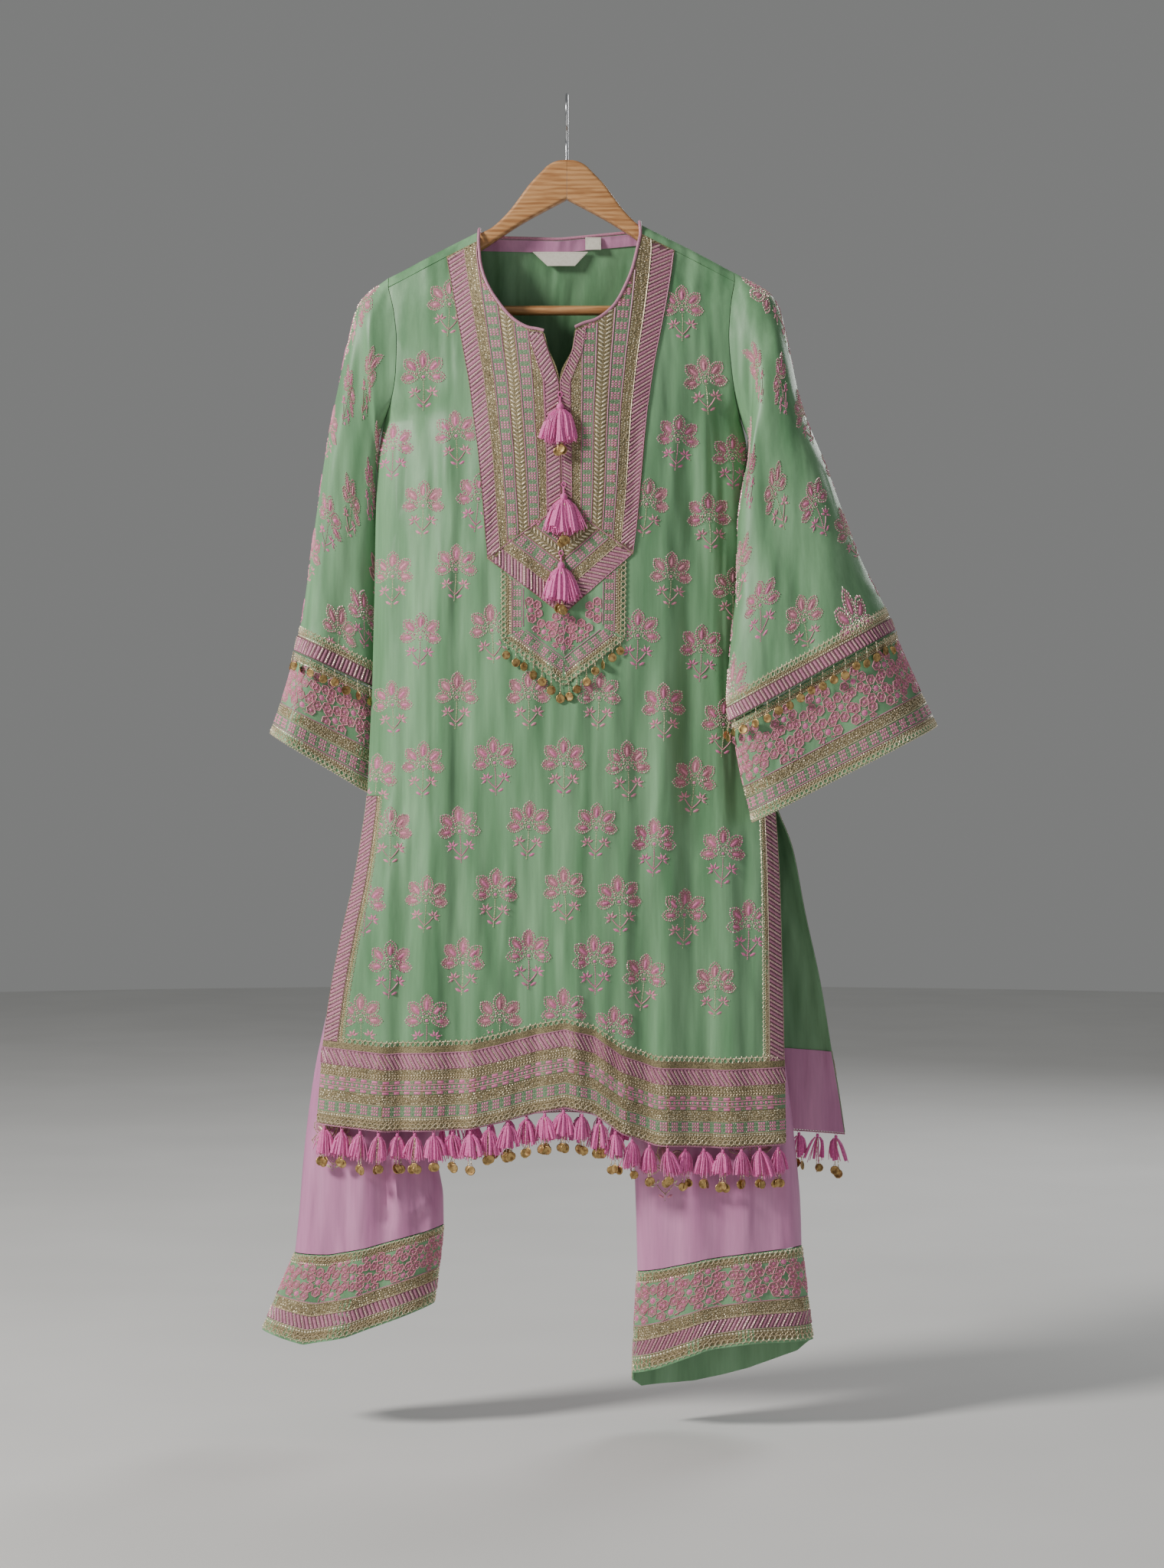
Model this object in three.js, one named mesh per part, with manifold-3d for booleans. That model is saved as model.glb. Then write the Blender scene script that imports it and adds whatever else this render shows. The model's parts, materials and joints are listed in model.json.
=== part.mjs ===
// A kurta set on a wooden hanger: an embroidered knee-length tunic over straight trousers.
// Millimetres, +Z up. The front faces -Y. Left and right are as seen from the front, so right is +X.
// The origin is the inside of the hook's top, where it rests on a clothes rod.
import * as THREE from "three";
import { mergeVertices } from "three/addons/utils/BufferGeometryUtils.js";
import Module from "manifold-3d";

const wasm = await Module();
wasm.setup();

// Driving dimensions
const CLOTH = 1.2; // wall of every garment piece
const TRIM = 1.0; // wall of what is sewn on a panel
const SEAM = 0.3; // gap between sewn pieces
const SHOULDER_DROP = 12; // the shoulder seam lies this far in front of and below the ridge
const SLIT_BORDER = 27; // width of the border along each side slit
const PIPING_R = 1.6;
const WOOD_THICK = 14;
const WOOD_BEVEL = 2.5;
const WOOD_UNDER_CLOTH = 2.2; // how far the wood's top lies below the outside of the cloth
const BAR = { r: 5.5, z: -241, halfLength: 208, fit: 0.3 };
const HOOK = { wire: 1.8, bend: 20, hole: 2.1, stemEnd: -84 };
const WAIST_TOP = -400;
const WAIST_BOTTOM = -440;
const LEG_MID_Y = -3;
const TASSEL_PITCH = 21.5;

const colours = {
  green: 0x7fae84, pink: 0xd98fc4, border: 0xb9a38c, tassel: 0xe05fb0, trousers: 0xd7a3cf,
  wood: 0xcf9a62, steel: 0xc9ccd0, label: 0xe6e0d2, piping: 0xc97fb5, gota: 0xd48cc0,
};
const finish = (name) =>
  new THREE.MeshStandardMaterial({
    color: colours[name],
    roughness: name === "steel" ? 0.25 : 0.7,
    metalness: name === "steel" ? 1 : 0,
    side: THREE.FrontSide,
  });

// Small helpers
const lerp = (a, b, t) => a + (b - a) * t;
const clamp01 = (t) => Math.min(1, Math.max(0, t));
const smooth = (t) => clamp01(t) ** 2 * (3 - 2 * clamp01(t));
const point = (x, y, z) => new THREE.Vector3(x, y, z);

// Value of a table of [position, value] pairs at a position, straight between its rows.
function along(table, at) {
  const last = table.length - 1;
  if (at <= table[0][0]) return table[0][1];
  for (let i = 1; i <= last; i += 1) {
    const [a, va] = table[i - 1];
    const [b, vb] = table[i];
    if (at <= b) return lerp(va, vb, (at - a) / (b - a));
  }
  return table[last][1];
}

// Height of the cloth's ridge over the hanger, by distance from the middle
const RIDGE = [
  [84, -145.5], [101, -154], [120, -163.5], [140, -173.5],
  [160, -184], [182, -196], [201, -205.5], [218, -214.5],
];
const ridge = (x) => along(RIDGE, Math.abs(x));

// A soft fold: a trough (depth above 0) or a ridge that fades in from its upper end to its lower end
const fold = (topX, topZ, lowX, lowZ, width, depth) => ({ topX, topZ, lowX, lowZ, width, depth });
const FRONT_FOLDS = [
  fold(-172, -600, -184, -1150, 34, 6),
  fold(-112, -470, -122, -1150, 40, 8),
  fold(-30, -690, -38, -1150, 62, 9),
  fold(28, -690, 30, -1150, 26, 4),
  fold(84, -540, 88, -1150, 40, 8),
  fold(135, -420, 154, -1150, 44, 8),
  fold(188, -660, 206, -1150, 30, 5),
];
const BACK_FOLDS = [
  fold(-150, -420, -160, -1150, 50, 7),
  fold(-70, -520, -76, -1150, 46, 8),
  fold(10, -380, 16, -1150, 56, 8),
  fold(80, -560, 108, -1150, 44, 7),
  fold(150, -440, 210, -1150, 50, 8),
];
function foldDepth(folds, x, z) {
  let sum = 0;
  for (const f of folds) {
    const t = (f.topZ - z) / (f.topZ - f.lowZ);
    if (t <= 0) continue;
    const across = (x - lerp(f.topX, f.lowX, Math.min(t, 1))) / (f.width / 2);
    sum += f.depth * Math.exp(-across * across) * smooth(t * 1.8);
  }
  return sum;
}

// A patch of quads. Each vertex keeps a point and the axes that its wall direction may not lean along.
class Patch {
  constructor() {
    this.points = [];
    this.flat = [];
    this.quads = [];
    this.keys = new Map();
  }
  vertex(key, makePoint, flat = "") {
    if (!this.keys.has(key)) {
      this.keys.set(key, this.points.length);
      this.points.push(makePoint());
      this.flat.push(flat);
    }
    return this.keys.get(key);
  }
  // Unit directions out of the cloth, smoothed over the quads that meet at each vertex
  normals() {
    if (this.made) return this.made;
    const sums = this.points.map(() => point(0, 0, 0));
    for (const [a, b, c, d] of this.quads) {
      const one = this.points[c].clone().sub(this.points[a]);
      const two = this.points[d].clone().sub(this.points[b]);
      const normal = one.cross(two);
      for (const v of [a, b, c, d]) sums[v].add(normal);
    }
    this.made = sums.map((s, i) => {
      for (const axis of this.flat[i]) s[axis] = 0;
      return s.normalize();
    });
    return this.made;
  }
  // Part of the patch, with the same points and wall directions
  part(keep) {
    const made = new Patch();
    made.points = this.points.map((p) => p.clone());
    made.flat = this.flat;
    made.keys = this.keys;
    made.made = this.normals();
    made.quads = this.quads.filter((q, i) => keep(this.cells[i]));
    return made;
  }
}

// A closed solid from a patch: its outside lies `out` from the points and its inside `out - wall`.
// keepSide holds every vertex on one side of a seam plane.
function thicken(patch, wall, out = 0, keepSide = (p) => p) {
  const normals = patch.normals();
  const used = new Map();
  const positions = [];
  const index = [];
  const vertexOf = (v) => {
    if (!used.has(v)) {
      used.set(v, used.size);
      for (const distance of [out, out - wall]) {
        const p = keepSide(patch.points[v].clone().addScaledVector(normals[v], distance));
        positions.push(p.x, p.y, p.z);
      }
    }
    return used.get(v) * 2;
  };
  const edges = new Map();
  for (const quad of patch.quads) {
    const [a, b, c, d] = quad.map(vertexOf);
    index.push(a, b, c, a, c, d, a + 1, c + 1, b + 1, a + 1, d + 1, c + 1);
    [[a, b], [b, c], [c, d], [d, a]].forEach(([p, q]) => {
      const back = `${q}>${p}`;
      if (edges.has(back)) edges.delete(back);
      else edges.set(`${p}>${q}`, [p, q]);
    });
  }
  for (const [p, q] of edges.values()) index.push(q, p, p + 1, q, p + 1, q + 1);
  const geometry = new THREE.BufferGeometry();
  geometry.setAttribute("position", new THREE.Float32BufferAttribute(positions, 3));
  geometry.setIndex(index);
  return geometry;
}

const set = new THREE.Group();
function add(name, geometry, material) {
  const mesh = new THREE.Mesh(geometry, finish(material));
  mesh.name = name;
  set.add(mesh);
}

// Solids for cutting and joining
function solid(geometry) {
  const bare = geometry.clone();
  bare.deleteAttribute("normal");
  bare.deleteAttribute("uv");
  const merged = mergeVertices(bare, 1e-4);
  return new wasm.Manifold(
    new wasm.Mesh({
      numProp: 3,
      vertProperties: merged.attributes.position.array,
      triVerts: new Uint32Array(merged.index.array),
    }),
  );
}
function geometryOf(made) {
  const mesh = made.getMesh();
  const geometry = new THREE.BufferGeometry();
  geometry.setAttribute("position", new THREE.BufferAttribute(mesh.vertProperties, 3));
  geometry.setIndex(new THREE.BufferAttribute(mesh.triVerts, 1));
  return geometry;
}

// Front panel. Each row gives three guide lines on each half: the side edge (armhole, side seam, slit),
// the yoke's outer edge and the neckline, which becomes the centre line below the notch.
// depth is how far the middle stands in front of y = 0, edge how far the side does, hem how much of the
// hem's own wave the row takes.
const frontRow = (left, right, depth, edge = 0, hem = 0) => ({ left, right, depth, edge, hem });
const FRONT_ROWS = [
  frontRow([-200, -217.5, -135, -183, -101, -166], [188, -211, 121, -176, 84.5, -158], 13.5, 13.5),
  frontRow([-193, -248, -128, -222, -98.5, -192], [183, -241, 117, -205, 80, -180], 24, 22),
  frontRow([-190, -280, -121, -260, -91, -216], [181, -275, 112, -235, 75, -200], 32, 27),
  frontRow([-191, -313, -114.5, -296, -78, -238], [184, -312, 105.5, -268, 66, -222], 38, 27),
  frontRow([-196, -343, -109, -326, -60, -259], [189, -343, 99, -300, 54, -243], 43, 20),
  frontRow([-207, -372, -105.5, -352, -43, -269], [198, -372, 94, -330, 33, -260], 46),
  frontRow([-211, -396, -102, -378, -26, -273], [203, -396, 90, -358, 10, -269], 48),
  frontRow([-213, -418, -98.5, -404, -20, -292], [206, -418, 87, -390, 6, -292], 50),
  frontRow([-214, -444, -96, -432, -8, -328], [209, -444, 84.5, -422, -8, -328], 52),
  frontRow([-215.5, -482, -93, -464, -6, -412], [211, -482, 81.5, -456, -6, -412], 53),
  frontRow([-216, -525, -90.5, -495, -5, -500], [213, -525, 78, -488, -5, -500], 54),
  frontRow([-217, -572, -88, -524.5, -4.3, -588], [214, -572, 74, -519, -4.3, -588], 55),
  frontRow([-218, -614, -87.5, -567, -3.5, -627], [216, -614, 75, -562, -3.5, -627], 55),
  frontRow([-219, -657, -87, -610.5, -2.6, -666], [219, -657, 76, -606, -2.6, -666], 56),
  frontRow([-221, -700, -88, -682, -2, -712], [223, -700, 77, -680, -2, -712], 56),
  frontRow([-223, -745, -90, -736, -2, -755], [228, -745, 78, -735, -2, -755], 57),
  frontRow([-225, -788, -92, -787, -2, -797], [233, -788, 79, -787, -2, -797], 57),
  frontRow([-231, -836, -95, -836, -2, -842], [236.5, -836, 80, -836, -2, -842], 58, 7, 0.12),
  frontRow([-240, -888, -98, -888, -2, -891], [239, -888, 81, -888, -2, -891], 59, 13, 0.3),
  frontRow([-253, -946, -101, -946, -2, -946], [240.5, -946, 82, -946, -2, -946], 60, 18, 0.55),
  frontRow([-264, -1006, -105, -1006, -2, -1006], [242, -1006, 83, -1006, -2, -1006], 61, 22, 0.8),
  frontRow([-271.5, -1063, -108, -1063, -2, -1063], [243, -1063, 84, -1063, -2, -1063], 61, 25, 1),
  frontRow([-275, -1109, -110, -1109, -2, -1109], [243.5, -1109, 84, -1109, -2, -1109], 62, 27, 1),
  frontRow([-278.5, -1155, -112, -1155, -2, -1155], [244, -1155, 84, -1155, -2, -1155], 62, 28, 1),
];
const ARMPIT_ROW = 5;
const NOTCH_ROW = 8;
const YOKE_ROW = 11;
const BIB_ROW = 13;
const SLIT_ROW = 16;
const BORDER_ROW = 21;
const HEM_ROW = 23;
const SIDE_COLUMNS = 5;
const YOKE_COLUMNS = 6;
const HALF = SIDE_COLUMNS + YOKE_COLUMNS;
// How far the front hem lies above or below its nominal height, by place across
const FRONT_HEM_WAVE = [
  [-278, 3], [-200, -4], [-111, -1], [-78, 6], [-34, 17.5], [-1, 24],
  [31, 16], [61, -5], [99, -18.5], [174, -22], [244, -20],
];
const BACK_HEM_WAVE = [[-240, 5], [-100, 0], [0, 8], [90, 4], [200, -10], [311, -16]];

const FOLD_FADE = 1.4; // folds fade out towards the side seams
// How full the body is across, 1 in the middle and 0 at the side seams
const fullness = (u) => (1 - Math.min(1, Math.abs(u)) ** 2.4) ** 0.62;

// Fractions across a half panel from its side edge: a slit border first, then even columns
function sideFraction(column, width) {
  if (column === 0) return 0;
  const first = Math.min(0.2, SLIT_BORDER / width);
  return first + ((1 - first) * (column - 1)) / (SIDE_COLUMNS - 1);
}

function frontPoint(row, side, column) {
  const r = FRONT_ROWS[row];
  const [sx, sz, yx, yz, cx, cz] = r[side];
  let x;
  let z;
  if (column <= SIDE_COLUMNS) {
    const t = sideFraction(column, Math.abs(sx - yx));
    x = lerp(sx, yx, t);
    z = lerp(sz, yz, t);
  } else {
    const t = (column - SIDE_COLUMNS) / YOKE_COLUMNS;
    x = lerp(yx, cx, t);
    z = lerp(yz, cz, t);
  }
  z += r.hem * along(FRONT_HEM_WAVE, x);
  const middle = (r.left[0] + r.right[0]) / 2;
  const u = (x - middle) / ((r.right[0] - r.left[0]) / 2);
  const full = fullness(u);
  const y = foldDepth(FRONT_FOLDS, x, z) * Math.min(1, full * FOLD_FADE) - lerp(r.edge, r.depth, full);
  return point(x, Math.min(y, -SEAM / 2), z);
}

// Wall directions at the seams: level across the armhole and side seams, level at the shoulder seam
function frontFlat(row, column) {
  if (row === 0) return column === 0 ? "xz" : "z";
  if (column === 0 && row < ARMPIT_ROW) return "x";
  if (column === 0 && row <= SLIT_ROW) return "y";
  return row === HEM_ROW ? "z" : "";
}

function frontPatch() {
  const patch = new Patch();
  patch.cells = [];
  for (const side of ["left", "right"]) {
    const id = (row, column) => {
      const centre = column === HALF && row >= NOTCH_ROW;
      return patch.vertex(
        centre ? `c${row}` : `${side}${row},${column}`,
        () => frontPoint(row, side, column),
        frontFlat(row, column),
      );
    };
    for (let row = 0; row < HEM_ROW; row += 1)
      for (let column = 0; column < HALF; column += 1) {
        const quad = [id(row, column), id(row + 1, column), id(row + 1, column + 1), id(row, column + 1)];
        patch.quads.push(side === "left" ? quad : quad.reverse());
        patch.cells.push({ side, row, column });
      }
  }
  return patch;
}

// Back panel. Its first rows come forward over the ridge of the hanger to the shoulder seam.
// Each further row gives the height and x of five guide lines: the side edge, the end of the back neckline
// or the line below it, the middle, and the same again on the other half.
const WRAP = [
  { y: -13.5, drop: SHOULDER_DROP - 2 * SEAM },
  { y: -9.5, drop: 3.5 },
  { y: -4.5, drop: 0 },
  { y: 4.5, drop: 0 },
];
const GUIDES = 5;
const backRow = (z, x, depth, edge = 0, hem = 0) => ({
  z: Array.isArray(z) ? z : Array(GUIDES).fill(z), x, depth, edge, hem,
});
const BACK_ROWS = [
  backRow([-209, -157.5, -160, -151, -201], [-200, -101, -8, 84.5, 188], 13, 9.5),
  backRow([-222, -170.5, -172.5, -164, -215], [-199, -101, -8, 84.5, 187.5], 17, 13.5),
  backRow([-248, -207, -210, -204, -241], [-193, -101, -8, 84.5, 183], 25, 21),
  backRow([-280, -252, -255, -250, -275], [-190, -101, -8, 85, 181], 31, 25),
  backRow([-313, -294, -298, -294, -312], [-191, -101, -8, 85, 184], 35, 25),
  backRow([-343, -332, -335, -332, -343], [-196, -101, -8, 86, 189], 38, 18),
  backRow([-372, -370, -371, -370, -372], [-207, -101, -6, 86, 198], 40),
  backRow(-418, [-213, -102, -5, 88, 206], 42),
  backRow(-482, [-215.5, -104, -4, 90, 211], 44),
  backRow(-546, [-216.5, -105, -3, 92, 213.5], 46),
  backRow(-610, [-218, -106, -2, 94, 216], 47),
  backRow(-670, [-219.5, -107, -1, 97, 220], 48),
  backRow(-730, [-222, -108, 0, 100, 226], 48),
  backRow(-788, [-225, -109, 2, 104, 233], 48),
  backRow(-845, [-227, -110, 7, 112, 255], 49, 9, 0.15),
  backRow(-915, [-230, -111, 13, 120, 270], 50, 17, 0.4),
  backRow(-990, [-234, -112, 20, 130, 288], 51, 23, 0.75),
  backRow(-1063, [-238, -113, 26, 138, 301], 52, 27, 1),
  backRow(-1109, [-240, -114, 30, 142, 309], 52, 29, 1),
  backRow(-1155, [-242, -115, 34, 146, 316], 52, 30, 1),
];
const BACK_ARMPIT = 6;
const BACK_SLIT = 13;
const BACK_BORDER = 17;
const BACK_HEM = BACK_ROWS.length - 1;
const BACK_SIDE_COLUMNS = 5;
const BACK_NECK_COLUMNS = 4;
const BACK_COLUMNS = 2 * (BACK_SIDE_COLUMNS + BACK_NECK_COLUMNS);

// Where a back column lies: between which two guides, and how far
function backPlace(row, column) {
  const r = BACK_ROWS[row];
  const mirrored = column > BACK_COLUMNS / 2;
  const c = mirrored ? BACK_COLUMNS - column : column;
  const inNeck = c > BACK_SIDE_COLUMNS;
  const guide = inNeck ? 1 : 0;
  const last = GUIDES - 1;
  const [a, b] = mirrored ? [last - guide, last - guide - 1] : [guide, guide + 1];
  const t = inNeck ? (c - BACK_SIDE_COLUMNS) / BACK_NECK_COLUMNS : sideFraction(c, Math.abs(r.x[a] - r.x[b]));
  return { x: lerp(r.x[a], r.x[b], t), z: lerp(r.z[a], r.z[b], t) };
}
function backPoint(row, column) {
  const r = BACK_ROWS[row];
  const at = backPlace(row, column);
  const { x } = at;
  const z = at.z + r.hem * along(BACK_HEM_WAVE, x);
  const [left, right] = [r.x[0], r.x[GUIDES - 1]];
  const full = fullness((2 * x - left - right) / (right - left));
  const y = lerp(r.edge, r.depth, full) - foldDepth(BACK_FOLDS, x, z) * Math.min(1, full * FOLD_FADE);
  return point(x, Math.max(y, SEAM / 2), z);
}
function backPatch() {
  const patch = new Patch();
  patch.cells = [];
  const wraps = WRAP.length;
  const id = (row, column) => {
    if (row < wraps) {
      const { x } = backPlace(0, column);
      const edge = column === 0 || column === BACK_COLUMNS;
      const flat = (row === 0 ? "z" : "") + (edge ? "x" : "");
      return patch.vertex(`w${row},${column}`, () => point(x, WRAP[row].y, ridge(x) - WRAP[row].drop), flat);
    }
    const r = row - wraps;
    const atSide = column === 0 || column === BACK_COLUMNS;
    let flat = r === BACK_HEM ? "z" : "";
    if (atSide && r <= BACK_SLIT) flat = r < BACK_ARMPIT ? "x" : "y";
    return patch.vertex(`${r},${column}`, () => backPoint(r, column), flat);
  };
  for (let row = 0; row < wraps + BACK_HEM; row += 1)
    for (let column = 0; column < BACK_COLUMNS; column += 1) {
      const fromSide = Math.min(column, BACK_COLUMNS - 1 - column);
      if (row < wraps && fromSide >= BACK_SIDE_COLUMNS) continue;
      patch.quads.push([id(row, column), id(row, column + 1), id(row + 1, column + 1), id(row + 1, column)]);
      patch.cells.push({ row: row - wraps, column, fromSide });
    }
  return patch;
}

const front = frontPatch();
const back = backPatch();
const ABOVE_ARMPIT = FRONT_ROWS[ARMPIT_ROW].left[1] + 1;
const inFront = (p) => (p.z < ABOVE_ARMPIT ? p.setY(Math.min(p.y, -SEAM / 2)) : p);
const behind = (p) => (p.z < ABOVE_ARMPIT ? p.setY(Math.max(p.y, SEAM / 2)) : p);
add("front_panel", thicken(front, CLOTH, 0, inFront), "green");
add("back_panel", thicken(back, CLOTH, 0, behind), "green");

// What is sewn on a panel is made from the panel's own points, moved out by the seam gap.
// trims move some edges back along the cloth, so that neighbours stay apart.
function overlay(patch, keep, { wall = TRIM, inside = false, trims = [] } = {}) {
  const part = patch.part(keep);
  for (const [from, towards, distance] of trims) {
    const a = patch.keys.get(from);
    const b = patch.keys.get(towards);
    const step = patch.points[b].clone().sub(patch.points[a]);
    part.points[a].addScaledVector(step, distance / step.length());
  }
  return inside ? thicken(part, wall, -CLOTH - SEAM) : thicken(part, wall, wall + SEAM);
}
const rowTrims = (row, towards, columns, distance, name) =>
  columns.map((column) => [name(row, column), name(towards, column), distance]);
const columnsTo = (n, first = 0) => Array.from({ length: n - first + 1 }, (_, i) => i + first);
const frontKey = (side) => (row, column) =>
  column === HALF && row >= NOTCH_ROW ? `c${row}` : `${side}${row},${column}`;

const EDGE_CLEAR = 0.6;
const inYoke = ({ row, column }) => row < YOKE_ROW && column >= SIDE_COLUMNS;
const inBib = ({ row, column }) => row >= YOKE_ROW && row < BIB_ROW && column > SIDE_COLUMNS;
const bibTrims = ["left", "right"].flatMap((side) => {
  const last = side === "right" ? HALF - 1 : HALF;
  return rowTrims(YOKE_ROW, YOKE_ROW + 1, columnsTo(last, SIDE_COLUMNS + 1), EDGE_CLEAR, frontKey(side));
});
const neckTrims = ["left", "right"].flatMap((side) =>
  columnsTo(NOTCH_ROW - 1).map((row) => [`${side}${row},${HALF}`, `${side}${row},${HALF - 1}`, 0.8]));
add("yoke", overlay(front, inYoke, { trims: neckTrims }), "border");
add("yoke_bib", overlay(front, inBib, { trims: bibTrims }), "border");
add("front_hem_border", overlay(front, ({ row }) => row >= BORDER_ROW), "border");
for (const side of ["left", "right"])
  add(`front_slit_border_${side}`, overlay(front,
    (c) => c.side === side && c.column === 0 && c.row >= SLIT_ROW && c.row < BORDER_ROW,
    { trims: rowTrims(BORDER_ROW, BORDER_ROW - 1, [0, 1], EDGE_CLEAR, frontKey(side)) }), "gota");

const backKey = (row, column) => `${row},${column}`;
add("back_hem_border", overlay(back, ({ row }) => row >= BACK_BORDER), "border");
for (const [side, column] of [["left", 0], ["right", BACK_COLUMNS - 1]])
  add(`back_slit_border_${side}`, overlay(back,
    (c) => c.column === column && c.row >= BACK_SLIT && c.row < BACK_BORDER,
    { trims: rowTrims(BACK_BORDER, BACK_BORDER - 1, [column, column + 1], EDGE_CLEAR, backKey) }), "gota");
add("back_hem_facing", overlay(back, ({ row }) => row >= BACK_BORDER, { inside: true }), "trousers");
const inNeckFacing = ({ row, fromSide }) => row === 0 && fromSide >= BACK_SIDE_COLUMNS;
add("back_neck_facing", overlay(back, inNeckFacing, { inside: true }), "trousers");

// Neck piping: a round cord along the whole neckline, just outside the cloth's edge
const PIPING_OUT = 2.3; // from the cloth's edge to the cord's middle
function frontEdge(side, row) {
  const p = front.points[front.keys.get(`${side}${row},${HALF}`)];
  const towards = side === "left" ? 1 : -1;
  const steep = clamp01((ARMPIT_ROW + 0.5 - row) / 4);
  const sideways = PIPING_OUT * towards * lerp(0.35, 1, steep);
  return point(p.x + sideways, p.y - 0.6, p.z + PIPING_OUT * lerp(1, 0.35, steep));
}
// From the neckline's front end over the ridge to its back end
const OVER_RIDGE = [ // inward from the neckline, y, and the height over the ridge
  { inward: 2.3, y: -9.5, up: 0 },
  { inward: 2.6, y: -0.5, up: 4.8 },
  { inward: 2.6, y: 8, up: 2.4 },
];
const neckRows = columnsTo(ARMPIT_ROW + 1);
const neckX = { left: FRONT_ROWS[0].left[4], right: FRONT_ROWS[0].right[4] };
const ridgeTurn = (side) => OVER_RIDGE.map(({ inward, y, up }) =>
  point(neckX[side] + (side === "left" ? inward : -inward), y, ridge(neckX[side]) + up));
const backEdge = columnsTo(BACK_COLUMNS - BACK_SIDE_COLUMNS - 1, BACK_SIDE_COLUMNS + 1).map((column) => {
  const p = back.points[back.keys.get(backKey(0, column))];
  return point(p.x, p.y, p.z + PIPING_OUT);
});
const pipingPath = [
  ...neckRows.toReversed().map((row) => frontEdge("left", row)),
  ...ridgeTurn("left"),
  ...backEdge,
  ...ridgeTurn("right").reverse(),
  ...neckRows.map((row) => frontEdge("right", row)),
];
function cord(path, radius, sides, steps) {
  const ring = new THREE.Shape();
  for (let i = 0; i < sides; i += 1) {
    const a = (i / sides) * 2 * Math.PI;
    const where = [radius * Math.cos(a), radius * Math.sin(a)];
    if (i === 0) ring.moveTo(...where);
    else ring.lineTo(...where);
  }
  ring.closePath();
  const curve = new THREE.CatmullRomCurve3(path, false, "centripetal");
  const options = { extrudePath: curve, steps, curveSegments: 1, bevelEnabled: false };
  return new THREE.ExtrudeGeometry(ring, options);
}
add("neck_piping", cord(pipingPath, PIPING_R, 5, 50), "piping");

// Blank woven labels inside the back neck
function plate(outline, thick, x, y, z) {
  const shape = new THREE.Shape(outline.map(([a, b]) => new THREE.Vector2(a, b)));
  const geometry = new THREE.ExtrudeGeometry(shape, { depth: thick, bevelEnabled: false });
  geometry.rotateX(Math.PI / 2);
  geometry.translate(x, y, z);
  return geometry;
}
add("neck_label", plate([[-31, 0], [-14, -16], [17, -16], [32, 0]], 0.7, -8, 13.6, -172.2), "label");
add("neck_tag", plate([[0, 0], [0, -14], [17.5, -14], [17.5, 0]], 0.7, 21, 10.1, -156.5), "label");

// Sleeves. Each row is a ring: its outer point over the arm, its inner point under the arm, half its depth.
const SLEEVES = {
  left: {
    outward: -1,
    rings: [
      { outer: [-221, 2, -219], inner: [-213, 9, -394], half: 34 },
      { outer: [-235, 6, -234], inner: [-213, 18, -424], half: 34 },
      { outer: [-247, 12, -272], inner: [-212, 24, -455], half: 35 },
      { outer: [-259, 18, -325], inner: [-212, 28, -488], half: 36 },
      { outer: [-272, 22, -389], inner: [-212, 31, -524], half: 37 },
      { outer: [-283, 25, -459], inner: [-212, 33, -562], half: 38 },
      { outer: [-293, 27, -530], inner: [-212, 34, -602], half: 40 },
      { outer: [-301, 28, -585], inner: [-212, 34, -640], half: 41 },
      { outer: [-309, 29, -624], inner: [-212, 35, -669], half: 43 },
    ],
    cuff: [
      { outer: [-308, 29, -625], inner: [-214, 35, -670], half: 41 },
      { outer: [-321, 29, -670], inner: [-216, 36, -722], half: 44 },
      { outer: [-337, 28, -716], inner: [-225, 36, -784], half: 48 },
    ],
  },
  right: {
    outward: 1,
    rings: [
      { outer: [212, 0, -211.5], inner: [205, -10, -393], half: 35 },
      { outer: [228, 0, -221.5], inner: [201, -29, -425], half: 35 },
      { outer: [240, -2, -241], inner: [194, -41, -456], half: 36 },
      { outer: [250, -8, -287], inner: [190, -46, -488], half: 37 },
      { outer: [263, -15, -348], inner: [189, -50, -521], half: 38 },
      { outer: [290, -22, -418], inner: [188, -53, -556], half: 40 },
      { outer: [327, -28, -520], inner: [183, -58, -603], half: 44 },
      { outer: [357, -30, -581], inner: [177, -61, -678], half: 49 },
      { outer: [366, -30, -604], inner: [181, -63, -706], half: 51 },
    ],
    cuff: [
      { outer: [365, -30, -605], inner: [183, -63, -707], half: 49 },
      { outer: [388, -30, -656], inner: [192, -64, -760], half: 52 },
      { outer: [413, -30, -709], inner: [205, -65, -816], half: 56 },
    ],
  },
};
const GOTA_FLARE = 2.5; // the upper sleeve's last ring stands off the cuff
const LONG_STEP = 31.5; // armhole steps longer than this are halved
const CUFF_WALL = CLOTH + 0.6;

// The armhole as a closed line, from the armpit up the front, over the ridge and down the back
function armhole(side) {
  const outward = SLEEVES[side].outward;
  const line = [];
  for (let row = ARMPIT_ROW; row >= 0; row -= 1) line.push(front.points[front.keys.get(`${side}${row},0`)]);
  const column = side === "left" ? 0 : BACK_COLUMNS;
  for (let row = 1; row < WRAP.length; row += 1) line.push(back.points[back.keys.get(`w${row},${column}`)]);
  for (let row = 0; row < BACK_ARMPIT; row += 1) line.push(back.points[back.keys.get(`${row},${column}`)]);
  const gap = 2.2 * SEAM;
  const moved = line.map((p) => point(p.x + gap * outward, p.y, p.z));
  return moved.flatMap((p, i) => {
    const next = moved[(i + 1) % moved.length];
    return p.distanceTo(next) > LONG_STEP ? [p, p.clone().lerp(next, 0.5)] : [p];
  });
}
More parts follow.
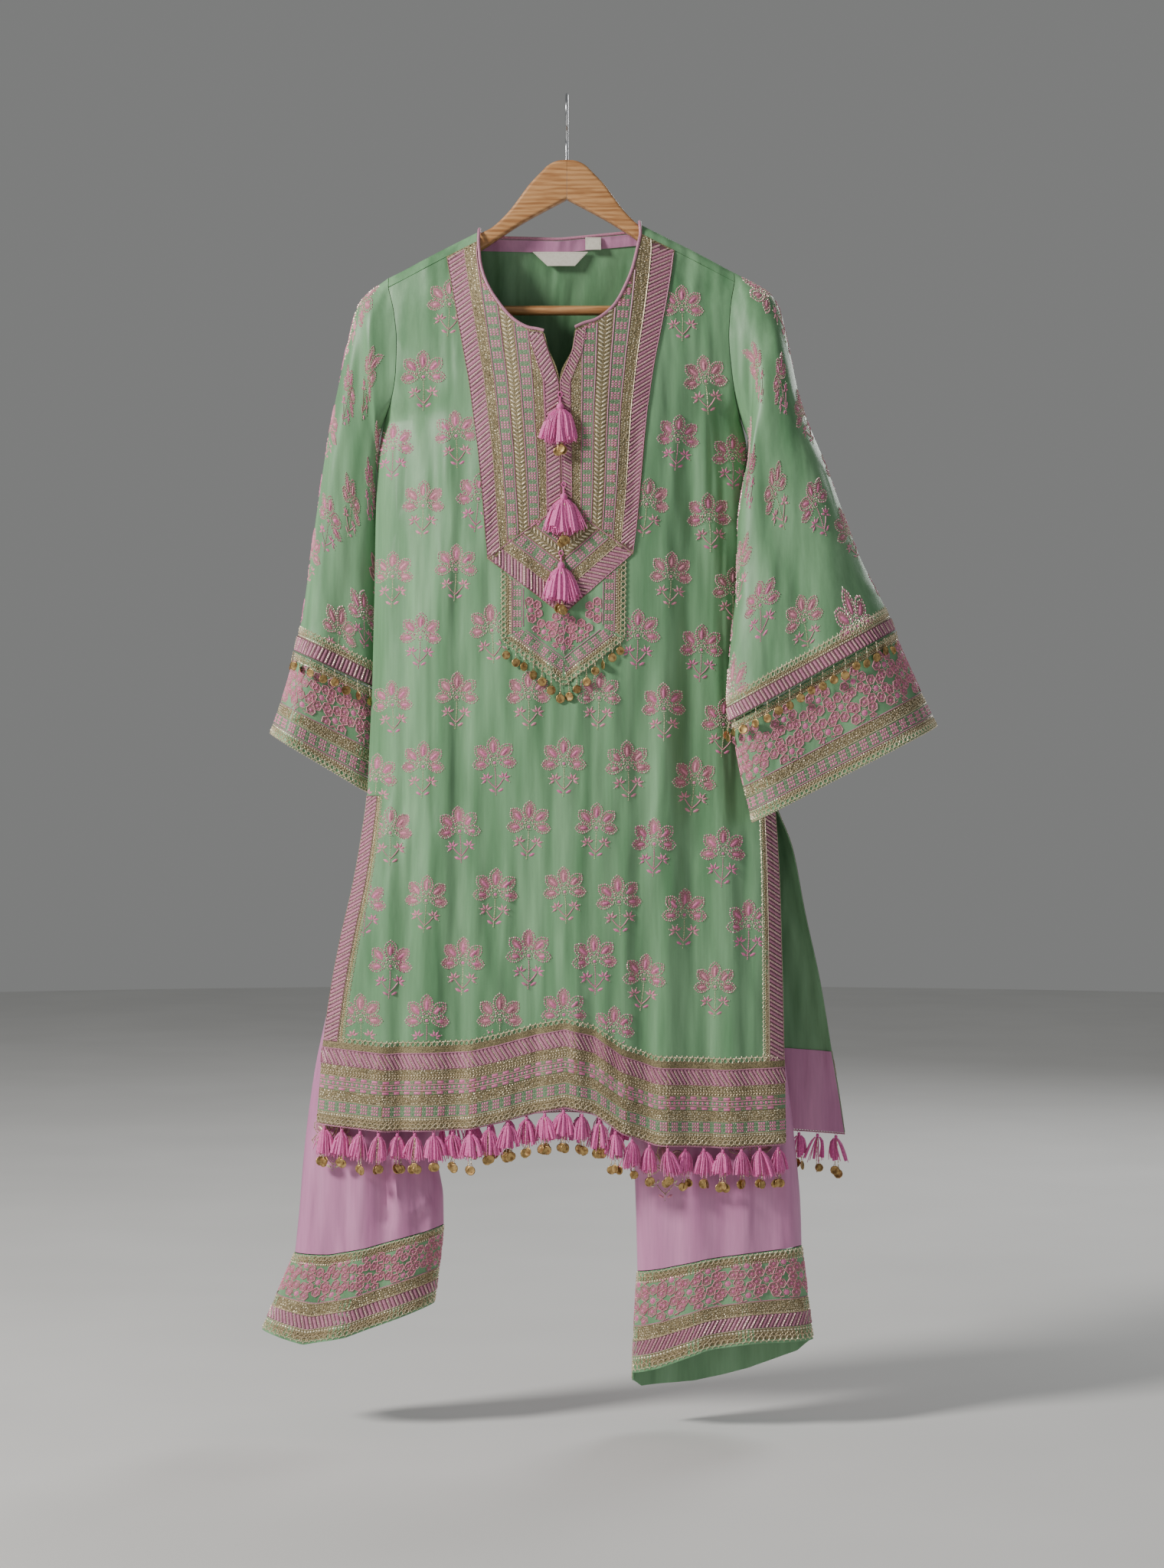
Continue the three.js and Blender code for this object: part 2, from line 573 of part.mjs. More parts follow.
// Each armhole point's angle round the sleeve: 0 at the armpit, half a turn on the ridge, positive in front
function anglesOf(line) {
  const low = line[0].z;
  const high = Math.max(...line.map((p) => p.z));
  const deep = Math.max(...line.map((p) => Math.abs(p.y)));
  return line.map((p) => Math.atan2(-p.y / deep, 1 - (2 * (p.z - low)) / (high - low)));
}
function ringPoint(ring, a, ripple) {
  const over = (1 - Math.cos(a)) / 2;
  const [ox, oy, oz] = ring.outer;
  const [ix, iy, iz] = ring.inner;
  const depth = ring.half * Math.sin(a) * (1 + ripple * Math.sin(3 * a + 0.6));
  return point(lerp(ix, ox, over), lerp(iy, oy, over) - depth, lerp(iz, oz, over));
}
function ringPatch(rows, outward, flatFirst) {
  const patch = new Patch();
  patch.cells = [];
  const n = rows[0].length;
  const id = (row, k) => patch.vertex(`${row},${k % n}`, () => rows[row][k % n], row === 0 ? flatFirst : "");
  for (let row = 0; row < rows.length - 1; row += 1)
    for (let k = 0; k < n; k += 1) {
      const quad = [id(row, k), id(row + 1, k), id(row + 1, k + 1), id(row, k + 1)];
      patch.quads.push(outward > 0 ? quad : quad.reverse());
      patch.cells.push({ row });
    }
  return patch;
}
for (const [side, { outward, rings, cuff }] of Object.entries(SLEEVES)) {
  const first = armhole(side);
  const angles = anglesOf(first);
  const last = rings.length - 1;
  const ringOf = (ring, i) => angles.map((a) => ringPoint(ring, a, 0.05 + 0.012 * i));
  const flared = rings.map((ring, i) => ({ ...ring, half: ring.half + (i === last ? GOTA_FLARE : 0) }));
  const rows = [first, ...flared.map(ringOf)];
  const sleeve = ringPatch(rows, outward, "x");
  add(`sleeve_${side}`, thicken(sleeve, CLOTH), "green");
  add(`sleeve_gota_band_${side}`, overlay(sleeve, ({ row }) => row === last), "gota");
  const cuffRows = cuff.map((ring, i) => ringOf(ring, last + 1 + i));
  add(`cuff_${side}`, thicken(ringPatch(cuffRows, outward, ""), CUFF_WALL), "border");
}

// Points along a line at shares of its length
function alongLine(line, shares) {
  const lengths = [0];
  for (let i = 1; i < line.length; i += 1) lengths.push(lengths[i - 1] + line[i].distanceTo(line[i - 1]));
  const total = lengths[lengths.length - 1];
  return shares.map((share) => {
    const at = share * total;
    let i = 1;
    while (i < line.length - 1 && lengths[i] < at) i += 1;
    const t = clamp01((at - lengths[i - 1]) / (lengths[i] - lengths[i - 1]));
    return line[i - 1].clone().lerp(line[i], t);
  });
}

// Trousers. Each row gives x and z of the outer edge (side seam) and of the inner edge (centre seam, then
// inseam), and half the depth. open is 1 where front and back are still parted at the centre seam and 0
// below the crotch, wave how much of the hem's own wave the row takes.
const legRow = (left, right, half, open = 0, wave = 0) => ({ left, right, half, open, wave });
const LEG_ROWS = [
  legRow([-150, WAIST_BOTTOM, -9, WAIST_BOTTOM], [133, WAIST_BOTTOM, -8, WAIST_BOTTOM], 20, 1),
  legRow([-170, -480, -9, -480], [153, -480, -8, -480], 25, 1),
  legRow([-186, -545, -9, -545], [171, -545, -8, -545], 28, 1),
  legRow([-201, -672, -9, -668], [188, -672, -8, -668], 30, 1),
  legRow([-205, -712, -9.2, -704], [193, -712, -7.8, -704], 30, 0.55),
  legRow([-208, -745, -12, -732], [197, -745, -5, -732], 30),
  legRow([-213, -795, -28, -780], [203, -795, 6, -780], 30),
  legRow([-247, -945, -74, -930], [224, -945, 36, -930], 32),
  legRow([-265, -1012, -95, -1000], [234, -1012, 48, -1000], 32),
  legRow([-284, -1098, -122, -1092], [247, -1098, 63, -1092], 33),
  legRow([-296, -1190, -146, -1186], [258, -1190, 75, -1190], 34),
  legRow([-301, -1252, -139, -1238], [263, -1246, 78, -1262], 35),
  legRow([-306, -1301, -138.5, -1269.5], [264.5, -1293, 79.5, -1322], 36, 0, 0.35),
];
const LEG_BAND_ROWS = [
  legRow([-306.5, -1302, -138.5, -1270.5], [264.7, -1294, 79.3, -1323], 36, 0, 0.35),
  legRow([-325, -1345, -143, -1314], [271, -1346, 76, -1380], 38, 0, 0.7),
  legRow([-343, -1388, -149, -1358], [277.5, -1399, 73.5, -1437], 41, 0, 1),
];
const LEG_COLUMNS = 8;
const LEG_WAVE = {
  left: {
    front: [[0, 0], [0.25, -20], [0.5, -18], [0.8, -7], [1, 0]],
    back: [[0, 0], [0.4, 8], [1, 0]],
  },
  right: {
    front: [[0, 0], [0.35, 14], [0.6, 16], [0.85, 4], [1, 0]],
    back: [[0, 0], [0.08, -14], [0.35, -27], [0.65, -30], [0.95, -20], [1, -9]],
  },
};
const LEG_FOLDS = {
  left: [{ at: 0.3, width: 0.12, depth: 6 }, { at: 0.62, width: 0.14, depth: 7 }],
  right: [
    { at: 0.22, width: 0.12, depth: 5 },
    { at: 0.5, width: 0.12, depth: 7 },
    { at: 0.78, width: 0.1, depth: 4 },
  ],
};
function legPoint(r, side, face, u) {
  const [ox, oz, ix, iz] = r[side];
  const closed = Math.sin(Math.PI * clamp01(u)) ** 0.55;
  const open = Math.sin((Math.PI / 2) * clamp01(u)) ** 0.55;
  const full = lerp(closed, open, r.open);
  const z = lerp(oz, iz, u) + r.wave * along(LEG_WAVE[side][face], u);
  const fades = smooth((-620 - z) / 420);
  const dip = LEG_FOLDS[side].reduce((sum, f) => sum + f.depth * Math.exp(-(((u - f.at) / f.width) ** 2)), 0);
  const depth = r.half * full - dip * fades * full;
  const sign = face === "front" ? -1 : 1;
  return point(lerp(ox, ix, u), LEG_MID_Y + sign * (SEAM / 2 + depth), z);
}
const legShare = (column) => (1 - Math.cos((Math.PI * column) / LEG_COLUMNS)) / 2;
function legPatch(side, face) {
  const patch = new Patch();
  const id = (row, column) => {
    const r = LEG_ROWS[row];
    let flat = row === 0 ? "z" : "";
    if (column === 0) flat += "y";
    if (column === LEG_COLUMNS) flat += r.open === 1 ? "x" : r.open === 0 ? "y" : "";
    return patch.vertex(`${row},${column}`, () => legPoint(r, side, face, legShare(column)), flat);
  };
  for (let row = 0; row < LEG_ROWS.length - 1; row += 1)
    for (let column = 0; column < LEG_COLUMNS; column += 1) {
      const quad = [id(row, column), id(row + 1, column), id(row + 1, column + 1), id(row, column + 1)];
      patch.quads.push((side === "left") === (face === "front") ? quad : quad.reverse());
    }
  return patch;
}
const CENTRE_X = -8.5;
for (const side of ["left", "right"])
  for (const face of ["front", "back"]) {
    const held = (p) => {
      const y = face === "front" ? Math.min(p.y, LEG_MID_Y - SEAM / 2) : Math.max(p.y, LEG_MID_Y + SEAM / 2);
      const x = side === "left" ? Math.min(p.x, CENTRE_X - SEAM / 2) : Math.max(p.x, CENTRE_X + SEAM / 2);
      return point(x, y, p.z);
    };
    add(`leg_${face}_${side}`, thicken(legPatch(side, face), CLOTH, 0, held), "trousers");
  }

// A closed ring of points round one leg: across the front from the side seam, back across the back
function legRing(r, side) {
  const points = [];
  for (let c = 0; c < LEG_COLUMNS; c += 1) points.push(legPoint(r, side, "front", legShare(c)));
  for (let c = LEG_COLUMNS; c > 0; c -= 1) points.push(legPoint(r, side, "back", legShare(c)));
  return points;
}
function tube(rows, reversed, flatRows = []) {
  const patch = new Patch();
  const n = rows[0].length;
  const flat = (row) => (flatRows.includes(row) ? "z" : "");
  const id = (row, k) => patch.vertex(`${row},${k % n}`, () => rows[row][k % n], flat(row));
  for (let row = 0; row < rows.length - 1; row += 1)
    for (let k = 0; k < n; k += 1) {
      const quad = [id(row, k), id(row + 1, k), id(row + 1, k + 1), id(row, k + 1)];
      patch.quads.push(reversed ? quad.reverse() : quad);
    }
  return patch;
}
const BAND_WALL = CLOTH + 0.6;
for (const side of ["left", "right"]) {
  const rings = LEG_BAND_ROWS.map((r) => legRing(r, side));
  add(`leg_band_${side}`, thicken(tube(rings, side === "right"), BAND_WALL), "border");
}

// Waistband: a gathered ring above the four leg panels
const WAIST_RUNS = [
  { side: "left", face: "front", from: 0, to: 1 },
  { side: "right", face: "front", from: 1, to: 0 },
  { side: "right", face: "back", from: 0, to: 1 },
  { side: "left", face: "back", from: 1, to: 0 },
];
const GATHER = 0.8;
function waistRing(z, half) {
  const r = legRow([-150, z, CENTRE_X, z], [133, z, CENTRE_X, z], half, 1);
  return WAIST_RUNS.flatMap(({ side, face, from, to }) =>
    columnsTo(LEG_COLUMNS - 1).map((column) => {
      const u = lerp(from, to, column / LEG_COLUMNS);
      const p = legPoint(r, side, face, u);
      const outwards = face === "front" ? 1 : -1;
      p.y += (column % 2 ? -GATHER : GATHER) * Math.sin(Math.PI * u) * outwards;
      return p;
    }));
}
const waistTop = waistRing(WAIST_TOP, 19);
const waistLow = waistRing(WAIST_BOTTOM + 2 * SEAM, 20);
add("waistband", thicken(tube([waistTop, waistLow], false, [0, 1]), BAND_WALL), "trousers");

// Hanger loops: tapes from the waistband's top edge over the bar
const LOOPS = { left: -112, right: 96 };
const LOOP_WIDTH = 8;
const LOOP_WALL = 1;
function waistDepth(x, sign) {
  const half = waistTop.length / 2;
  const run = sign < 0 ? waistTop.slice(0, half + 1) : [...waistTop.slice(half), waistTop[0]].reverse();
  return along(run.map((p) => [p.x, p.y]), x) - sign * (BAND_WALL - LOOP_WALL) / 2;
}
for (const [side, x] of Object.entries(LOOPS)) {
  const over = BAR.r + 0.3;
  const line = [[waistDepth(x, -1), WAIST_TOP + 0.5], [-over - 1, BAR.z - 14]];
  for (let k = 0; k <= 6; k += 1) {
    const a = Math.PI - (Math.PI * k) / 6;
    line.push([(over + 0.4) * Math.cos(a), BAR.z + (over + 0.4) * Math.sin(a)]);
  }
  line.push([over + 1, BAR.z - 14], [waistDepth(x, 1), WAIST_TOP + 0.5]);
  const patch = new Patch();
  const id = (row, c) => patch.vertex(`${row},${c}`, () => point(x + (c - 0.5) * LOOP_WIDTH, ...line[row]),
    row === 0 || row === line.length - 1 ? "z" : "");
  for (let row = 0; row < line.length - 1; row += 1)
    patch.quads.push([id(row, 0), id(row, 1), id(row + 1, 1), id(row + 1, 0)]);
  add(`hanger_loop_${side}`, thicken(patch, LOOP_WALL, LOOP_WALL), "trousers");
}

// Tassels. A lock is a three-sided tapering strand, a dangler a thin thread that ends in a small round disc.
function prism(sections, sides) {
  const positions = [];
  const index = [];
  for (const { at, across, deep } of sections)
    for (let i = 0; i < sides; i += 1) {
      const a = (i / sides) * 2 * Math.PI + Math.PI / 2;
      positions.push(at.x + across * Math.cos(a), at.y + deep * Math.sin(a), at.z);
    }
  const n = sections.length;
  for (let s = 0; s < n - 1; s += 1)
    for (let i = 0; i < sides; i += 1) {
      const [a, b] = [s * sides + i, s * sides + ((i + 1) % sides)];
      index.push(a, a + sides, b, b, a + sides, b + sides);
    }
  for (let i = 1; i < sides - 1; i += 1) {
    index.push(0, i, i + 1);
    index.push((n - 1) * sides, (n - 1) * sides + i + 1, (n - 1) * sides + i);
  }
  const geometry = new THREE.BufferGeometry();
  geometry.setAttribute("position", new THREE.Float32BufferAttribute(positions, 3));
  geometry.setIndex(index);
  return solid(geometry);
}
const section = (at, across, deep) => ({ at, across, deep });

// Locks and one dangler below a backing. rootAt gives the root at a distance along the backing.
const ROOT = 0.7; // how far a strand is set into its backing
const DISC = 9.5;
function hang(rootAt, { locks, apart, spread, deep, wide, length, dangler }) {
  const made = [];
  const centre = rootAt(0);
  const way = rootAt(1).sub(rootAt(-1)).setZ(0).normalize();
  const out = point(way.y, -way.x, 0);
  locks.forEach((place, i) => {
    const from = rootAt(apart * place);
    const to = centre.clone().addScaledVector(way, spread * place).addScaledVector(out, i % 2 ? deep : -deep);
    to.z = centre.z - length * (1 - 0.1 * place * place);
    made.push(prism([section(point(from.x, from.y, from.z + ROOT), 0.65, 0.6), section(to, wide, 1.9)], 3));
  });
  const thread = rootAt(0);
  const low = centre.z - dangler;
  const at = (z, across, thick) => section(point(thread.x, thread.y, z), across, thick);
  const disc = [at(low + DISC, 0.5, 0.5), at(low + DISC / 2, 5.4, 0.8), at(low, 0.8, 0.5)];
  made.push(prism([at(thread.z + ROOT, 0.55, 0.55), ...disc], 3));
  return made;
}

// A string of tassels below a hem: a narrow tape and one tassel at each pitch
const TAPE = { gap: 0.6, tall: 2.4, thick: 1.8, out: 0.4 };
const HEM_TASSEL = { locks: [-1, 1], apart: 2.2, spread: 5.4, deep: 0.8, wide: 3.7 };
function tasselString(edge) {
  const outward = edge[0].x < edge[1].x ? -1 : 1;
  const tape = new Patch();
  edge.forEach((p, i) => {
    tape.vertex(`a${i}`, () => point(p.x, p.y, p.z - TAPE.gap), "z");
    tape.vertex(`b${i}`, () => point(p.x, p.y, p.z - TAPE.gap - TAPE.tall), "z");
  });
  for (let i = 0; i < edge.length - 1; i += 1) tape.quads.push([2 * i, 2 * i + 1, 2 * i + 3, 2 * i + 2]);
  const parts = [solid(thicken(tape, TAPE.thick, TAPE.out))];
  const length = edge.slice(1).reduce((sum, p, i) => sum + p.distanceTo(edge[i]), 0);
  const count = Math.round(length / TASSEL_PITCH);
  const middle = outward * (TAPE.out - TAPE.thick / 2);
  for (let k = 0; k < count; k += 1) {
    const rootAt = (shift) => {
      const [p] = alongLine(edge, [(k + 0.5) / count + shift / length]);
      return point(p.x, p.y + middle, p.z - TAPE.gap - TAPE.tall);
    };
    const size = { length: 33 + 2 * Math.sin(k * 2.4), dangler: 49 + 2.5 * Math.sin(k * 1.7 + 1) };
    parts.push(...hang(rootAt, { ...HEM_TASSEL, ...size }));
  }
  return geometryOf(wasm.Manifold.union(parts));
}
const hemLine = (patch, keys) => keys.map((key) => patch.points[patch.keys.get(key)]);
const frontHemKeys = [
  ...columnsTo(HALF).map((c) => frontKey("left")(HEM_ROW, c)),
  ...columnsTo(HALF - 1).reverse().map((c) => frontKey("right")(HEM_ROW, c)),
];
add("tassel_string_front", tasselString(hemLine(front, frontHemKeys)), "tassel");
const backHemKeys = columnsTo(BACK_COLUMNS).reverse().map((c) => backKey(BACK_HEM, c));
add("tassel_string_back", tasselString(hemLine(back, backHemKeys)), "tassel");

// Three tassels down the placket, each hung on the yoke by its loop
const PLACKET_TASSELS = [{ x: -7, z: -346 }, { x: -3, z: -446 }, { x: -6, z: -522 }];
const ON_YOKE = TRIM + 2 * SEAM;
const PLACKET_LOCKS = {
  locks: [-1, -0.78, -0.56, -0.3, 0.3, 0.56, 0.78, 1],
  apart: 6.6, spread: 19, deep: 2.2, wide: 2.4, length: 38, dangler: 54,
};
const frontDepth = (z) => along(FRONT_ROWS.map((r) => [-r.left[5], r.depth]), -z);
PLACKET_TASSELS.forEach(({ x, z }, i) => {
  const surface = -frontDepth(z) - ON_YOKE;
  const root = point(x, surface - 6.4, z - 16);
  const head = [section(point(x, surface - 1.3, z + 6), 1.2, 1.2), section(point(x, root.y, z - 6), 2.2, 2),
    section(root, 9, 3)];
  const rootAt = (shift) => point(x + shift, root.y, root.z);
  const tassel = [prism(head, 6), ...hang(rootAt, PLACKET_LOCKS)];
  add(`placket_tassel_${i + 1}`, geometryOf(wasm.Manifold.union(tassel)), "tassel");
});

// Hanger: two wooden halves that meet at the middle, a dowel bar and a steel hook
const HALF_GAP = 0.15;
const WOOD_TOP = [
  [HALF_GAP, -71.7], [10, -72.6], [20, -77], [41, -98], [54.5, -116], [62, -126], [72, -137], [84, -147.7],
];
const WOOD_TIP = [[211, -215.5], [217, -221.5]];
const WOOD_LOW = [
  [222, -235], [220, -247], [214, -253], [202, -253], [194, -240], [182, -226], [150, -204], [100, -175.5],
  [HALF_GAP, -116],
];
const BORE = 30; // half the length of the drill bits
function drill(radius, length, turn, x, z) {
  const bit = new THREE.CylinderGeometry(radius, radius, length, 14);
  turn(bit);
  bit.translate(x, 0, z);
  return solid(bit);
}
function woodHalf(side) {
  const rest = RIDGE.filter(([x]) => x > 90 && x < 205).map(([x, z]) => [x, z - WOOD_UNDER_CLOTH]);
  const outline = [...WOOD_TOP, ...rest, ...WOOD_TIP, ...WOOD_LOW];
  const shape = new THREE.Shape(outline.map(([x, z]) => new THREE.Vector2(x, z)));
  const geometry = new THREE.ExtrudeGeometry(shape, {
    depth: WOOD_THICK - 2 * WOOD_BEVEL, bevelEnabled: true, bevelSize: WOOD_BEVEL, bevelOffset: -WOOD_BEVEL,
    bevelThickness: WOOD_BEVEL, bevelSegments: 1, curveSegments: 1,
  });
  geometry.rotateX(Math.PI / 2);
  geometry.translate(0, WOOD_THICK / 2 - WOOD_BEVEL, 0);
  const barEnd = BAR.halfLength + BAR.fit;
  const barHole = drill(BAR.r + BAR.fit, 2 * BORE, (g) => g.rotateZ(Math.PI / 2), barEnd - BORE, BAR.z);
  const stemEnd = HOOK.stemEnd - BAR.fit;
  const hookHole = drill(HOOK.hole, 2 * BORE, (g) => g.rotateX(Math.PI / 2), 0, stemEnd + BORE);
  const made = geometryOf(solid(geometry).subtract(barHole).subtract(hookHole));
  if (side < 0) made.rotateZ(Math.PI);
  return made;
}
add("hanger_wood_left", woodHalf(-1), "wood");
add("hanger_wood_right", woodHalf(1), "wood");
const bar = new THREE.CylinderGeometry(BAR.r, BAR.r, 2 * BAR.halfLength, 14);
bar.rotateZ(Math.PI / 2);
bar.translate(0, 0, BAR.z);
add("hanger_bar", bar, "wood");

// The hook's stem bends back, then its round end passes over the origin and down in front
const HOOK_STEM = [[0, HOOK.stemEnd], [0, -62], [-0.5, -50], [-7, -40], [-15, -32.5]];
const HOOK_ARC = { from: 200, to: -30, step: 23 };
const hookPath = HOOK_STEM.map(([y, z]) => point(0, y, z));
for (let degrees = HOOK_ARC.from; degrees >= HOOK_ARC.to; degrees -= HOOK_ARC.step) {
  const a = (degrees * Math.PI) / 180;
  hookPath.push(point(0, HOOK.bend * Math.cos(a), HOOK.wire - HOOK.bend + HOOK.bend * Math.sin(a)));
}
add("hanger_hook", cord(hookPath, HOOK.wire, 8, 34), "steel");

export default set;
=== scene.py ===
"""A kurta set on a wooden hanger: cloth, embroidery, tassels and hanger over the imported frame."""
import json
import math

import bmesh
import bpy
import numpy as np
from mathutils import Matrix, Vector
from mathutils.bvhtree import BVHTree

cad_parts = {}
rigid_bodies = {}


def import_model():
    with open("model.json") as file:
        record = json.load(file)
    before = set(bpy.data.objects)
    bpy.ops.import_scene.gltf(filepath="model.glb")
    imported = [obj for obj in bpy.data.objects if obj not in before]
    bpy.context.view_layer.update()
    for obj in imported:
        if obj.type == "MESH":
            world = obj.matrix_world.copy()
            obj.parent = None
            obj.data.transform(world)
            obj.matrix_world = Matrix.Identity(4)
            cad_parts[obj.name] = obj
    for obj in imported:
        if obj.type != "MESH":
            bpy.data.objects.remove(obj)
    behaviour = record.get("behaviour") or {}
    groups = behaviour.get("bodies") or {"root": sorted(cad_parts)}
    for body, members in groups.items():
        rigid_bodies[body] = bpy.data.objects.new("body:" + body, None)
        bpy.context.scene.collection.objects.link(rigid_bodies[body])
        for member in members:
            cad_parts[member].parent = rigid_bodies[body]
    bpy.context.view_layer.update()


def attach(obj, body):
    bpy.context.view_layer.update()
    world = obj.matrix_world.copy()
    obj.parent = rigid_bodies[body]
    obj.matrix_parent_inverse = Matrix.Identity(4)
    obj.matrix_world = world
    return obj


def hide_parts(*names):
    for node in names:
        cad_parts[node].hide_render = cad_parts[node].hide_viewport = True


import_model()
MM = 0.001
LEFT, RIGHT = "left", "right"
chance = np.random.default_rng(7)

# Camera: level, with the photograph's framing in the plane of the front panel, y = -30 mm
SENSOR, PANEL_DISTANCE = 36.0, 3170  # mm
PHOTO_TALL, PIXEL = 2048, 0.855  # pixels, and mm for each of them in that plane
camera_data = bpy.data.cameras.new("camera")
camera_data.sensor_width = SENSOR
camera_data.lens = SENSOR * PANEL_DISTANCE / (PHOTO_TALL * PIXEL)
camera = bpy.data.objects.new("camera", camera_data)
camera.location = (0.0171, -3.2, -0.7746)
camera.rotation_euler = (math.pi / 2, 0, 0)
bpy.context.scene.collection.objects.link(camera)
bpy.context.scene.camera = camera


# Procedural materials, all in object space

class Look:
    """A Principled material and short ways to add procedural layers to it."""

    def __init__(self, name, **sockets):
        self.material = bpy.data.materials.new(name)
        self.material.use_nodes = True
        self.nodes = self.material.node_tree.nodes
        self.links = self.material.node_tree.links
        self.shader = self.nodes["Principled BSDF"]
        for socket, value in sockets.items():
            self.shader.inputs[socket.replace("_", " ")].default_value = value
        self.place = self.nodes.new("ShaderNodeTexCoord").outputs["Object"]

    def stretched(self, scale):
        mapping = self.nodes.new("ShaderNodeMapping")
        mapping.inputs["Scale"].default_value = scale
        self.links.new(self.place, mapping.inputs["Vector"])
        return mapping.outputs["Vector"]

    def noise(self, scale, detail=3.0, stretch=(1, 1, 1), distortion=0.0):
        node = self.nodes.new("ShaderNodeTexNoise")
        node.inputs["Scale"].default_value = scale
        node.inputs["Detail"].default_value = detail
        node.inputs["Distortion"].default_value = distortion
        self.links.new(self.stretched(stretch), node.inputs["Vector"])
        return node.outputs["Fac"]

    def cells(self, scale):
        node = self.nodes.new("ShaderNodeTexVoronoi")
        node.inputs["Scale"].default_value = scale
        self.links.new(self.place, node.inputs["Vector"])
        return node.outputs["Distance"]

    def bands(self, axis, pitch, distortion=0.0):
        node = self.nodes.new("ShaderNodeTexWave")
        node.bands_direction = axis
        node.inputs["Scale"].default_value = 2 * math.pi / (20 * pitch * MM)
        node.inputs["Distortion"].default_value = distortion
        node.inputs["Detail Scale"].default_value = 0.4
        self.links.new(self.place, node.inputs["Vector"])
        return node.outputs["Fac"]

    def ramp(self, value, *stops):
        node = self.nodes.new("ShaderNodeValToRGB")
        elements = node.color_ramp.elements
        while len(elements) < len(stops):
            elements.new(0.5)
        for element, (position, colour) in zip(elements, stops):
            element.position = position
            element.color = (*colour, 1)
        self.links.new(value, node.inputs["Fac"])
        return node.outputs["Color"]

    def math(self, operation, a, b):
        node = self.nodes.new("ShaderNodeMath")
        node.operation = operation
        for socket, value in zip(node.inputs, (a, b)):
            if isinstance(value, float):
                socket.default_value = value
            else:
                self.links.new(value, socket)
        return node.outputs["Value"]

    def mixed(self, blend, share, a, b):
        node = self.nodes.new("ShaderNodeMix")
        node.data_type = "RGBA"
        node.blend_type = blend
        node.inputs["Factor"].default_value = share
        self.links.new(a, node.inputs["A"])
        self.links.new(b, node.inputs["B"])
        return node.outputs["Result"]

    def feed(self, socket, value):
        self.links.new(value, self.shader.inputs[socket])
        return self

    def bump(self, *layers):
        """Layers of (height, strength, depth in mm), the broadest first."""
        normal = None
        for height, strength, depth in layers:
            node = self.nodes.new("ShaderNodeBump")
            node.inputs["Strength"].default_value = strength
            node.inputs["Distance"].default_value = depth * MM
            self.links.new(height, node.inputs["Height"])
            if normal:
                self.links.new(normal, node.inputs["Normal"])
            normal = node.outputs["Normal"]
        self.links.new(normal, self.shader.inputs["Normal"])
        return self


def cloth_look(name, dark, light, roughness, sheen, weave=0.55, crumple=0.35):
    """Satin-faced cloth: lengthwise streaks of painted sheen in its colour, a fine weave and soft crumples."""
    look = Look(name, Roughness=roughness, Sheen_Weight=sheen, Sheen_Roughness=0.35, Anisotropic=0.35)
    look.shader.inputs["Sheen Tint"].default_value = (*[min(1, c * 1.5 + 0.2) for c in light], 1)
    painted_sheen_streaks = look.noise(46, 4, (1, 1, 0.1))
    slub = look.noise(420, 2, (1, 1, 0.06))
    # The colour ramp over the lengthwise streaks is painted sheen: lighter and darker bands of lustre.
    base = look.ramp(painted_sheen_streaks, (0.3, dark), (0.72, light))
    tint = look.ramp(slub, (0.3, (0.82, 0.82, 0.82)), (0.7, (1, 1, 1)))
    look.feed("Base Color", look.mixed("MULTIPLY", 0.5, base, tint))
    threads = look.math("ADD", look.bands("X", weave), look.bands("Z", weave))
    drape = look.noise(15, 2, (1, 1, 0.14), 0.6)
    crumples = look.noise(38, 3, (1, 1, 0.45))
    look.bump((drape, 0.9, 20), (crumples, crumple, 2.2), (slub, 0.12, 0.2), (threads, 0.12, 0.1))
    return look.material


def thread_look(name, dark, light, roughness=0.55, pitch=0.7, sheen=0.4):
    """Satin stitch or floss: fine parallel threads with small changes of shade."""
    look = Look(name, Roughness=roughness, Sheen_Weight=sheen, Sheen_Roughness=0.4)
    shade = look.noise(700, 3)
    look.feed("Base Color", look.ramp(shade, (0.32, dark), (0.68, light)))
    look.bump((look.bands("DIAGONAL", pitch, 1.5), 0.4, 0.25), (shade, 0.3, 0.2))
    return look.material


def metal_thread_look(name, dark, light, roughness=0.36, metallic=0.8, size=850):
    """Zari: flat metal thread twisted round a core; its colour has painted glints and painted shade, bright on top and
    dark between the turns.
    """
    look = Look(name, Roughness=roughness, Metallic=metallic)
    painted_glint = look.noise(size, 2)
    # The colour ramp over this noise paints glints and shade on the metal thread.
    look.feed("Base Color", look.ramp(painted_glint, (0.36, dark), (0.6, light)))
    look.bump((look.cells(size * 0.9), 0.7, 0.45), (painted_glint, 0.4, 0.3))
    return look.material


def wood_look():
    """Pale oak under a satin lacquer, with its grain along the hanger's arms."""
    look = Look("hanger_oak", Roughness=0.42, Coat_Weight=0.35, Coat_Roughness=0.2)
    grain = look.nodes.new("ShaderNodeTexWave")
    grain.bands_direction = "Z"
    grain.inputs["Scale"].default_value = 60
    grain.inputs["Distortion"].default_value = 7
    grain.inputs["Detail"].default_value = 3
    grain.inputs["Detail Scale"].default_value = 1.2
    look.links.new(look.stretched((0.16, 1, 1)), grain.inputs["Vector"])
    pores = look.noise(260, 4, (0.1, 1, 1))
    base = look.ramp(grain.outputs["Fac"], (0.1, (0.50, 0.245, 0.095)), (0.8, (0.63, 0.335, 0.14)))
    fleck = look.ramp(pores, (0.38, (0.62, 0.5, 0.4)), (0.55, (1, 1, 1)))
    look.feed("Base Color", look.mixed("MULTIPLY", 0.7, base, fleck))
    look.bump((grain.outputs["Fac"], 0.08, 0.4), (pores, 0.15, 0.2))
    return look.material


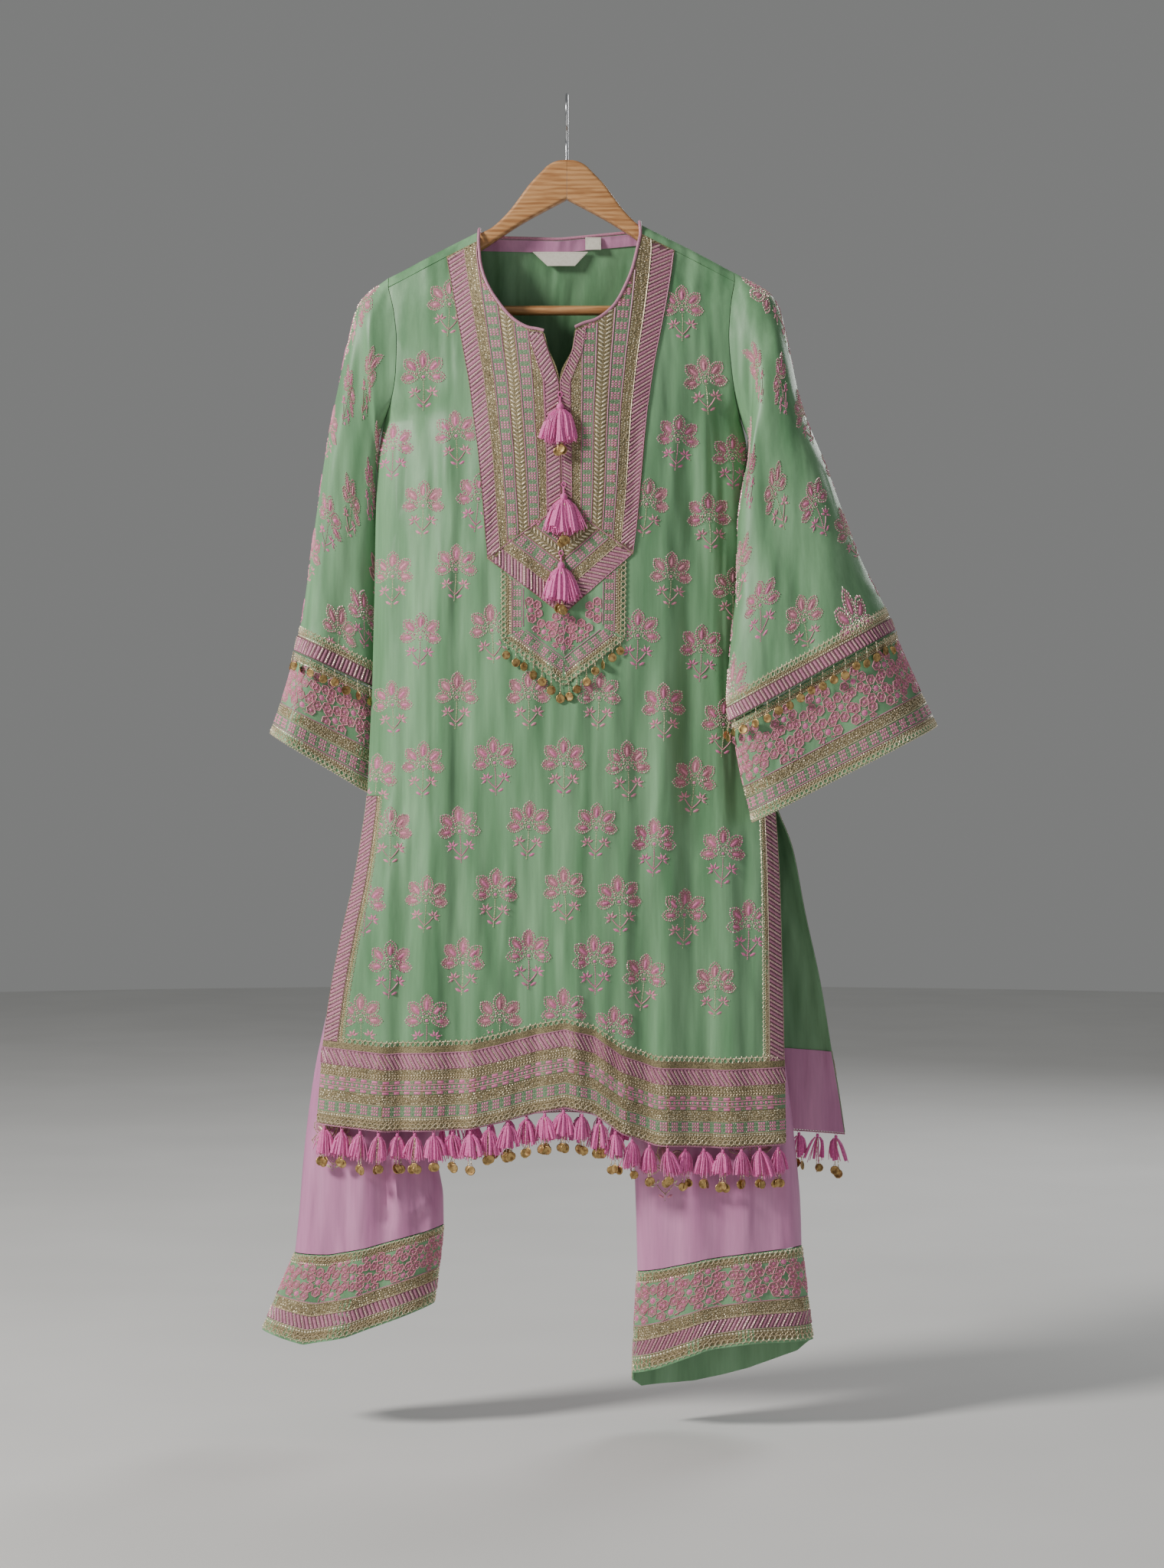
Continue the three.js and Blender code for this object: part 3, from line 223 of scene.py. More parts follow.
def steel_look():
    look = Look("hook_steel", Metallic=1.0, Roughness=0.24)
    wear = look.noise(500, 3, (1, 1, 0.2))
    look.feed("Base Color", look.ramp(wear, (0.3, (0.42, 0.43, 0.45)), (0.7, (0.62, 0.63, 0.65))))
    look.bump((wear, 0.08, 0.05))
    return look.material


def label_look():
    look = Look("label_weave", Roughness=0.8, Sheen_Weight=0.25)
    shade = look.noise(300, 3)
    look.feed("Base Color", look.ramp(shade, (0.3, (0.70, 0.66, 0.56)), (0.7, (0.80, 0.77, 0.68))))
    threads = look.math("ADD", look.bands("X", 0.5), look.bands("Z", 0.5))
    look.bump((threads, 0.35, 0.15), (shade, 0.2, 0.2))
    return look.material


def brass_look():
    look = Look("coin_brass", Metallic=0.9, Roughness=0.38)
    age = look.noise(260, 4)
    look.feed("Base Color", look.ramp(age, (0.34, (0.24, 0.13, 0.05)), (0.62, (0.62, 0.42, 0.17))))
    look.bump((age, 0.35, 0.2), (look.cells(900), 0.15, 0.1))
    return look.material


GREEN = cloth_look("green_silk", (0.110, 0.265, 0.122), (0.235, 0.450, 0.242), 0.46, 0.07)
PINK_SATIN = cloth_look("pink_satin", (0.54, 0.20, 0.39), (0.71, 0.31, 0.53), 0.34, 0.25, crumple=0.25)
FACING = cloth_look("pink_facing", (0.52, 0.20, 0.38), (0.68, 0.31, 0.51), 0.5, 0.2)
PINK = thread_look("pink_floss", (0.56, 0.16, 0.27), (0.86, 0.36, 0.46), sheen=0.2)
ROSE = thread_look("rose_floss", (0.54, 0.11, 0.28), (0.86, 0.27, 0.47), 0.45, sheen=0.2)
DUSKY = thread_look("dusky_floss", (0.30, 0.12, 0.15), (0.50, 0.22, 0.26), 0.7, sheen=0.1)
RIBBON = thread_look("gota_ribbon", (0.44, 0.15, 0.25), (0.68, 0.30, 0.42), 0.4, sheen=0.2)
SHADE = thread_look("ribbon_shade", (0.10, 0.035, 0.05), (0.19, 0.08, 0.10), 0.7, sheen=0.1)
LEAF = thread_look("green_floss", (0.10, 0.20, 0.10), (0.20, 0.33, 0.18), sheen=0.1)
GOLD = metal_thread_look("gold_thread", (0.36, 0.28, 0.17), (0.92, 0.78, 0.56), 0.38, 0.4)
PALE = metal_thread_look("pale_gold_thread", (0.50, 0.42, 0.27), (0.98, 0.88, 0.66), 0.34, 0.4)
DARK_GOLD = metal_thread_look("gold_ground", (0.12, 0.10, 0.05), (0.36, 0.29, 0.16), 0.6, 0.45)
PEARL = metal_thread_look("pearl_bead", (0.55, 0.44, 0.34), (0.98, 0.88, 0.74), 0.3, 0.35)
TASSEL = thread_look("tassel_floss", (0.60, 0.07, 0.31), (0.88, 0.20, 0.50), 0.5, 0.4, 0.3)
PIPING = thread_look("piping_satin", (0.42, 0.16, 0.26), (0.62, 0.29, 0.40), 0.4, 1.1, 0.2)
OAK = wood_look()
STEEL = steel_look()
LABEL = label_look()
BRASS = brass_look()


# Meshes

def make_piece(name, points, faces, materials, which=None, sharp=50):
    """One object from points in mm. which is the material's number for each face."""
    mesh = bpy.data.meshes.new(name)
    mesh.from_pydata(np.asarray(points, float) * MM, [], faces)
    for material in materials:
        mesh.materials.append(material)
    if which is not None:
        mesh.polygons.foreach_set("material_index", which)
    mesh.polygons.foreach_set("use_smooth", np.ones(len(mesh.polygons), bool))
    mesh.set_sharp_from_angle(angle=math.radians(sharp))
    mesh.update()
    piece = bpy.data.objects.new(name, mesh)
    bpy.context.scene.collection.objects.link(piece)
    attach(piece, "root")
    return piece


def glide(table, at):
    """Rows of numbers at whole positions joined by smooth curves that never overshoot."""
    table = np.asarray(table, float)
    step = np.diff(table, axis=0)
    same = step[1:] * step[:-1] > 0
    total = np.where(same, step[1:] + step[:-1], 1.0)
    inner = np.where(same, 2 * step[1:] * step[:-1] / total, 0.0)
    slope = np.concatenate([step[:1], inner, step[-1:]])
    at = np.clip(np.asarray(at, float), 0, len(table) - 1)
    low = np.minimum(at.astype(int), len(table) - 2)
    t = (at - low).reshape((-1,) + (1,) * (table.ndim - 1))
    a, b = table[low], table[low + 1]
    return (a * (1 + 2 * t) * (1 - t) ** 2 + slope[low] * t * (1 - t) ** 2
            + b * t * t * (3 - 2 * t) + slope[low + 1] * t * t * (t - 1))


def lerp(a, b, t):
    return a + (b - a) * t


def smooth(t):
    t = np.clip(t, 0, 1)
    return t * t * (3 - 2 * t)


def arc_lengths(line):
    """How far along a line each of its points lies."""
    return np.concatenate([[0], np.cumsum(np.linalg.norm(np.diff(line, axis=0), axis=1))])


def points_at(line, lengths, at):
    """Points at distances along a line, given the distances of its own points."""
    return np.stack([np.interp(at, lengths, line[:, i]) for i in range(line.shape[1])], axis=-1)


def halves(a, b, c, d):
    """Both triangles of each cell with these corners."""
    return np.concatenate([np.stack([a, b, c], -1).reshape(-1, 3), np.stack([a, c, d], -1).reshape(-1, 3)])


class Cloth:
    """A grid of points on the outside of a cloth, in mm, and the solid shells made from it."""

    def __init__(self, grid, keep=None, weld=None, closed=False, flip=False):
        rows, columns = grid.shape[:2]
        ids = np.arange(rows * columns).reshape(rows, columns)
        if weld is not None:
            ids[weld[0]:, weld[1] + 1] = ids[weld[0]:, weld[1]]
        if closed:
            ids = np.hstack([ids, ids[:, :1]])
        self.ids = ids
        self.closed = closed
        self.points = grid.reshape(-1, 3)
        self.flip = flip
        self.cells = np.ones((rows - 1, ids.shape[1] - 1), bool) if keep is None else keep
        quads = self.quads(self.cells)
        a, b, c, d = self.points[quads].transpose(1, 0, 2)
        face = np.cross(c - a, d - b)
        sums = np.zeros_like(self.points)
        for corner in quads.T:
            np.add.at(sums, corner, face)
        self.normals = sums / np.maximum(np.linalg.norm(sums, axis=1, keepdims=True), 1e-9)

    def quads(self, cells):
        ids = self.ids
        corners = np.stack([ids[:-1, :-1], ids[1:, :-1], ids[1:, 1:], ids[:-1, 1:]], axis=-1)
        corners = corners[cells]
        return corners[:, ::-1] if self.flip else corners

    def shell(self, out, wall, cells=None):
        """Points and quads of a closed solid between out and out - wall from the grid."""
        quads = self.quads(self.cells if cells is None else cells & self.cells)
        edges = np.concatenate([quads[:, [i, (i + 1) % 4]] for i in range(4)])
        size = len(self.points)
        key = edges[:, 0] * size + edges[:, 1]
        rim = edges[~np.isin(key, edges[:, 1] * size + edges[:, 0])]
        used, back = np.unique(quads, return_inverse=True)
        number = np.full(size, -1)
        number[used] = np.arange(len(used))
        count = len(used)
        outer = self.points[used] + self.normals[used] * out
        inner = self.points[used] + self.normals[used] * (out - wall)
        quads, rim = number[quads], number[rim]
        sides = np.stack([rim[:, 1], rim[:, 0], rim[:, 0] + count, rim[:, 1] + count], axis=-1)
        faces = np.concatenate([quads, quads[:, ::-1] + count, sides])
        return np.concatenate([outer, inner]), faces

    def area(self):
        a, b, c, d = self.points[self.quads(self.cells)].transpose(1, 0, 2)
        return np.linalg.norm(np.cross(c - a, d - b), axis=1).sum() / 2 * MM * MM

    def at(self, row, column, lift):
        """Points over the cloth at fractions of its rows and columns."""
        rows, columns = self.ids.shape
        if self.closed:
            column = column % (columns - 1)
        row = np.clip(row, 0, rows - 1.0001)
        column = np.clip(column, 0, columns - 1.0001)
        r, c = row.astype(int), column.astype(int)
        fr, fc = (row - r)[..., None], (column - c)[..., None]

        def blend(values):
            top = lerp(values[self.ids[r, c]], values[self.ids[r, c + 1]], fc)
            return lerp(top, lerp(values[self.ids[r + 1, c]], values[self.ids[r + 1, c + 1]], fc), fr)

        return blend(self.points) + blend(self.normals) * lift[..., None]


class Field:
    """The front (or back) face of some cloth as a depth for each x and z, carried on a little past its edges."""
    STEP, MARGIN, CARRIED = 2.0, 12, 12  # mm between samples, mm round the cloth, and samples past its edge

    def __init__(self, cloths, sign):
        points, quads, start = [], [], 0
        for cloth in cloths:
            points.append(cloth.points)
            quads.append(cloth.quads(cloth.cells) + start)
            start += len(cloth.points)
        points = np.concatenate(points)
        tree = BVHTree.FromPolygons(points.tolist(), np.concatenate(quads).tolist())
        low, high = points.min(0) - self.MARGIN, points.max(0) + self.MARGIN
        self.x0, self.z0 = low[0], low[2]
        nx, nz = int((high[0] - low[0]) / self.STEP) + 2, int((high[2] - low[2]) / self.STEP) + 2
        way, far = Vector((0, -sign, 0)), 400 * sign
        depth = np.full((nx, nz), np.nan)
        for i in range(nx):
            for k in range(nz):
                hit = tree.ray_cast(Vector((self.x0 + i * self.STEP, far, self.z0 + k * self.STEP)), way)[0]
                if hit:
                    depth[i, k] = hit.y
        self.found = ~np.isnan(depth)
        for _ in range(self.CARRIED):
            padded = np.pad(depth, 1, constant_values=np.nan)
            near = np.stack([padded[:-2, 1:-1], padded[2:, 1:-1], padded[1:-1, :-2], padded[1:-1, 2:]])
            known = ~np.isnan(near)
            mean = np.where(known, near, 0).sum(0) / np.maximum(known.sum(0), 1)
            fill = np.isnan(depth) & known.any(0)
            depth[fill] = mean[fill]
        depth = np.where(np.isnan(depth), 0, depth)
        dx, dz = np.gradient(depth, self.STEP)
        normal = np.stack([-dx * sign, np.full_like(dx, sign), -dz * sign], axis=-1)
        normal /= np.linalg.norm(normal, axis=-1, keepdims=True)
        self.values = np.concatenate([depth[..., None], normal], axis=-1)
        self.sign = sign

    def look_up(self, values, x, z):
        fx = np.clip((x - self.x0) / self.STEP, 0, values.shape[0] - 1.001)
        fz = np.clip((z - self.z0) / self.STEP, 0, values.shape[1] - 1.001)
        i, k = fx.astype(int), fz.astype(int)
        fx, fz = (fx - i)[..., None], (fz - k)[..., None]
        low = lerp(values[i, k], values[i + 1, k], fx)
        return lerp(low, lerp(values[i, k + 1], values[i + 1, k + 1], fx), fz)

    def at(self, x, z, lift):
        value = self.look_up(self.values, x, z)
        flat = np.stack([x, value[..., 0], z], axis=-1)
        return flat + value[..., 1:] * lift[..., None]

    def inside(self, x, z):
        return self.look_up(self.found[..., None].astype(float), x, z)[..., 0] > 0.6


class Strip:
    """A band between two lines on a surface, measured in mm along (s) and across (w) it."""

    def __init__(self, surface, first, second, closed=False):
        first, second = np.asarray(first, float), np.asarray(second, float)
        self.surface = surface
        zero = np.zeros(len(first))
        a = surface.at(first[:, 0], first[:, 1], zero)
        b = surface.at(second[:, 0], second[:, 1], zero)
        self.s = arc_lengths((a + b) / 2)
        self.length = self.s[-1]
        self.width = float(np.median(np.linalg.norm(a - b, axis=1)))
        self.first, self.second = first, second
        self.closed = closed
        probe = np.array([self.length / 2, self.length / 2 + 1, self.length / 2])
        p = self.at(probe, np.array([1.0, 1.0, 2.0]), np.zeros(3))
        up = self.at(probe[:1], np.array([1.0]), np.array([1.0]))[0] - p[0]
        self.mirrored = float(np.dot(np.cross(p[1] - p[0], p[2] - p[0]), up)) < 0

    def spot(self, s, w):
        s = s % self.length if self.closed else s
        first, second = points_at(self.first, self.s, s), points_at(self.second, self.s, s)
        return lerp(first, second, (w / self.width)[..., None])

    def at(self, s, w, lift):
        spot = self.spot(s, w)
        return self.surface.at(spot[..., 0], spot[..., 1], lift)


class Motif:
    """Small raised shapes in the plane of a surface: x along, y across, z out of it, in mm."""

    def __init__(self):
        self.parts = {}

    def add(self, look, points, triangles):
        kept = self.parts.setdefault(look, [[], [], 0])
        kept[0].append(np.asarray(points, float))
        kept[1].append(np.asarray(triangles, int) + kept[2])
        kept[2] += len(points)

    def pillow(self, look, outline, height, base=0.0, inset=0.6):
        outline = np.asarray(outline, float)
        n = len(outline)
        middle = outline.mean(0)
        inner = middle + (outline - middle) * inset
        points = np.concatenate([
            np.column_stack([outline, np.full(n, base)]),
            np.column_stack([inner, np.full(n, base + 0.8 * height)]),
            [[*middle, base + height]]])
        i = np.arange(n)
        j = (i + 1) % n
        triangles = np.concatenate([np.column_stack([i, j, j + n]), np.column_stack([i, j + n, i + n]),
                                    np.column_stack([i + n, j + n, np.full(n, 2 * n)])])
        self.add(look, points, triangles)

    def bead(self, look, x, y, radius, height=None, sides=5, base=0.0):
        a = np.arange(sides) / sides * 2 * np.pi
        rim = np.column_stack([x + radius * np.cos(a), y + radius * np.sin(a), np.full(sides, base)])
        i = np.arange(sides)
        self.add(look, np.vstack([rim, [[x, y, base + (height or radius)]]]),
                 np.column_stack([i, (i + 1) % sides, np.full(sides, sides)]))

    def cord(self, look, path, width, height, base=0.0, closed=False):
        path = np.asarray(path, float)
        ahead = np.roll(path, -1, 0) if closed else np.vstack([path[1:], path[-1:]])
        behind = np.roll(path, 1, 0) if closed else np.vstack([path[:1], path[:-1]])
        way = ahead - behind
        way /= np.maximum(np.linalg.norm(way, axis=1, keepdims=True), 1e-9)
        side = np.column_stack([-way[:, 1], way[:, 0]]) * width / 2
        n = len(path)
        flat = np.full(n, base)
        points = np.concatenate([np.column_stack([path - side, flat]),
                                 np.column_stack([path, flat + height]),
                                 np.column_stack([path + side, flat])])
        i = np.arange(n if closed else n - 1)
        j = (i + 1) % n
        triangles = []
        for low in (0, n):
            triangles += [np.column_stack([i + low, j + low, j + low + n]),
                          np.column_stack([i + low, j + low + n, i + low + n])]
        self.add(look, points, np.concatenate(triangles))

    def beads_along(self, look, path, pitch, radius, height=None, sides=4, base=0.0):
        for x, y in along_path(path, pitch):
            self.bead(look, x, y, radius, height, sides, base)

    def done(self):
        return [(look, np.concatenate(p), np.concatenate(t)) for look, (p, t, _) in self.parts.items()]


def along_path(path, pitch):
    """Points spaced evenly along a path, about a pitch apart."""
    path = np.asarray(path, float)
    lengths = arc_lengths(path)
    count = max(1, round(lengths[-1] / pitch))
    return points_at(path, lengths, (np.arange(count) + 0.5) / count * lengths[-1])


class Work:
    """Embroidery, beads and threads of one piece, as triangles for each material."""

    def __init__(self):
        self.points, self.faces, self.looks, self.which, self.count = [], [], [], [], 0

    def add(self, look, points, triangles):
        if look not in self.looks:
            self.looks.append(look)
        self.points.append(points)
        self.faces.append(triangles + self.count)
        self.which.append(np.full(len(triangles), self.looks.index(look)))
        self.count += len(points)

    def stamp(self, motif, surface, u, v, turn=0.0, size=1.0, lift=0.0, keep=None):
        u, v, turn, size = [np.atleast_1d(np.asarray(a, float)) for a in (u, v, turn, size)]
        u, v, turn, size = np.broadcast_arrays(u, v, turn, size)
        if not len(u):
            return
        mirrored = getattr(surface, "mirrored", getattr(surface, "sign", -1) > 0)
        cos, sin = (np.cos(turn) * size)[:, None], (np.sin(turn) * size)[:, None]
        for look, points, triangles in motif:
            x, y, z = points.T
            at_u = u[:, None] + x * cos - y * sin
            at_v = v[:, None] + x * sin + y * cos
            placed = surface.at(at_u, at_v, lift + z * size[:, None])
            faces = triangles[None] + (np.arange(len(u)) * len(points))[:, None, None]
            if keep is not None:
                fine = keep(at_u, at_v)
                faces = faces[fine[:, triangles].all(-1)]
            faces = faces.reshape(-1, 3)
            if mirrored:
                faces = faces[:, ::-1]
            self.add_used(look, placed.reshape(-1, 3), faces)

    def add_used(self, look, points, faces):
        if not len(faces):
            return
        used, back = np.unique(faces, return_inverse=True)
        self.add(look, points[used], back.reshape(-1, 3))

    def piece(self, name, replaces=(), slot=None, sharp=70):
        made = make_piece(name, np.concatenate(self.points), np.concatenate(self.faces), self.looks,
                          np.concatenate(self.which), sharp)
        if replaces:
            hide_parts(*replaces)
        return made


# The garment's lines, the same numbers as the source's, in mm

CLOTH_WALL, TRIM_WALL, SEAM, TRIM_GAP = 1.2, 0.8, 0.3, 0.4
ON_TRIM = TRIM_GAP + TRIM_WALL  # height of a sewn-on ground over its cloth
RIDGE = np.array([(84, -145.5), (101, -154), (120, -163.5), (140, -173.5),
                  (160, -184), (182, -196), (201, -205.5), (218, -214.5)])
FRONT_LEFT = np.array([
    (-200, -217.5, -135, -183, -101, -166), (-193, -248, -128, -222, -98.5, -192),
    (-190, -280, -121, -260, -91, -216), (-191, -313, -114.5, -296, -78, -238),
    (-196, -343, -109, -326, -60, -259), (-207, -372, -105.5, -352, -43, -269),
    (-211, -396, -102, -378, -26, -273), (-213, -418, -98.5, -404, -20, -292),
    (-214, -444, -96, -432, -8, -328), (-215.5, -482, -93, -464, -6, -412),
    (-216, -525, -90.5, -495, -5, -500), (-217, -572, -88, -524.5, -4.3, -588),
    (-218, -614, -87.5, -567, -3.5, -627), (-219, -657, -87, -610.5, -2.6, -666),
    (-221, -700, -88, -682, -2, -712), (-223, -745, -90, -736, -2, -755),
    (-225, -788, -92, -787, -2, -797), (-231, -836, -95, -836, -2, -842),
    (-240, -888, -98, -888, -2, -891), (-253, -946, -101, -946, -2, -946),
    (-264, -1006, -105, -1006, -2, -1006), (-271.5, -1063, -108, -1063, -2, -1063),
    (-275, -1109, -110, -1109, -2, -1109), (-278.5, -1155, -112, -1155, -2, -1155)], float)
FRONT_RIGHT = np.array([
    (188, -211, 121, -176, 84.5, -158), (183, -241, 117, -205, 80, -180),
    (181, -275, 112, -235, 75, -200), (184, -312, 105.5, -268, 66, -222),
    (189, -343, 99, -300, 54, -243), (198, -372, 94, -330, 33, -260),
    (203, -396, 90, -358, 10, -269), (206, -418, 87, -390, 6, -292),
    (209, -444, 84.5, -422, -8, -328), (211, -482, 81.5, -456, -6, -412),
    (213, -525, 78, -488, -5, -500), (214, -572, 74, -519, -4.3, -588),
    (216, -614, 75, -562, -3.5, -627), (219, -657, 76, -606, -2.6, -666),
    (223, -700, 77, -680, -2, -712), (228, -745, 78, -735, -2, -755),
    (233, -788, 79, -787, -2, -797), (236.5, -836, 80, -836, -2, -842),
    (239, -888, 81, -888, -2, -891), (240.5, -946, 82, -946, -2, -946),
    (242, -1006, 83, -1006, -2, -1006), (243, -1063, 84, -1063, -2, -1063),
    (243.5, -1109, 84, -1109, -2, -1109), (244, -1155, 84, -1155, -2, -1155)], float)
FRONTS = {LEFT: FRONT_LEFT, RIGHT: FRONT_RIGHT}
FRONT_DEPTH = np.array([13.5, 24, 32, 38, 43, 46, 48, 50, 52, 53, 54, 55, 55, 56, 56, 57, 57,
                        58, 59, 60, 61, 61, 62, 62], float)
FRONT_EDGE = np.array([13.5, 22, 27, 27, 20] + [0] * 12 + [7, 13, 18, 22, 25, 27, 28], float)
FRONT_HEM = np.array([0] * 17 + [0.12, 0.3, 0.55, 0.8, 1, 1, 1], float)
ARMPIT_ROW, NOTCH_ROW, YOKE_ROW, BIB_ROW, SLIT_ROW, BORDER_ROW, HEM_ROW = 5, 8, 11, 13, 16, 21, 23
FRONT_HEM_WAVE = np.array([(-278, 3), (-200, -4), (-111, -1), (-78, 6), (-34, 17.5), (-1, 24),
                           (31, 16), (61, -5), (99, -18.5), (174, -22), (244, -20)])
BACK_HEM_WAVE = np.array([(-240, 5), (-100, 0), (0, 8), (90, 4), (200, -10), (311, -16)])
BACK_Z = np.array([
    (-209, -157.5, -160, -151, -201), (-222, -170.5, -172.5, -164, -215),
    (-248, -207, -210, -204, -241), (-280, -252, -255, -250, -275), (-313, -294, -298, -294, -312),
    (-343, -332, -335, -332, -343), (-372, -370, -371, -370, -372)]
    + [(z,) * 5 for z in (-418, -482, -546, -610, -670, -730, -788, -845, -915, -990, -1063, -1109, -1155)],
    float)
BACK_X = np.array([
    (-200, -101, -8, 84.5, 188), (-199, -101, -8, 84.5, 187.5), (-193, -101, -8, 84.5, 183),
    (-190, -101, -8, 85, 181), (-191, -101, -8, 85, 184), (-196, -101, -8, 86, 189),
    (-207, -101, -6, 86, 198), (-213, -102, -5, 88, 206), (-215.5, -104, -4, 90, 211),
    (-216.5, -105, -3, 92, 213.5), (-218, -106, -2, 94, 216), (-219.5, -107, -1, 97, 220),
    (-222, -108, 0, 100, 226), (-225, -109, 2, 104, 233), (-227, -110, 7, 112, 255),
    (-230, -111, 13, 120, 270), (-234, -112, 20, 130, 288), (-238, -113, 26, 138, 301),
    (-240, -114, 30, 142, 309), (-242, -115, 34, 146, 316)], float)
BACK_DEPTH = np.array([13, 17, 25, 31, 35, 38, 40, 42, 44, 46, 47, 48, 48, 48, 49, 50, 51, 52, 52, 52], float)
BACK_EDGE = np.array([9.5, 13.5, 21, 25, 25, 18] + [0] * 8 + [9, 17, 23, 27, 29, 30], float)
BACK_HEM = np.array([0] * 14 + [0.15, 0.4, 0.75, 1, 1, 1], float)
BACK_SLIT, BACK_BORDER, BACK_LAST = 13, 17, 19
WRAP = [(-13.5, 11.4), (-9.5, 3.5), (-4.5, 0), (4.5, 0)]  # y, and the drop below the ridge

# Folds: x and z of the upper end, of the lower end, width, depth. A depth below 0 is a ridge.
FRONT_FOLDS = [
    (-172, -600, -184, -1150, 34, 6), (-112, -470, -122, -1150, 40, 8), (-30, -690, -38, -1150, 62, 9),
    (28, -690, 30, -1150, 26, 4), (84, -540, 88, -1150, 40, 8), (135, -420, 154, -1150, 44, 8),
    (188, -660, 206, -1150, 30, 5)]
FRONT_CREASES = [
    (-103, -560, -106, -1100, 17, -3.2), (-80, -600, -84, -1120, 34, 3.5), (-133, -640, -130, -1120, 13, 2.2),
    (-149, -420, -150, -900, 22, -1.8), (-28, -680, -20, -1120, 20, -2.4), (-58, -720, -56, -1100, 14, 1.6),
    (54, -700, 50, -1120, 18, 2.4), (66, -690, 66, -1060, 10, -1.6), (101, -470, 104, -900, 14, -2.2),
    (130, -640, 128, -1060, 22, 3), (157, -560, 160, -1000, 12, 1.6), (178, -480, 178, -1000, 16, -1.8),
    (-192, -640, -205, -1100, 16, -2), (-230, -880, -238, -1150, 14, 2), (10, -720, 12, -1100, 12, -1.3),
    (-165, -245, -150, -440, 18, 2.6), (-182, -262, -184, -470, 12, 2.2), (-148, -230, -128, -520, 11, -1.6),
    (150, -230, 136, -420, 18, 2.6), (170, -250, 176, -450, 13, 2.4), (134, -215, 112, -470, 10, -1.5)]
BACK_FOLDS = [
    (-150, -420, -160, -1150, 50, 7), (-70, -520, -76, -1150, 46, 8), (10, -380, 16, -1150, 56, 8),
    (80, -560, 108, -1150, 44, 7), (150, -440, 210, -1150, 50, 8)]
BACK_CREASES = [
    (-186, -500, -196, -1120, 18, 2.6), (-112, -430, -116, -1100, 16, -2.4), (-34, -420, -30, -1100, 18, -2.6),
    (44, -480, 58, -1120, 18, 2.4), (116, -460, 150, -1120, 18, -2.4), (182, -520, 250, -1120, 18, 2.6),
    (-150, -230, -140, -460, 16, 2.2), (140, -225, 128, -460, 16, 2.2), (-20, -260, -10, -600, 22, 1.6)]
PUCKERS = [(31, 0.35, 0.9), (17, 1.9, 0.5), (47, 4.1, 0.8)]  # wavelength across, phase, height


def fold_depth(folds, x, z):
    total = np.zeros(np.broadcast(x, z).shape)
    for top_x, top_z, low_x, low_z, width, depth in folds:
        t = (top_z - z) / (top_z - low_z)
        across = (x - lerp(top_x, low_x, np.minimum(t, 1))) / (width / 2)
        total += depth * np.exp(-across * across) * smooth(t * 1.8) * (t > 0)
    return total


def puckers(x, z, top, low):
    """Small lengthwise ripples that fade out at both ends."""
    total = 0.0
    for pitch, phase, height in PUCKERS:
        drift = 0.35 * np.sin(z / 83 + phase) + 0.2 * np.sin(z / 37 + 2 * phase)
        total = total + height * np.sin(2 * np.pi * (x / pitch + phase + drift))
    swell = 0.6 + 0.4 * np.sin(z / 61 + x / 45)
    return total * swell * smooth((top - z) / 120) * smooth((z - low) / 60)


def fullness(u):
    return (1 - np.minimum(1, np.abs(u)) ** 2.4) ** 0.62


def front_grid(v, side, a):
    """Front panel: v counts the rows, a goes from the side edge (0) over the yoke line (1) to the middle (2)."""
    sx, sz, yx, yz, cx, cz = [column[:, None] for column in FRONTS[side].T]
    t1, t2 = np.clip(a, 0, 1)[None], np.clip(np.asarray(a) - 1, 0, 1)[None]
    x = sx + (yx - sx) * t1 + (cx - yx) * t2
    z = sz + (yz - sz) * t1 + (cz - yz) * t2
    z = z + FRONT_HEM[:, None] * np.interp(x, *FRONT_HEM_WAVE.T)
    low, high = FRONT_LEFT[:, :1], FRONT_RIGHT[:, :1]
    full = fullness((2 * x - low - high) / (high - low))
    y = -lerp(FRONT_EDGE[:, None], FRONT_DEPTH[:, None], full)
    x, y, z, full = np.moveaxis(glide(np.stack([x, y, z, full], axis=-1), v), -1, 0)
    fade = np.minimum(1, full * 1.4)
    y = y + (fold_depth(FRONT_FOLDS, x, z) + fold_depth(FRONT_CREASES, x, z)) * fade
    y = y + puckers(x, z, -300, -1130) * fade
    return np.stack([x, np.minimum(y, -SEAM / 2), z], axis=-1)


def back_rows(c):
    """Points of the back panel's rows at places c from 0 (left edge) to 4 (right edge)."""
    guides = np.arange(5)
    x = np.stack([np.interp(c, guides, row) for row in BACK_X])
    z = np.stack([np.interp(c, guides, row) for row in BACK_Z])
    z = z + BACK_HEM[:, None] * np.interp(x, *BACK_HEM_WAVE.T)
    low, high = BACK_X[:, :1], BACK_X[:, -1:]
    full = fullness((2 * x - low - high) / (high - low))
    y = lerp(BACK_EDGE[:, None], BACK_DEPTH[:, None], full)
    rows = np.stack([x, y, z, full], axis=-1)
    top = rows[0]
    height = np.interp(np.abs(top[:, 0]), *RIDGE.T)
    wraps = [np.stack([top[:, 0], np.full(len(c), y), height - drop, top[:, 3]], axis=-1) for y, drop in WRAP]
    return np.concatenate([np.stack(wraps), rows])


def back_grid(v, c):
    """Back panel: v from -4 (shoulder seam) over 0 (back neckline) to 19 (hem)."""
    x, y, z, full = np.moveaxis(glide(back_rows(np.asarray(c, float)), np.asarray(v) + len(WRAP)), -1, 0)
    fade = np.minimum(1, full * 1.4) * (np.asarray(v)[:, None] > 0)
    y = y - (fold_depth(BACK_FOLDS, x, z) + fold_depth(BACK_CREASES, x, z)) * fade
    y = y - puckers(x + 40, z, -260, -1130) * fade
    over = np.asarray(v)[:, None] >= 0
    return np.stack([x, np.where(over, np.maximum(y, SEAM / 2), y), z], axis=-1)


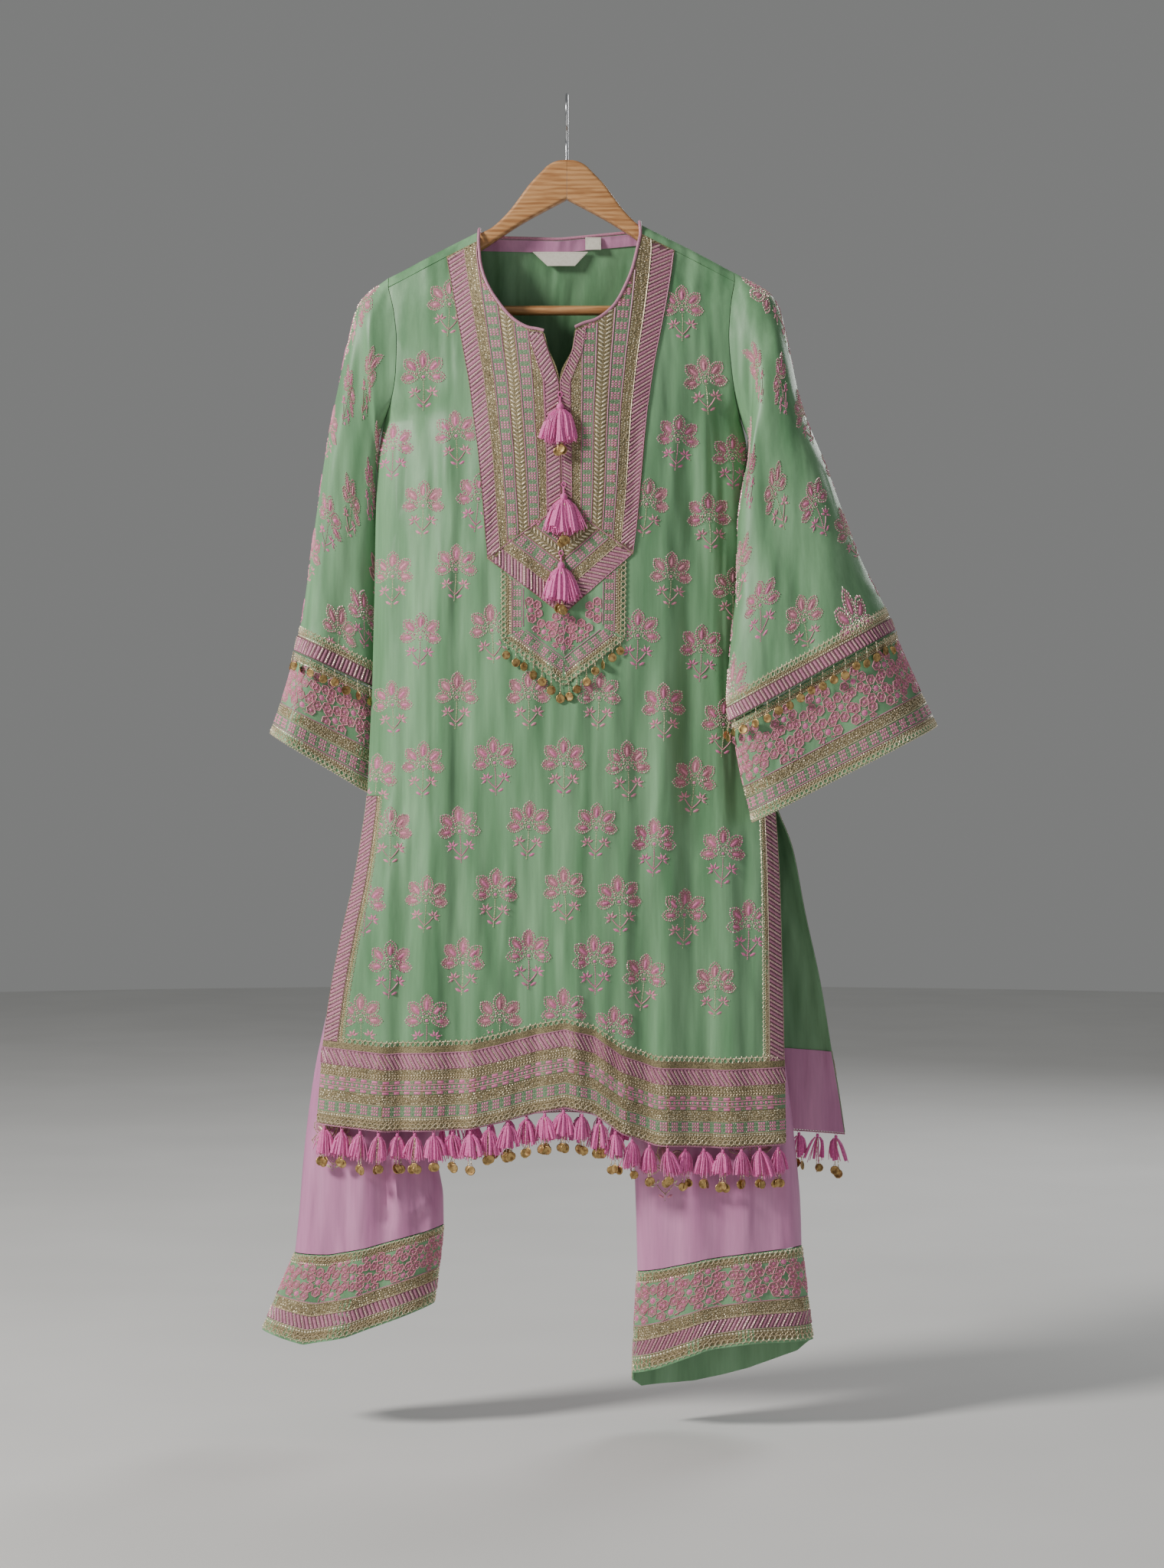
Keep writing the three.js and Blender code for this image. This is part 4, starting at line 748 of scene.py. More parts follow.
# Sleeves: rings of (outer point, inner point, half depth), then the cuff's rings
SLEEVES = {
    LEFT: [((-221, 2, -219), (-213, 9, -394), 34), ((-235, 6, -234), (-213, 18, -424), 34),
           ((-247, 12, -272), (-212, 24, -455), 35), ((-259, 18, -325), (-212, 28, -488), 36),
           ((-272, 22, -389), (-212, 31, -524), 37), ((-283, 25, -459), (-212, 33, -562), 38),
           ((-293, 27, -530), (-212, 34, -602), 40), ((-301, 28, -585), (-212, 34, -640), 41),
           ((-309, 29, -624), (-212, 35, -669), 45.5)],
    RIGHT: [((212, 0, -211.5), (205, -10, -393), 35), ((228, 0, -221.5), (201, -29, -425), 35),
            ((240, -2, -241), (194, -41, -456), 36), ((250, -8, -287), (190, -46, -488), 37),
            ((263, -15, -348), (189, -50, -521), 38), ((290, -22, -418), (188, -53, -556), 40),
            ((327, -28, -520), (183, -58, -603), 44), ((357, -30, -581), (177, -61, -678), 49),
            ((366, -30, -604), (181, -63, -706), 53.5)],
}
CUFFS = {
    LEFT: [((-308, 29, -625), (-214, 35, -670), 41), ((-321, 29, -670), (-216, 36, -722), 44),
           ((-337, 28, -716), (-225, 36, -784), 48)],
    RIGHT: [((365, -30, -605), (183, -63, -707), 49), ((388, -30, -656), (192, -64, -760), 52),
            ((413, -30, -709), (205, -65, -816), 56)],
}
ROUND = 112  # points round a sleeve or a trouser hem
ANGLES = np.arange(ROUND) / ROUND * 2 * np.pi


def ring(outer, inner, half, ripple):
    over = ((1 - np.cos(ANGLES)) / 2)[:, None]
    points = lerp(np.array(inner, float), np.array(outer, float), over)
    points[:, 1] -= half * np.sin(ANGLES) * (1 + ripple * np.sin(3 * ANGLES + 0.6))
    return points


def armhole(side):
    """The armhole seam as a ring: up the front panel's edge, over the ridge and down the back panel's."""
    front = front_grid(np.linspace(ARMPIT_ROW, 0, 26), side, np.array([0.0]))[:, 0]
    back = back_grid(np.linspace(-3, 6, 40), np.array([0.0 if side == LEFT else 4.0]))[:, 0]
    line = np.concatenate([front, back[:-1]])
    line[:, 0] += 0.66 if side == RIGHT else -0.66
    low, high, deep = line[0, 2], line[:, 2].max(), np.abs(line[:, 1]).max()
    turn = np.unwrap(np.arctan2(-line[:, 1] / deep, 1 - 2 * (line[:, 2] - low) / (high - low)))
    line = np.vstack([line, line[:1]])
    turn = np.append(turn, turn[0] + 2 * np.pi)
    return np.stack([np.interp(ANGLES + turn[0], turn, line[:, i]) for i in range(3)], axis=-1)


def sleeve_rows(table, first_ripple, dense, start=None):
    """Rows of a sleeve or a cuff from its table of rings, with start as the armhole's ring above them."""
    rings = [ring(*row, 0.05 + 0.012 * (first_ripple + i)) for i, row in enumerate(table)]
    rows = np.stack(([start] if start is not None else []) + rings)
    count = len(rows) - 1
    v = np.linspace(0, count, count * dense + 1)
    grid = glide(rows, v)
    down = smooth((v - 0.6) / 3)[:, None] if start is not None else np.ones((len(v), 1))
    waves = 1.5 * np.sin(5 * ANGLES + 0.5 + 0.25 * v[:, None]) + 0.9 * np.sin(9 * ANGLES - 0.3 * v[:, None])
    if start is not None:
        up = smooth((count - v) / 1.5)[:, None]
        grid[..., 1] -= waves * down * np.sin(ANGLES) ** 2 * np.sign(np.sin(ANGLES)) * up
    return grid


# Trousers: x and z of the outer and of the inner edge, then half depth, how open the centre seam is, and hem wave
LEG_LEFT = np.array([
    (-150, -440, -9, -440), (-170, -480, -9, -480), (-186, -545, -9, -545), (-201, -672, -9, -668),
    (-205, -712, -9.2, -704), (-208, -745, -12, -732), (-213, -795, -28, -780), (-247, -945, -74, -930),
    (-265, -1012, -95, -1000), (-284, -1098, -122, -1092), (-296, -1190, -146, -1186),
    (-301, -1252, -139, -1238), (-306, -1301, -138.5, -1269.5)], float)
LEG_RIGHT = np.array([
    (133, -440, -8, -440), (153, -480, -8, -480), (171, -545, -8, -545), (188, -672, -8, -668),
    (193, -712, -7.8, -704), (197, -745, -5, -732), (203, -795, 6, -780), (224, -945, 36, -930),
    (234, -1012, 48, -1000), (247, -1098, 63, -1092), (258, -1190, 75, -1190), (263, -1246, 78, -1262),
    (264.5, -1293, 79.5, -1322)], float)
LEG_HALF = np.array([20, 25, 28, 30, 30, 30, 30, 32, 32, 33, 34, 35, 36], float)
LEG_OPEN = np.array([1, 1, 1, 1, 0.55, 0, 0, 0, 0, 0, 0, 0, 0], float)
LEG_HEM = np.array([0] * 12 + [0.35], float)
BAND_LEFT = np.array([(-306.5, -1302, -138.5, -1270.5), (-325, -1345, -143, -1314), (-343, -1388, -149, -1358)], float)
BAND_RIGHT = np.array([(264.7, -1294, 79.3, -1323), (271, -1346, 76, -1380), (277.5, -1399, 73.5, -1437)], float)
BAND_HALF, BAND_HEM = np.array([36, 38, 41], float), np.array([0.35, 0.7, 1])
LEG_WAVE = {
    (LEFT, -1): [(0, 0), (0.25, -20), (0.5, -18), (0.8, -7), (1, 0)],
    (LEFT, 1): [(0, 0), (0.4, 8), (1, 0)],
    (RIGHT, -1): [(0, 0), (0.35, 14), (0.6, 16), (0.85, 4), (1, 0)],
    (RIGHT, 1): [(0, 0), (0.08, -14), (0.35, -27), (0.65, -30), (0.95, -20), (1, -9)],
}
LEG_FOLDS = {LEFT: [(0.3, 0.12, 6), (0.62, 0.14, 7)], RIGHT: [(0.22, 0.12, 5), (0.5, 0.12, 7), (0.78, 0.1, 4)]}
LEG_CREASES = {LEFT: [(0.14, 0.05, 2.2), (0.45, 0.05, -2.4), (0.8, 0.05, 2)],
               RIGHT: [(0.12, 0.05, 2), (0.36, 0.05, -2.2), (0.64, 0.05, -2), (0.9, 0.04, 1.6)]}
# The curled fold above the left hem: points of a line with its width and height out of the cloth
CURLS = [
    ([(-197, -1150), (-204, -1215), (-201, -1262)], 15, -6),
    ([(-190, -1165), (-191, -1235), (-184, -1253), (-172, -1255), (-160, -1243)], 9, 5),
    ([(-160, -1243), (-151, -1252), (-150, -1268), (-163, -1284)], 10, 4),
]
LEG_MID_Y, CENTRE_X = -3.0, -8.5


def near_line(line, x, z):
    """Distance from points to a line in x and z."""
    best = np.full(x.shape, 1e9)
    for (ax, az), (bx, bz) in zip(line[:-1], line[1:]):
        dx, dz = bx - ax, bz - az
        t = np.clip(((x - ax) * dx + (z - az) * dz) / (dx * dx + dz * dz), 0, 1)
        best = np.minimum(best, np.hypot(x - ax - t * dx, z - az - t * dz))
    return best


def leg_face(side, sign, v, u, band=False):
    """Front (sign -1) or back (1) of a trouser leg, or of its hem band, at rows v and shares u across."""
    if band:
        table, half, hem = (BAND_LEFT if side == LEFT else BAND_RIGHT), BAND_HALF, BAND_HEM
        opened = np.zeros(len(half))
    else:
        table, half, hem, opened = (LEG_LEFT if side == LEFT else LEG_RIGHT), LEG_HALF, LEG_HEM, LEG_OPEN
    ox, oz, ix, iz = [column[:, None] for column in table.T]
    u = np.asarray(u)[None]
    z = lerp(oz, iz, u) + hem[:, None] * np.interp(u, *np.array(LEG_WAVE[side, sign], float).T)
    x = lerp(ox, ix, u)
    closed = np.sin(np.pi * np.clip(u, 0, 1)) ** 0.55
    full = lerp(closed, np.sin(np.pi / 2 * u) ** 0.55, opened[:, None])
    x, z, full, half = np.moveaxis(glide(np.stack(np.broadcast_arrays(x, z, full, half[:, None]), axis=-1), v), -1, 0)
    fades = smooth((-620 - z) / 420)
    dip = sum(depth * np.exp(-(((u - at) / width) ** 2)) for at, width, depth in LEG_FOLDS[side])
    depth = np.maximum(half, 0) * full - dip * fades * full
    if not band:
        fine = sum(d * np.exp(-(((u - at) / width) ** 2)) for at, width, d in LEG_CREASES[side])
        depth = depth - fine * fades * full * smooth((v[-1] - np.asarray(v)) / 0.5)[:, None]
        if side == LEFT and sign < 0:
            for line, width, height in CURLS:
                depth = depth + height * np.exp(-(near_line(line, x, z) / width * 1.7) ** 2) * np.minimum(1, full * 1.5)
    return np.stack([x, LEG_MID_Y + sign * (SEAM / 2 + np.maximum(depth, 0)), z], axis=-1)


def leg_ring(side, v, count=ROUND // 2):
    """Rows of a hem band as closed rings: across the front from the side seam, back across the back."""
    share = (1 - np.cos(np.pi * np.arange(count) / count)) / 2
    front = leg_face(side, -1, v, share, band=True)
    back = leg_face(side, 1, v, 1 - share, band=True)
    return np.concatenate([front, back], axis=1)


# Cloth pieces

DENSE = 6  # rows here for each row of the tables
SHARES = np.linspace(0, 2, 47)
MIDDLE = len(SHARES) - 1  # the column of the left half's centre line
YOKE_COLUMN = MIDDLE // 2


def dressed(piece, replaces):
    if replaces:
        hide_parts(*replaces)
    return piece


def cloth_piece(name, cloth, material, replaces=(), out=0.0, wall=CLOTH_WALL, cells=None):
    points, faces = cloth.shell(out, wall, cells)
    return dressed(make_piece(name, points, faces, [material]), replaces)


front_v = np.linspace(0, HEM_ROW, HEM_ROW * DENSE + 1)
front_cells = np.ones((len(front_v) - 1, 2 * len(SHARES) - 1), bool)
front_cells[:, MIDDLE] = False
front = Cloth(np.concatenate([front_grid(front_v, LEFT, SHARES), front_grid(front_v, RIGHT, SHARES[::-1])], axis=1),
              front_cells, weld=(NOTCH_ROW * DENSE, MIDDLE))
cell_row = (np.arange(len(front_v) - 1) / DENSE)[:, None]
cell_column = np.arange(2 * len(SHARES) - 1)[None]
from_side = np.minimum(cell_column, 2 * MIDDLE - cell_column)  # cells from the nearer side edge
in_yoke = (cell_row < YOKE_ROW) & (from_side >= YOKE_COLUMN)
in_bib = (cell_row >= YOKE_ROW) & (cell_row < BIB_ROW) & (from_side >= YOKE_COLUMN + 4)
cloth_piece("kurta_front", front, GREEN, ["front_panel"])
for name, node, look, cells in (("yoke_ground", "yoke", DARK_GOLD, in_yoke), ("bib_ground", "yoke_bib", GREEN, in_bib),
                                ("front_hem_ground", "front_hem_border", DARK_GOLD, cell_row >= BORDER_ROW)):
    cloth_piece(name, front, look, [node], ON_TRIM, TRIM_WALL, cells)

BACK_SPAN = BACK_LAST + len(WRAP)
back_v = np.linspace(-len(WRAP), BACK_LAST, BACK_SPAN * DENSE + 1)
back_c = np.linspace(0, 4, 73)
back_row = back_v[:-1, None]
back_column = back_c[None, :-1]
back_cells = (back_row >= 0) | (back_column < 1) | (back_column >= 3)
back = Cloth(back_grid(back_v, back_c), back_cells, flip=True)
cloth_piece("kurta_back", back, GREEN, ["back_panel"])
in_back_hem = back_row >= BACK_BORDER
cloth_piece("back_hem_ground", back, DARK_GOLD, ["back_hem_border"], ON_TRIM, TRIM_WALL,
            in_back_hem)
in_neck_facing = (back_row >= 0) & (back_row < 1) & (back_column >= 1) & (back_column < 3)
for node, cells in (("back_hem_facing", in_back_hem), ("back_neck_facing", in_neck_facing)):
    cloth_piece(f"{node}_satin", back, FACING, [node], -CLOTH_WALL - TRIM_GAP, TRIM_WALL, cells)

sleeves, cuffs = {}, {}
for side in (LEFT, RIGHT):
    first = armhole(side)
    grid = sleeve_rows(SLEEVES[side], 0, 6, first)
    sleeves[side] = Cloth(grid, closed=True, flip=side == LEFT)
    cloth_piece(f"kurta_sleeve_{side}", sleeves[side], GREEN, [f"sleeve_{side}"])
    cuff_grid = sleeve_rows(CUFFS[side], len(SLEEVES[side]), 10)
    cuffs[side] = Cloth(cuff_grid, closed=True, flip=side == LEFT)
    cloth_piece(f"cuff_ground_{side}", cuffs[side], GREEN, [f"cuff_{side}"], 0, CLOTH_WALL + 0.6)

LEG_SHARES = (1 - np.cos(np.pi * np.arange(41) / 40)) / 2
leg_v = np.linspace(0, len(LEG_LEFT) - 1, (len(LEG_LEFT) - 1) * 5 + 1)
band_v = np.linspace(0, 2, 21)
legs, bands = {}, {}
for side in (LEFT, RIGHT):
    for face, sign in (("front", -1), ("back", 1)):
        grid = leg_face(side, sign, leg_v, LEG_SHARES)
        legs[side, face] = Cloth(grid, flip=(side == LEFT) != (face == "front"))
        cloth_piece(f"trouser_{face}_{side}", legs[side, face], PINK_SATIN, [f"leg_{face}_{side}"])
    bands[side] = Cloth(leg_ring(side, band_v), closed=True, flip=side == RIGHT)
    cloth_piece(f"trouser_hem_{side}", bands[side], GREEN, [f"leg_band_{side}"], 0,
                CLOTH_WALL + 0.6)


# Hanging parts: floss, beads and coins

def strands(paths, radii, sides=3):
    """Points and triangles of many thin closed tubes. paths is (tubes, points along, 3), radii (tubes, points)."""
    count, length = paths.shape[:2]
    way = np.gradient(paths, axis=1)
    way /= np.maximum(np.linalg.norm(way, axis=-1, keepdims=True), 1e-9)
    aside = np.where(np.abs(way[..., 2:]) > 0.92, [1.0, 0.0, 0.0], [0.0, 0.0, 1.0])
    across = np.cross(way, aside)
    across /= np.linalg.norm(across, axis=-1, keepdims=True)
    up = np.cross(across, way)
    turn = (np.arange(sides) / sides * 2 * np.pi)[:, None]
    ring_points = across[:, :, None] * np.cos(turn) + up[:, :, None] * np.sin(turn)
    points = paths[:, :, None] + ring_points * radii[..., None, None]
    ids = np.arange(count * length * sides).reshape(count, length, sides)
    after = np.roll(ids, -1, axis=2)
    a, b, c, d = ids[:, :-1], ids[:, 1:], after[:, 1:], after[:, :-1]
    walls = halves(a, b, c, d)
    caps = []
    for i in range(1, sides - 1):
        caps += [ids[:, 0][:, [0, i, i + 1]], ids[:, -1][:, [0, i + 1, i]]]
    return points.reshape(-1, 3), np.concatenate([walls] + caps)


def lathe(profile, sides):
    """Points and triangles of a turned shape about Z. profile is (radius, height) from low to high."""
    points, rings = [], []
    for radius, height in profile:
        start = len(points)
        if radius == 0:
            rings.append([start] * sides)
            points.append((0, 0, height))
            continue
        rings.append(list(range(start, start + sides)))
        points += [(radius * math.cos(2 * math.pi * i / sides), radius * math.sin(2 * math.pi * i / sides), height)
                   for i in range(sides)]
    triangles = []
    for low, high in zip(rings[:-1], rings[1:]):
        for i in range(sides):
            a, b, c, d = low[i], low[(i + 1) % sides], high[(i + 1) % sides], high[i]
            if a != b:
                triangles.append((a, b, c))
            if c != d:
                triangles.append((a, c, d))
    return np.array(points, float), np.array(triangles)


def hoop(radius, wire, around, sides):
    """Points and triangles of a small ring that stands in the XZ plane."""
    a = (np.arange(around) / around * 2 * np.pi)[:, None]
    b = (np.arange(sides) / sides * 2 * np.pi)[None]
    out = radius + wire * np.cos(b)
    points = np.stack([out * np.cos(a), wire * np.sin(b) + 0 * a, out * np.sin(a)], axis=-1).reshape(-1, 3)
    ids = np.arange(around * sides).reshape(around, sides)
    next_a, next_b = np.roll(ids, -1, 0), np.roll(ids, -1, 1)
    return points, halves(ids, next_b, np.roll(next_a, -1, 1), next_a)


COIN_R = 5.2
COIN_PROFILE = [(0, -0.26), (3.9, -0.26), (4.6, -0.42), (COIN_R, -0.15), (COIN_R, 0.15), (4.6, 0.42), (3.9, 0.26),
                (0, 0.26)]
BEAD_PITCH = 4.6
BUGLE = lathe([(0, -1.5), (0.62, -1.2), (0.62, 1.2), (0, 1.5)], 5)
SEED = lathe([(0, -0.8), (0.8, 0), (0, 0.8)], 5)


def coin_part():
    """A coin that hangs from a ring at the origin."""
    points, triangles = lathe(COIN_PROFILE, 10)
    points = np.column_stack([points[:, 0], -points[:, 2], points[:, 1] - COIN_R - 1.1])
    ring_points, ring_faces = hoop(1.25, 0.26, 6, 3)
    return [(BRASS, points, triangles), (BRASS, ring_points + [0, 0, -0.6], ring_faces)]


def place(work, parts, at, turn, lean=0.0, size=1.0):
    """Copies of a hanging part, leant about X, then turned about the vertical."""
    at = np.asarray(at, float).reshape(-1, 3)
    turn, lean, size = [np.broadcast_to(np.asarray(a, float), len(at))[:, None] for a in (turn, lean, size)]
    for look, points, triangles in parts:
        x, y, z = points.T
        y, z = y * np.cos(lean) - z * np.sin(lean), y * np.sin(lean) + z * np.cos(lean)
        x, y = x * np.cos(turn) - y * np.sin(turn), x * np.sin(turn) + y * np.cos(turn)
        placed = at[:, None] + np.stack([x * size, y * size, z * size], axis=-1)
        faces = triangles[None] + (np.arange(len(at)) * len(points))[:, None, None]
        work.add(look, placed.reshape(-1, 3), faces.reshape(-1, 3))


COIN = coin_part()


def bead_thread(work, top, low):
    """A thread of gold bugle beads from one point down to another, with seed beads between them."""
    top, low = np.asarray(top, float), np.asarray(low, float)
    count = max(1, round(np.linalg.norm(low - top) / BEAD_PITCH))
    for look, bead, shift, turn in ((GOLD, BUGLE, 0.5, 0.0), (PALE, SEED, 1, 0.4)):
        place(work, [(look, *bead)], top + (low - top) * ((np.arange(count) + shift) / count)[:, None], turn)


def tassel(work, root, along, out, tall, wide, thick, hanks, fine, lean=0.0, neck=2.2, head=4.5, spread=0.8):
    """A floss tassel below root. along and out are the ways across and in front of what carries it."""
    root, along, out = [np.asarray(a, float) for a in (root, along, out)]
    down = np.array([0.0, 0.0, -1.0])
    profile = [(0, 0), (0.7 * neck, -0.15 * head), (neck, -0.45 * head), (0.9 * neck, -0.75 * head),
               (0.72 * neck, -head), (0.95 * neck, -1.12 * head), (0, -1.2 * head)][::-1]
    points, triangles = lathe(profile, 9)
    work.add(TASSEL, root + points, triangles)
    for number, radius, sides, share in ((hanks, 0.075 * wide, 5, 0.93), (fine, 0.018 * wide + 0.12, 3, 1.0)):
        a = chance.uniform(0, 2 * np.pi, number)
        full = np.sqrt(chance.uniform(0.05, 1, number)) if number == fine else chance.uniform(0.25, 0.92, number)
        length = tall * share * (1 - 0.12 * np.abs(np.cos(a)) ** 2 * full ** 2) * chance.uniform(0.88, 1.04, number)
        t = np.linspace(0, 1, 5)[None]
        swell = 0.16 + 0.84 * t ** spread
        x = (np.cos(a) * full)[:, None] * swell * wide / 2 + lean * wide * 0.35 * t ** 1.4
        y = (np.sin(a) * full)[:, None] * swell * thick / 2
        x = x + (chance.normal(0, 0.045, (number, 1)) * wide) * t ** 2
        drop = head * 0.9 + (length[:, None] - head) * (t - 0.06 * np.sin(np.pi * t))
        start = np.stack([np.cos(a) * neck * 0.45, np.sin(a) * neck * 0.45], axis=-1)[:, None]
        x, y = x + start[..., 0] * (1 - t), y + start[..., 1] * (1 - t)
        paths = root + x[..., None] * along + y[..., None] * out + drop[..., None] * down
        taper = np.interp(t, [0, 0.25, 0.8, 1], [0.45, 0.8, 1.05, 0.95 if sides == 5 else 0.6])
        radii = radius * chance.uniform(0.8, 1.25, (number, 1)) * taper
        work.add(TASSEL if sides == 5 else FLOSS, *strands(paths, radii, sides))


def coins_below(work, root, along, out, length, count, wide):
    """Bead threads with coins that hang below a tassel's skirt."""
    for i in range(count):
        shift = (i - (count - 1) / 2) * wide + chance.normal(0, 0.5)
        drop = length - chance.uniform(0, 4.5)
        top = root + along * shift * 0.3 + out * (0.6 + 0.9 * i)
        low = root + along * shift + out * (1.2 + 1.5 * (i % 2)) + np.array([0, 0, -(drop - 2 * COIN_R - 2)])
        bead_thread(work, top + [0, 0, -5], low)
        face = math.atan2(out[1], out[0]) + math.pi / 2
        place(work, COIN, low, face + chance.normal(0, 0.45), chance.normal(0, 0.12), chance.uniform(0.94, 1.06))


PITCH, HEM_TASSEL_TALL, COIN_DROP, TAPE_DROP = 21.5, 33, 49, 3.0  # mm between tassels, and down from the hem


def hem_tassels(name, edge, replaces, sign):
    """A cord below a hem, and a tassel with coins at each pitch along it."""
    work = Work()
    lengths = arc_lengths(edge)
    spot = lambda s: points_at(edge, lengths, s)
    s = np.linspace(0, lengths[-1], int(lengths[-1] / 4))
    cord_path = spot(s) + [0, -0.5 * sign, -1.6]
    work.add(PIPING, *strands(cord_path[None], np.full((1, len(s)), 0.85), 6))
    count = round(lengths[-1] / PITCH)
    for k in range(count):
        at = (k + 0.5) / count * lengths[-1]
        way = spot(at + 1) - spot(at - 1)
        way[2] = 0
        way /= np.linalg.norm(way)
        out = np.array([way[1], -way[0], 0]) * -sign
        root = spot(at) + [0, 0, -TAPE_DROP]
        loop_points, loop_faces = hoop(1.5, 0.35, 7, 3)
        work.add(TASSEL, loop_points + root + [0, 0, 0.3], loop_faces)
        tall = HEM_TASSEL_TALL * chance.uniform(0.94, 1.06)
        tassel(work, root + [0, 0, -0.5], way, out, tall, chance.uniform(24, 33), 10.5,
               11 if sign < 0 else 6, 30 if sign < 0 else 8, chance.normal(0, 0.28), neck=2.0, spread=0.62)
        coins_below(work, root, way, out, COIN_DROP + chance.uniform(-3, 2.5), chance.integers(2, 4), 3.4)
    return work.piece(name, [replaces], "tassel_thread")


FLOSS = thread_look("tassel_strands", (0.72, 0.12, 0.40), (0.96, 0.33, 0.64), 0.42, 0.5, 0.3)
front_hem_line = np.delete(front.points[front.ids[-1]], MIDDLE + 1, axis=0)
hem_tassels("front_tassels", front_hem_line, "tassel_string_front", -1)
hem_tassels("back_tassels", back.points[back.ids[-1]], "tassel_string_back", 1)

# Three tassels down the placket, each hung by its loop
for i, (x, z, wide) in enumerate([(-7, -346, 41), (-3, -446, 46), (-6, -522, 41)]):
    work = Work()
    surface = -np.interp(-z, -FRONT_LEFT[:, 5], FRONT_DEPTH) - ON_TRIM
    loop_points, loop_faces = hoop(2.3, 0.55, 14, 5)
    work.add(TASSEL, loop_points * [1, 1, 1.25] + [x, surface - 1.4, z + 3], loop_faces)
    stem = np.array([[(x, surface - 1.6, z), (x, surface - 2.8, z - 3), (x, surface - 4.6, z - 8)]], float)
    work.add(TASSEL, *strands(stem, np.array([[0.9, 1.0, 1.3]]), 6))
    root = np.array([x, surface - 5.4, z - 6.5])
    tassel(work, root, (1, 0, 0), (0, -1, 0), 47, wide, 13, 34, 170, chance.normal(0, 0.08), neck=4.3, head=9,
           spread=0.6)
    coins_below(work, root + [0, -2.5, -6], np.array([1.0, 0, 0]), np.array([0, -1.0, 0]), 56, 3, 2.6)
    work.piece(f"placket_floss_{i + 1}", [f"placket_tassel_{i + 1}"], "tassel_thread")


# Embroidery: fills for a strip, all sunk a little into what they are sewn on

ROOTED = -0.15  # mm, where the foot of a stitch lies
SLAB_STEP, LINE_STEP = 5.0, 4.2  # mm between the points of grounds and of cords
FRONT_FIELD = Field([front], -1)
BACK_FIELD = Field([back], 1)


def oval(length, width, points=6, at=(0.0, 0.0), turn=0.0, pointed=0.0):
    """A counterclockwise outline, an ellipse or with pointed ends."""
    a = np.arange(points) / points * 2 * np.pi
    x, y = length / 2 * np.cos(a), width / 2 * np.sin(a) * (1 - pointed * np.cos(a) ** 2)
    return np.column_stack([at[0] + x * math.cos(turn) - y * math.sin(turn),
                            at[1] + x * math.sin(turn) + y * math.cos(turn)])


def arc(radius, first, last, points, at):
    a = np.linspace(first, last, points)
    return np.column_stack([at[0] + radius * np.cos(a), at[1] + radius * np.sin(a)])


def loop_of(radius, points=8, at=(0.0, 0.0)):
    return arc(radius, 0, 2 * np.pi * (1 - 1 / points), points, at)


def oblong(length, width, at):
    return np.array([(-1, -1), (1, -1), (1, 1), (-1, 1)]) * [length / 2, width / 2] + at


def lay(work, strip, make, at=0.0, across=0.0, **options):
    """Make one motif and stamp it along a strip."""
    motif = Motif()
    make(motif)
    work.stamp(motif.done(), strip, at, across, **options)


def slab(work, strip, low, high, look, thick, **options):
    """A flat ground along a strip."""
    s = np.linspace(0, strip.length, max(2, int(strip.length / SLAB_STEP)) + 1)
    w = np.linspace(low, high, max(2, round((high - low) / SLAB_STEP)) + 1)
    profile = [(low, ROOTED)] + [(x, thick) for x in w] + [(high, ROOTED)]
    n, m = len(s), len(profile)
    points = np.array([(a, b, c) for a in s for b, c in profile])
    ids = np.arange(n * m).reshape(n, m)
    a, b, c, d = ids[:-1, :-1], ids[1:, :-1], ids[1:, 1:], ids[:-1, 1:]
    work.stamp([(look, points, halves(a, b, c, d))], strip, 0, 0, **options)


def lines(work, strip, places, look, width, height, **options):
    """Cords along a strip."""
    s = np.linspace(0, strip.length, max(2, int(strip.length / LINE_STEP)) + 1)
    for w in places:
        lay(work, strip, lambda m: m.cord(look, np.column_stack([s, np.full(len(s), w)]), width, height, ROOTED),
            **options)


def gota(work, strip, low, high, pitch=4.4, shear=0.75, **options):
    """Ribbon bars laid side by side at a slant, a dashed gold thread on every second one."""
    y = np.linspace(low, high, 4)
    path = np.column_stack([-shear * (y - low), y])
    slant = shear * (high - low)
    s = np.arange(0, strip.length + (slant if not strip.closed else 0), pitch)
    slab(work, strip, low, high, SHADE, 0.1, **options)
    lay(work, strip, lambda m: m.cord(RIBBON, path, 0.74 * pitch, 1.1, ROOTED), s, **options)

    def dashes(motif):
        for x, w in along_path(path[[0, -1]] * [1, 0.94] + [0, 0.03 * high], 2.7):
            motif.cord(PALE, [(x, w), (x - 1.7 * shear, w + 1.7)], 1.15, 0.5, 0.8)
    lay(work, strip, dashes, s[::2], **options)


def spread(strip, low, high, pitch):
    """Places all over a band of a strip, a little uneven."""
    rows = max(1, round((high - low) / pitch))
    s = (np.arange(int(strip.length / pitch)) + 0.5) * pitch
    w = low + (np.arange(rows) + 0.5) / rows * (high - low)
    u, v = np.meshgrid(s, w)
    u = u + 0.5 * pitch * (np.arange(rows)[:, None] % 2)
    return [(places + chance.uniform(-0.35, 0.35, places.shape)).ravel() for places in (u, v)]


def curl(look, radius, sweep):
    motif = Motif()
    motif.cord(look, arc(radius, 0, sweep, 5, (0, 0)), 0.85, 0.95, ROOTED)
    return motif.done()


def grain(look):
    motif = Motif()
    motif.bead(look, 0, 0, 1.25, 1.0, 4, ROOTED)
    return motif.done()


KNOTS = {look: [curl(look, 1.15, 4.2), curl(look, 0.95, 5.0), curl(look, 1.3, 2.8), grain(look)]
         for look in (GOLD, PALE)}


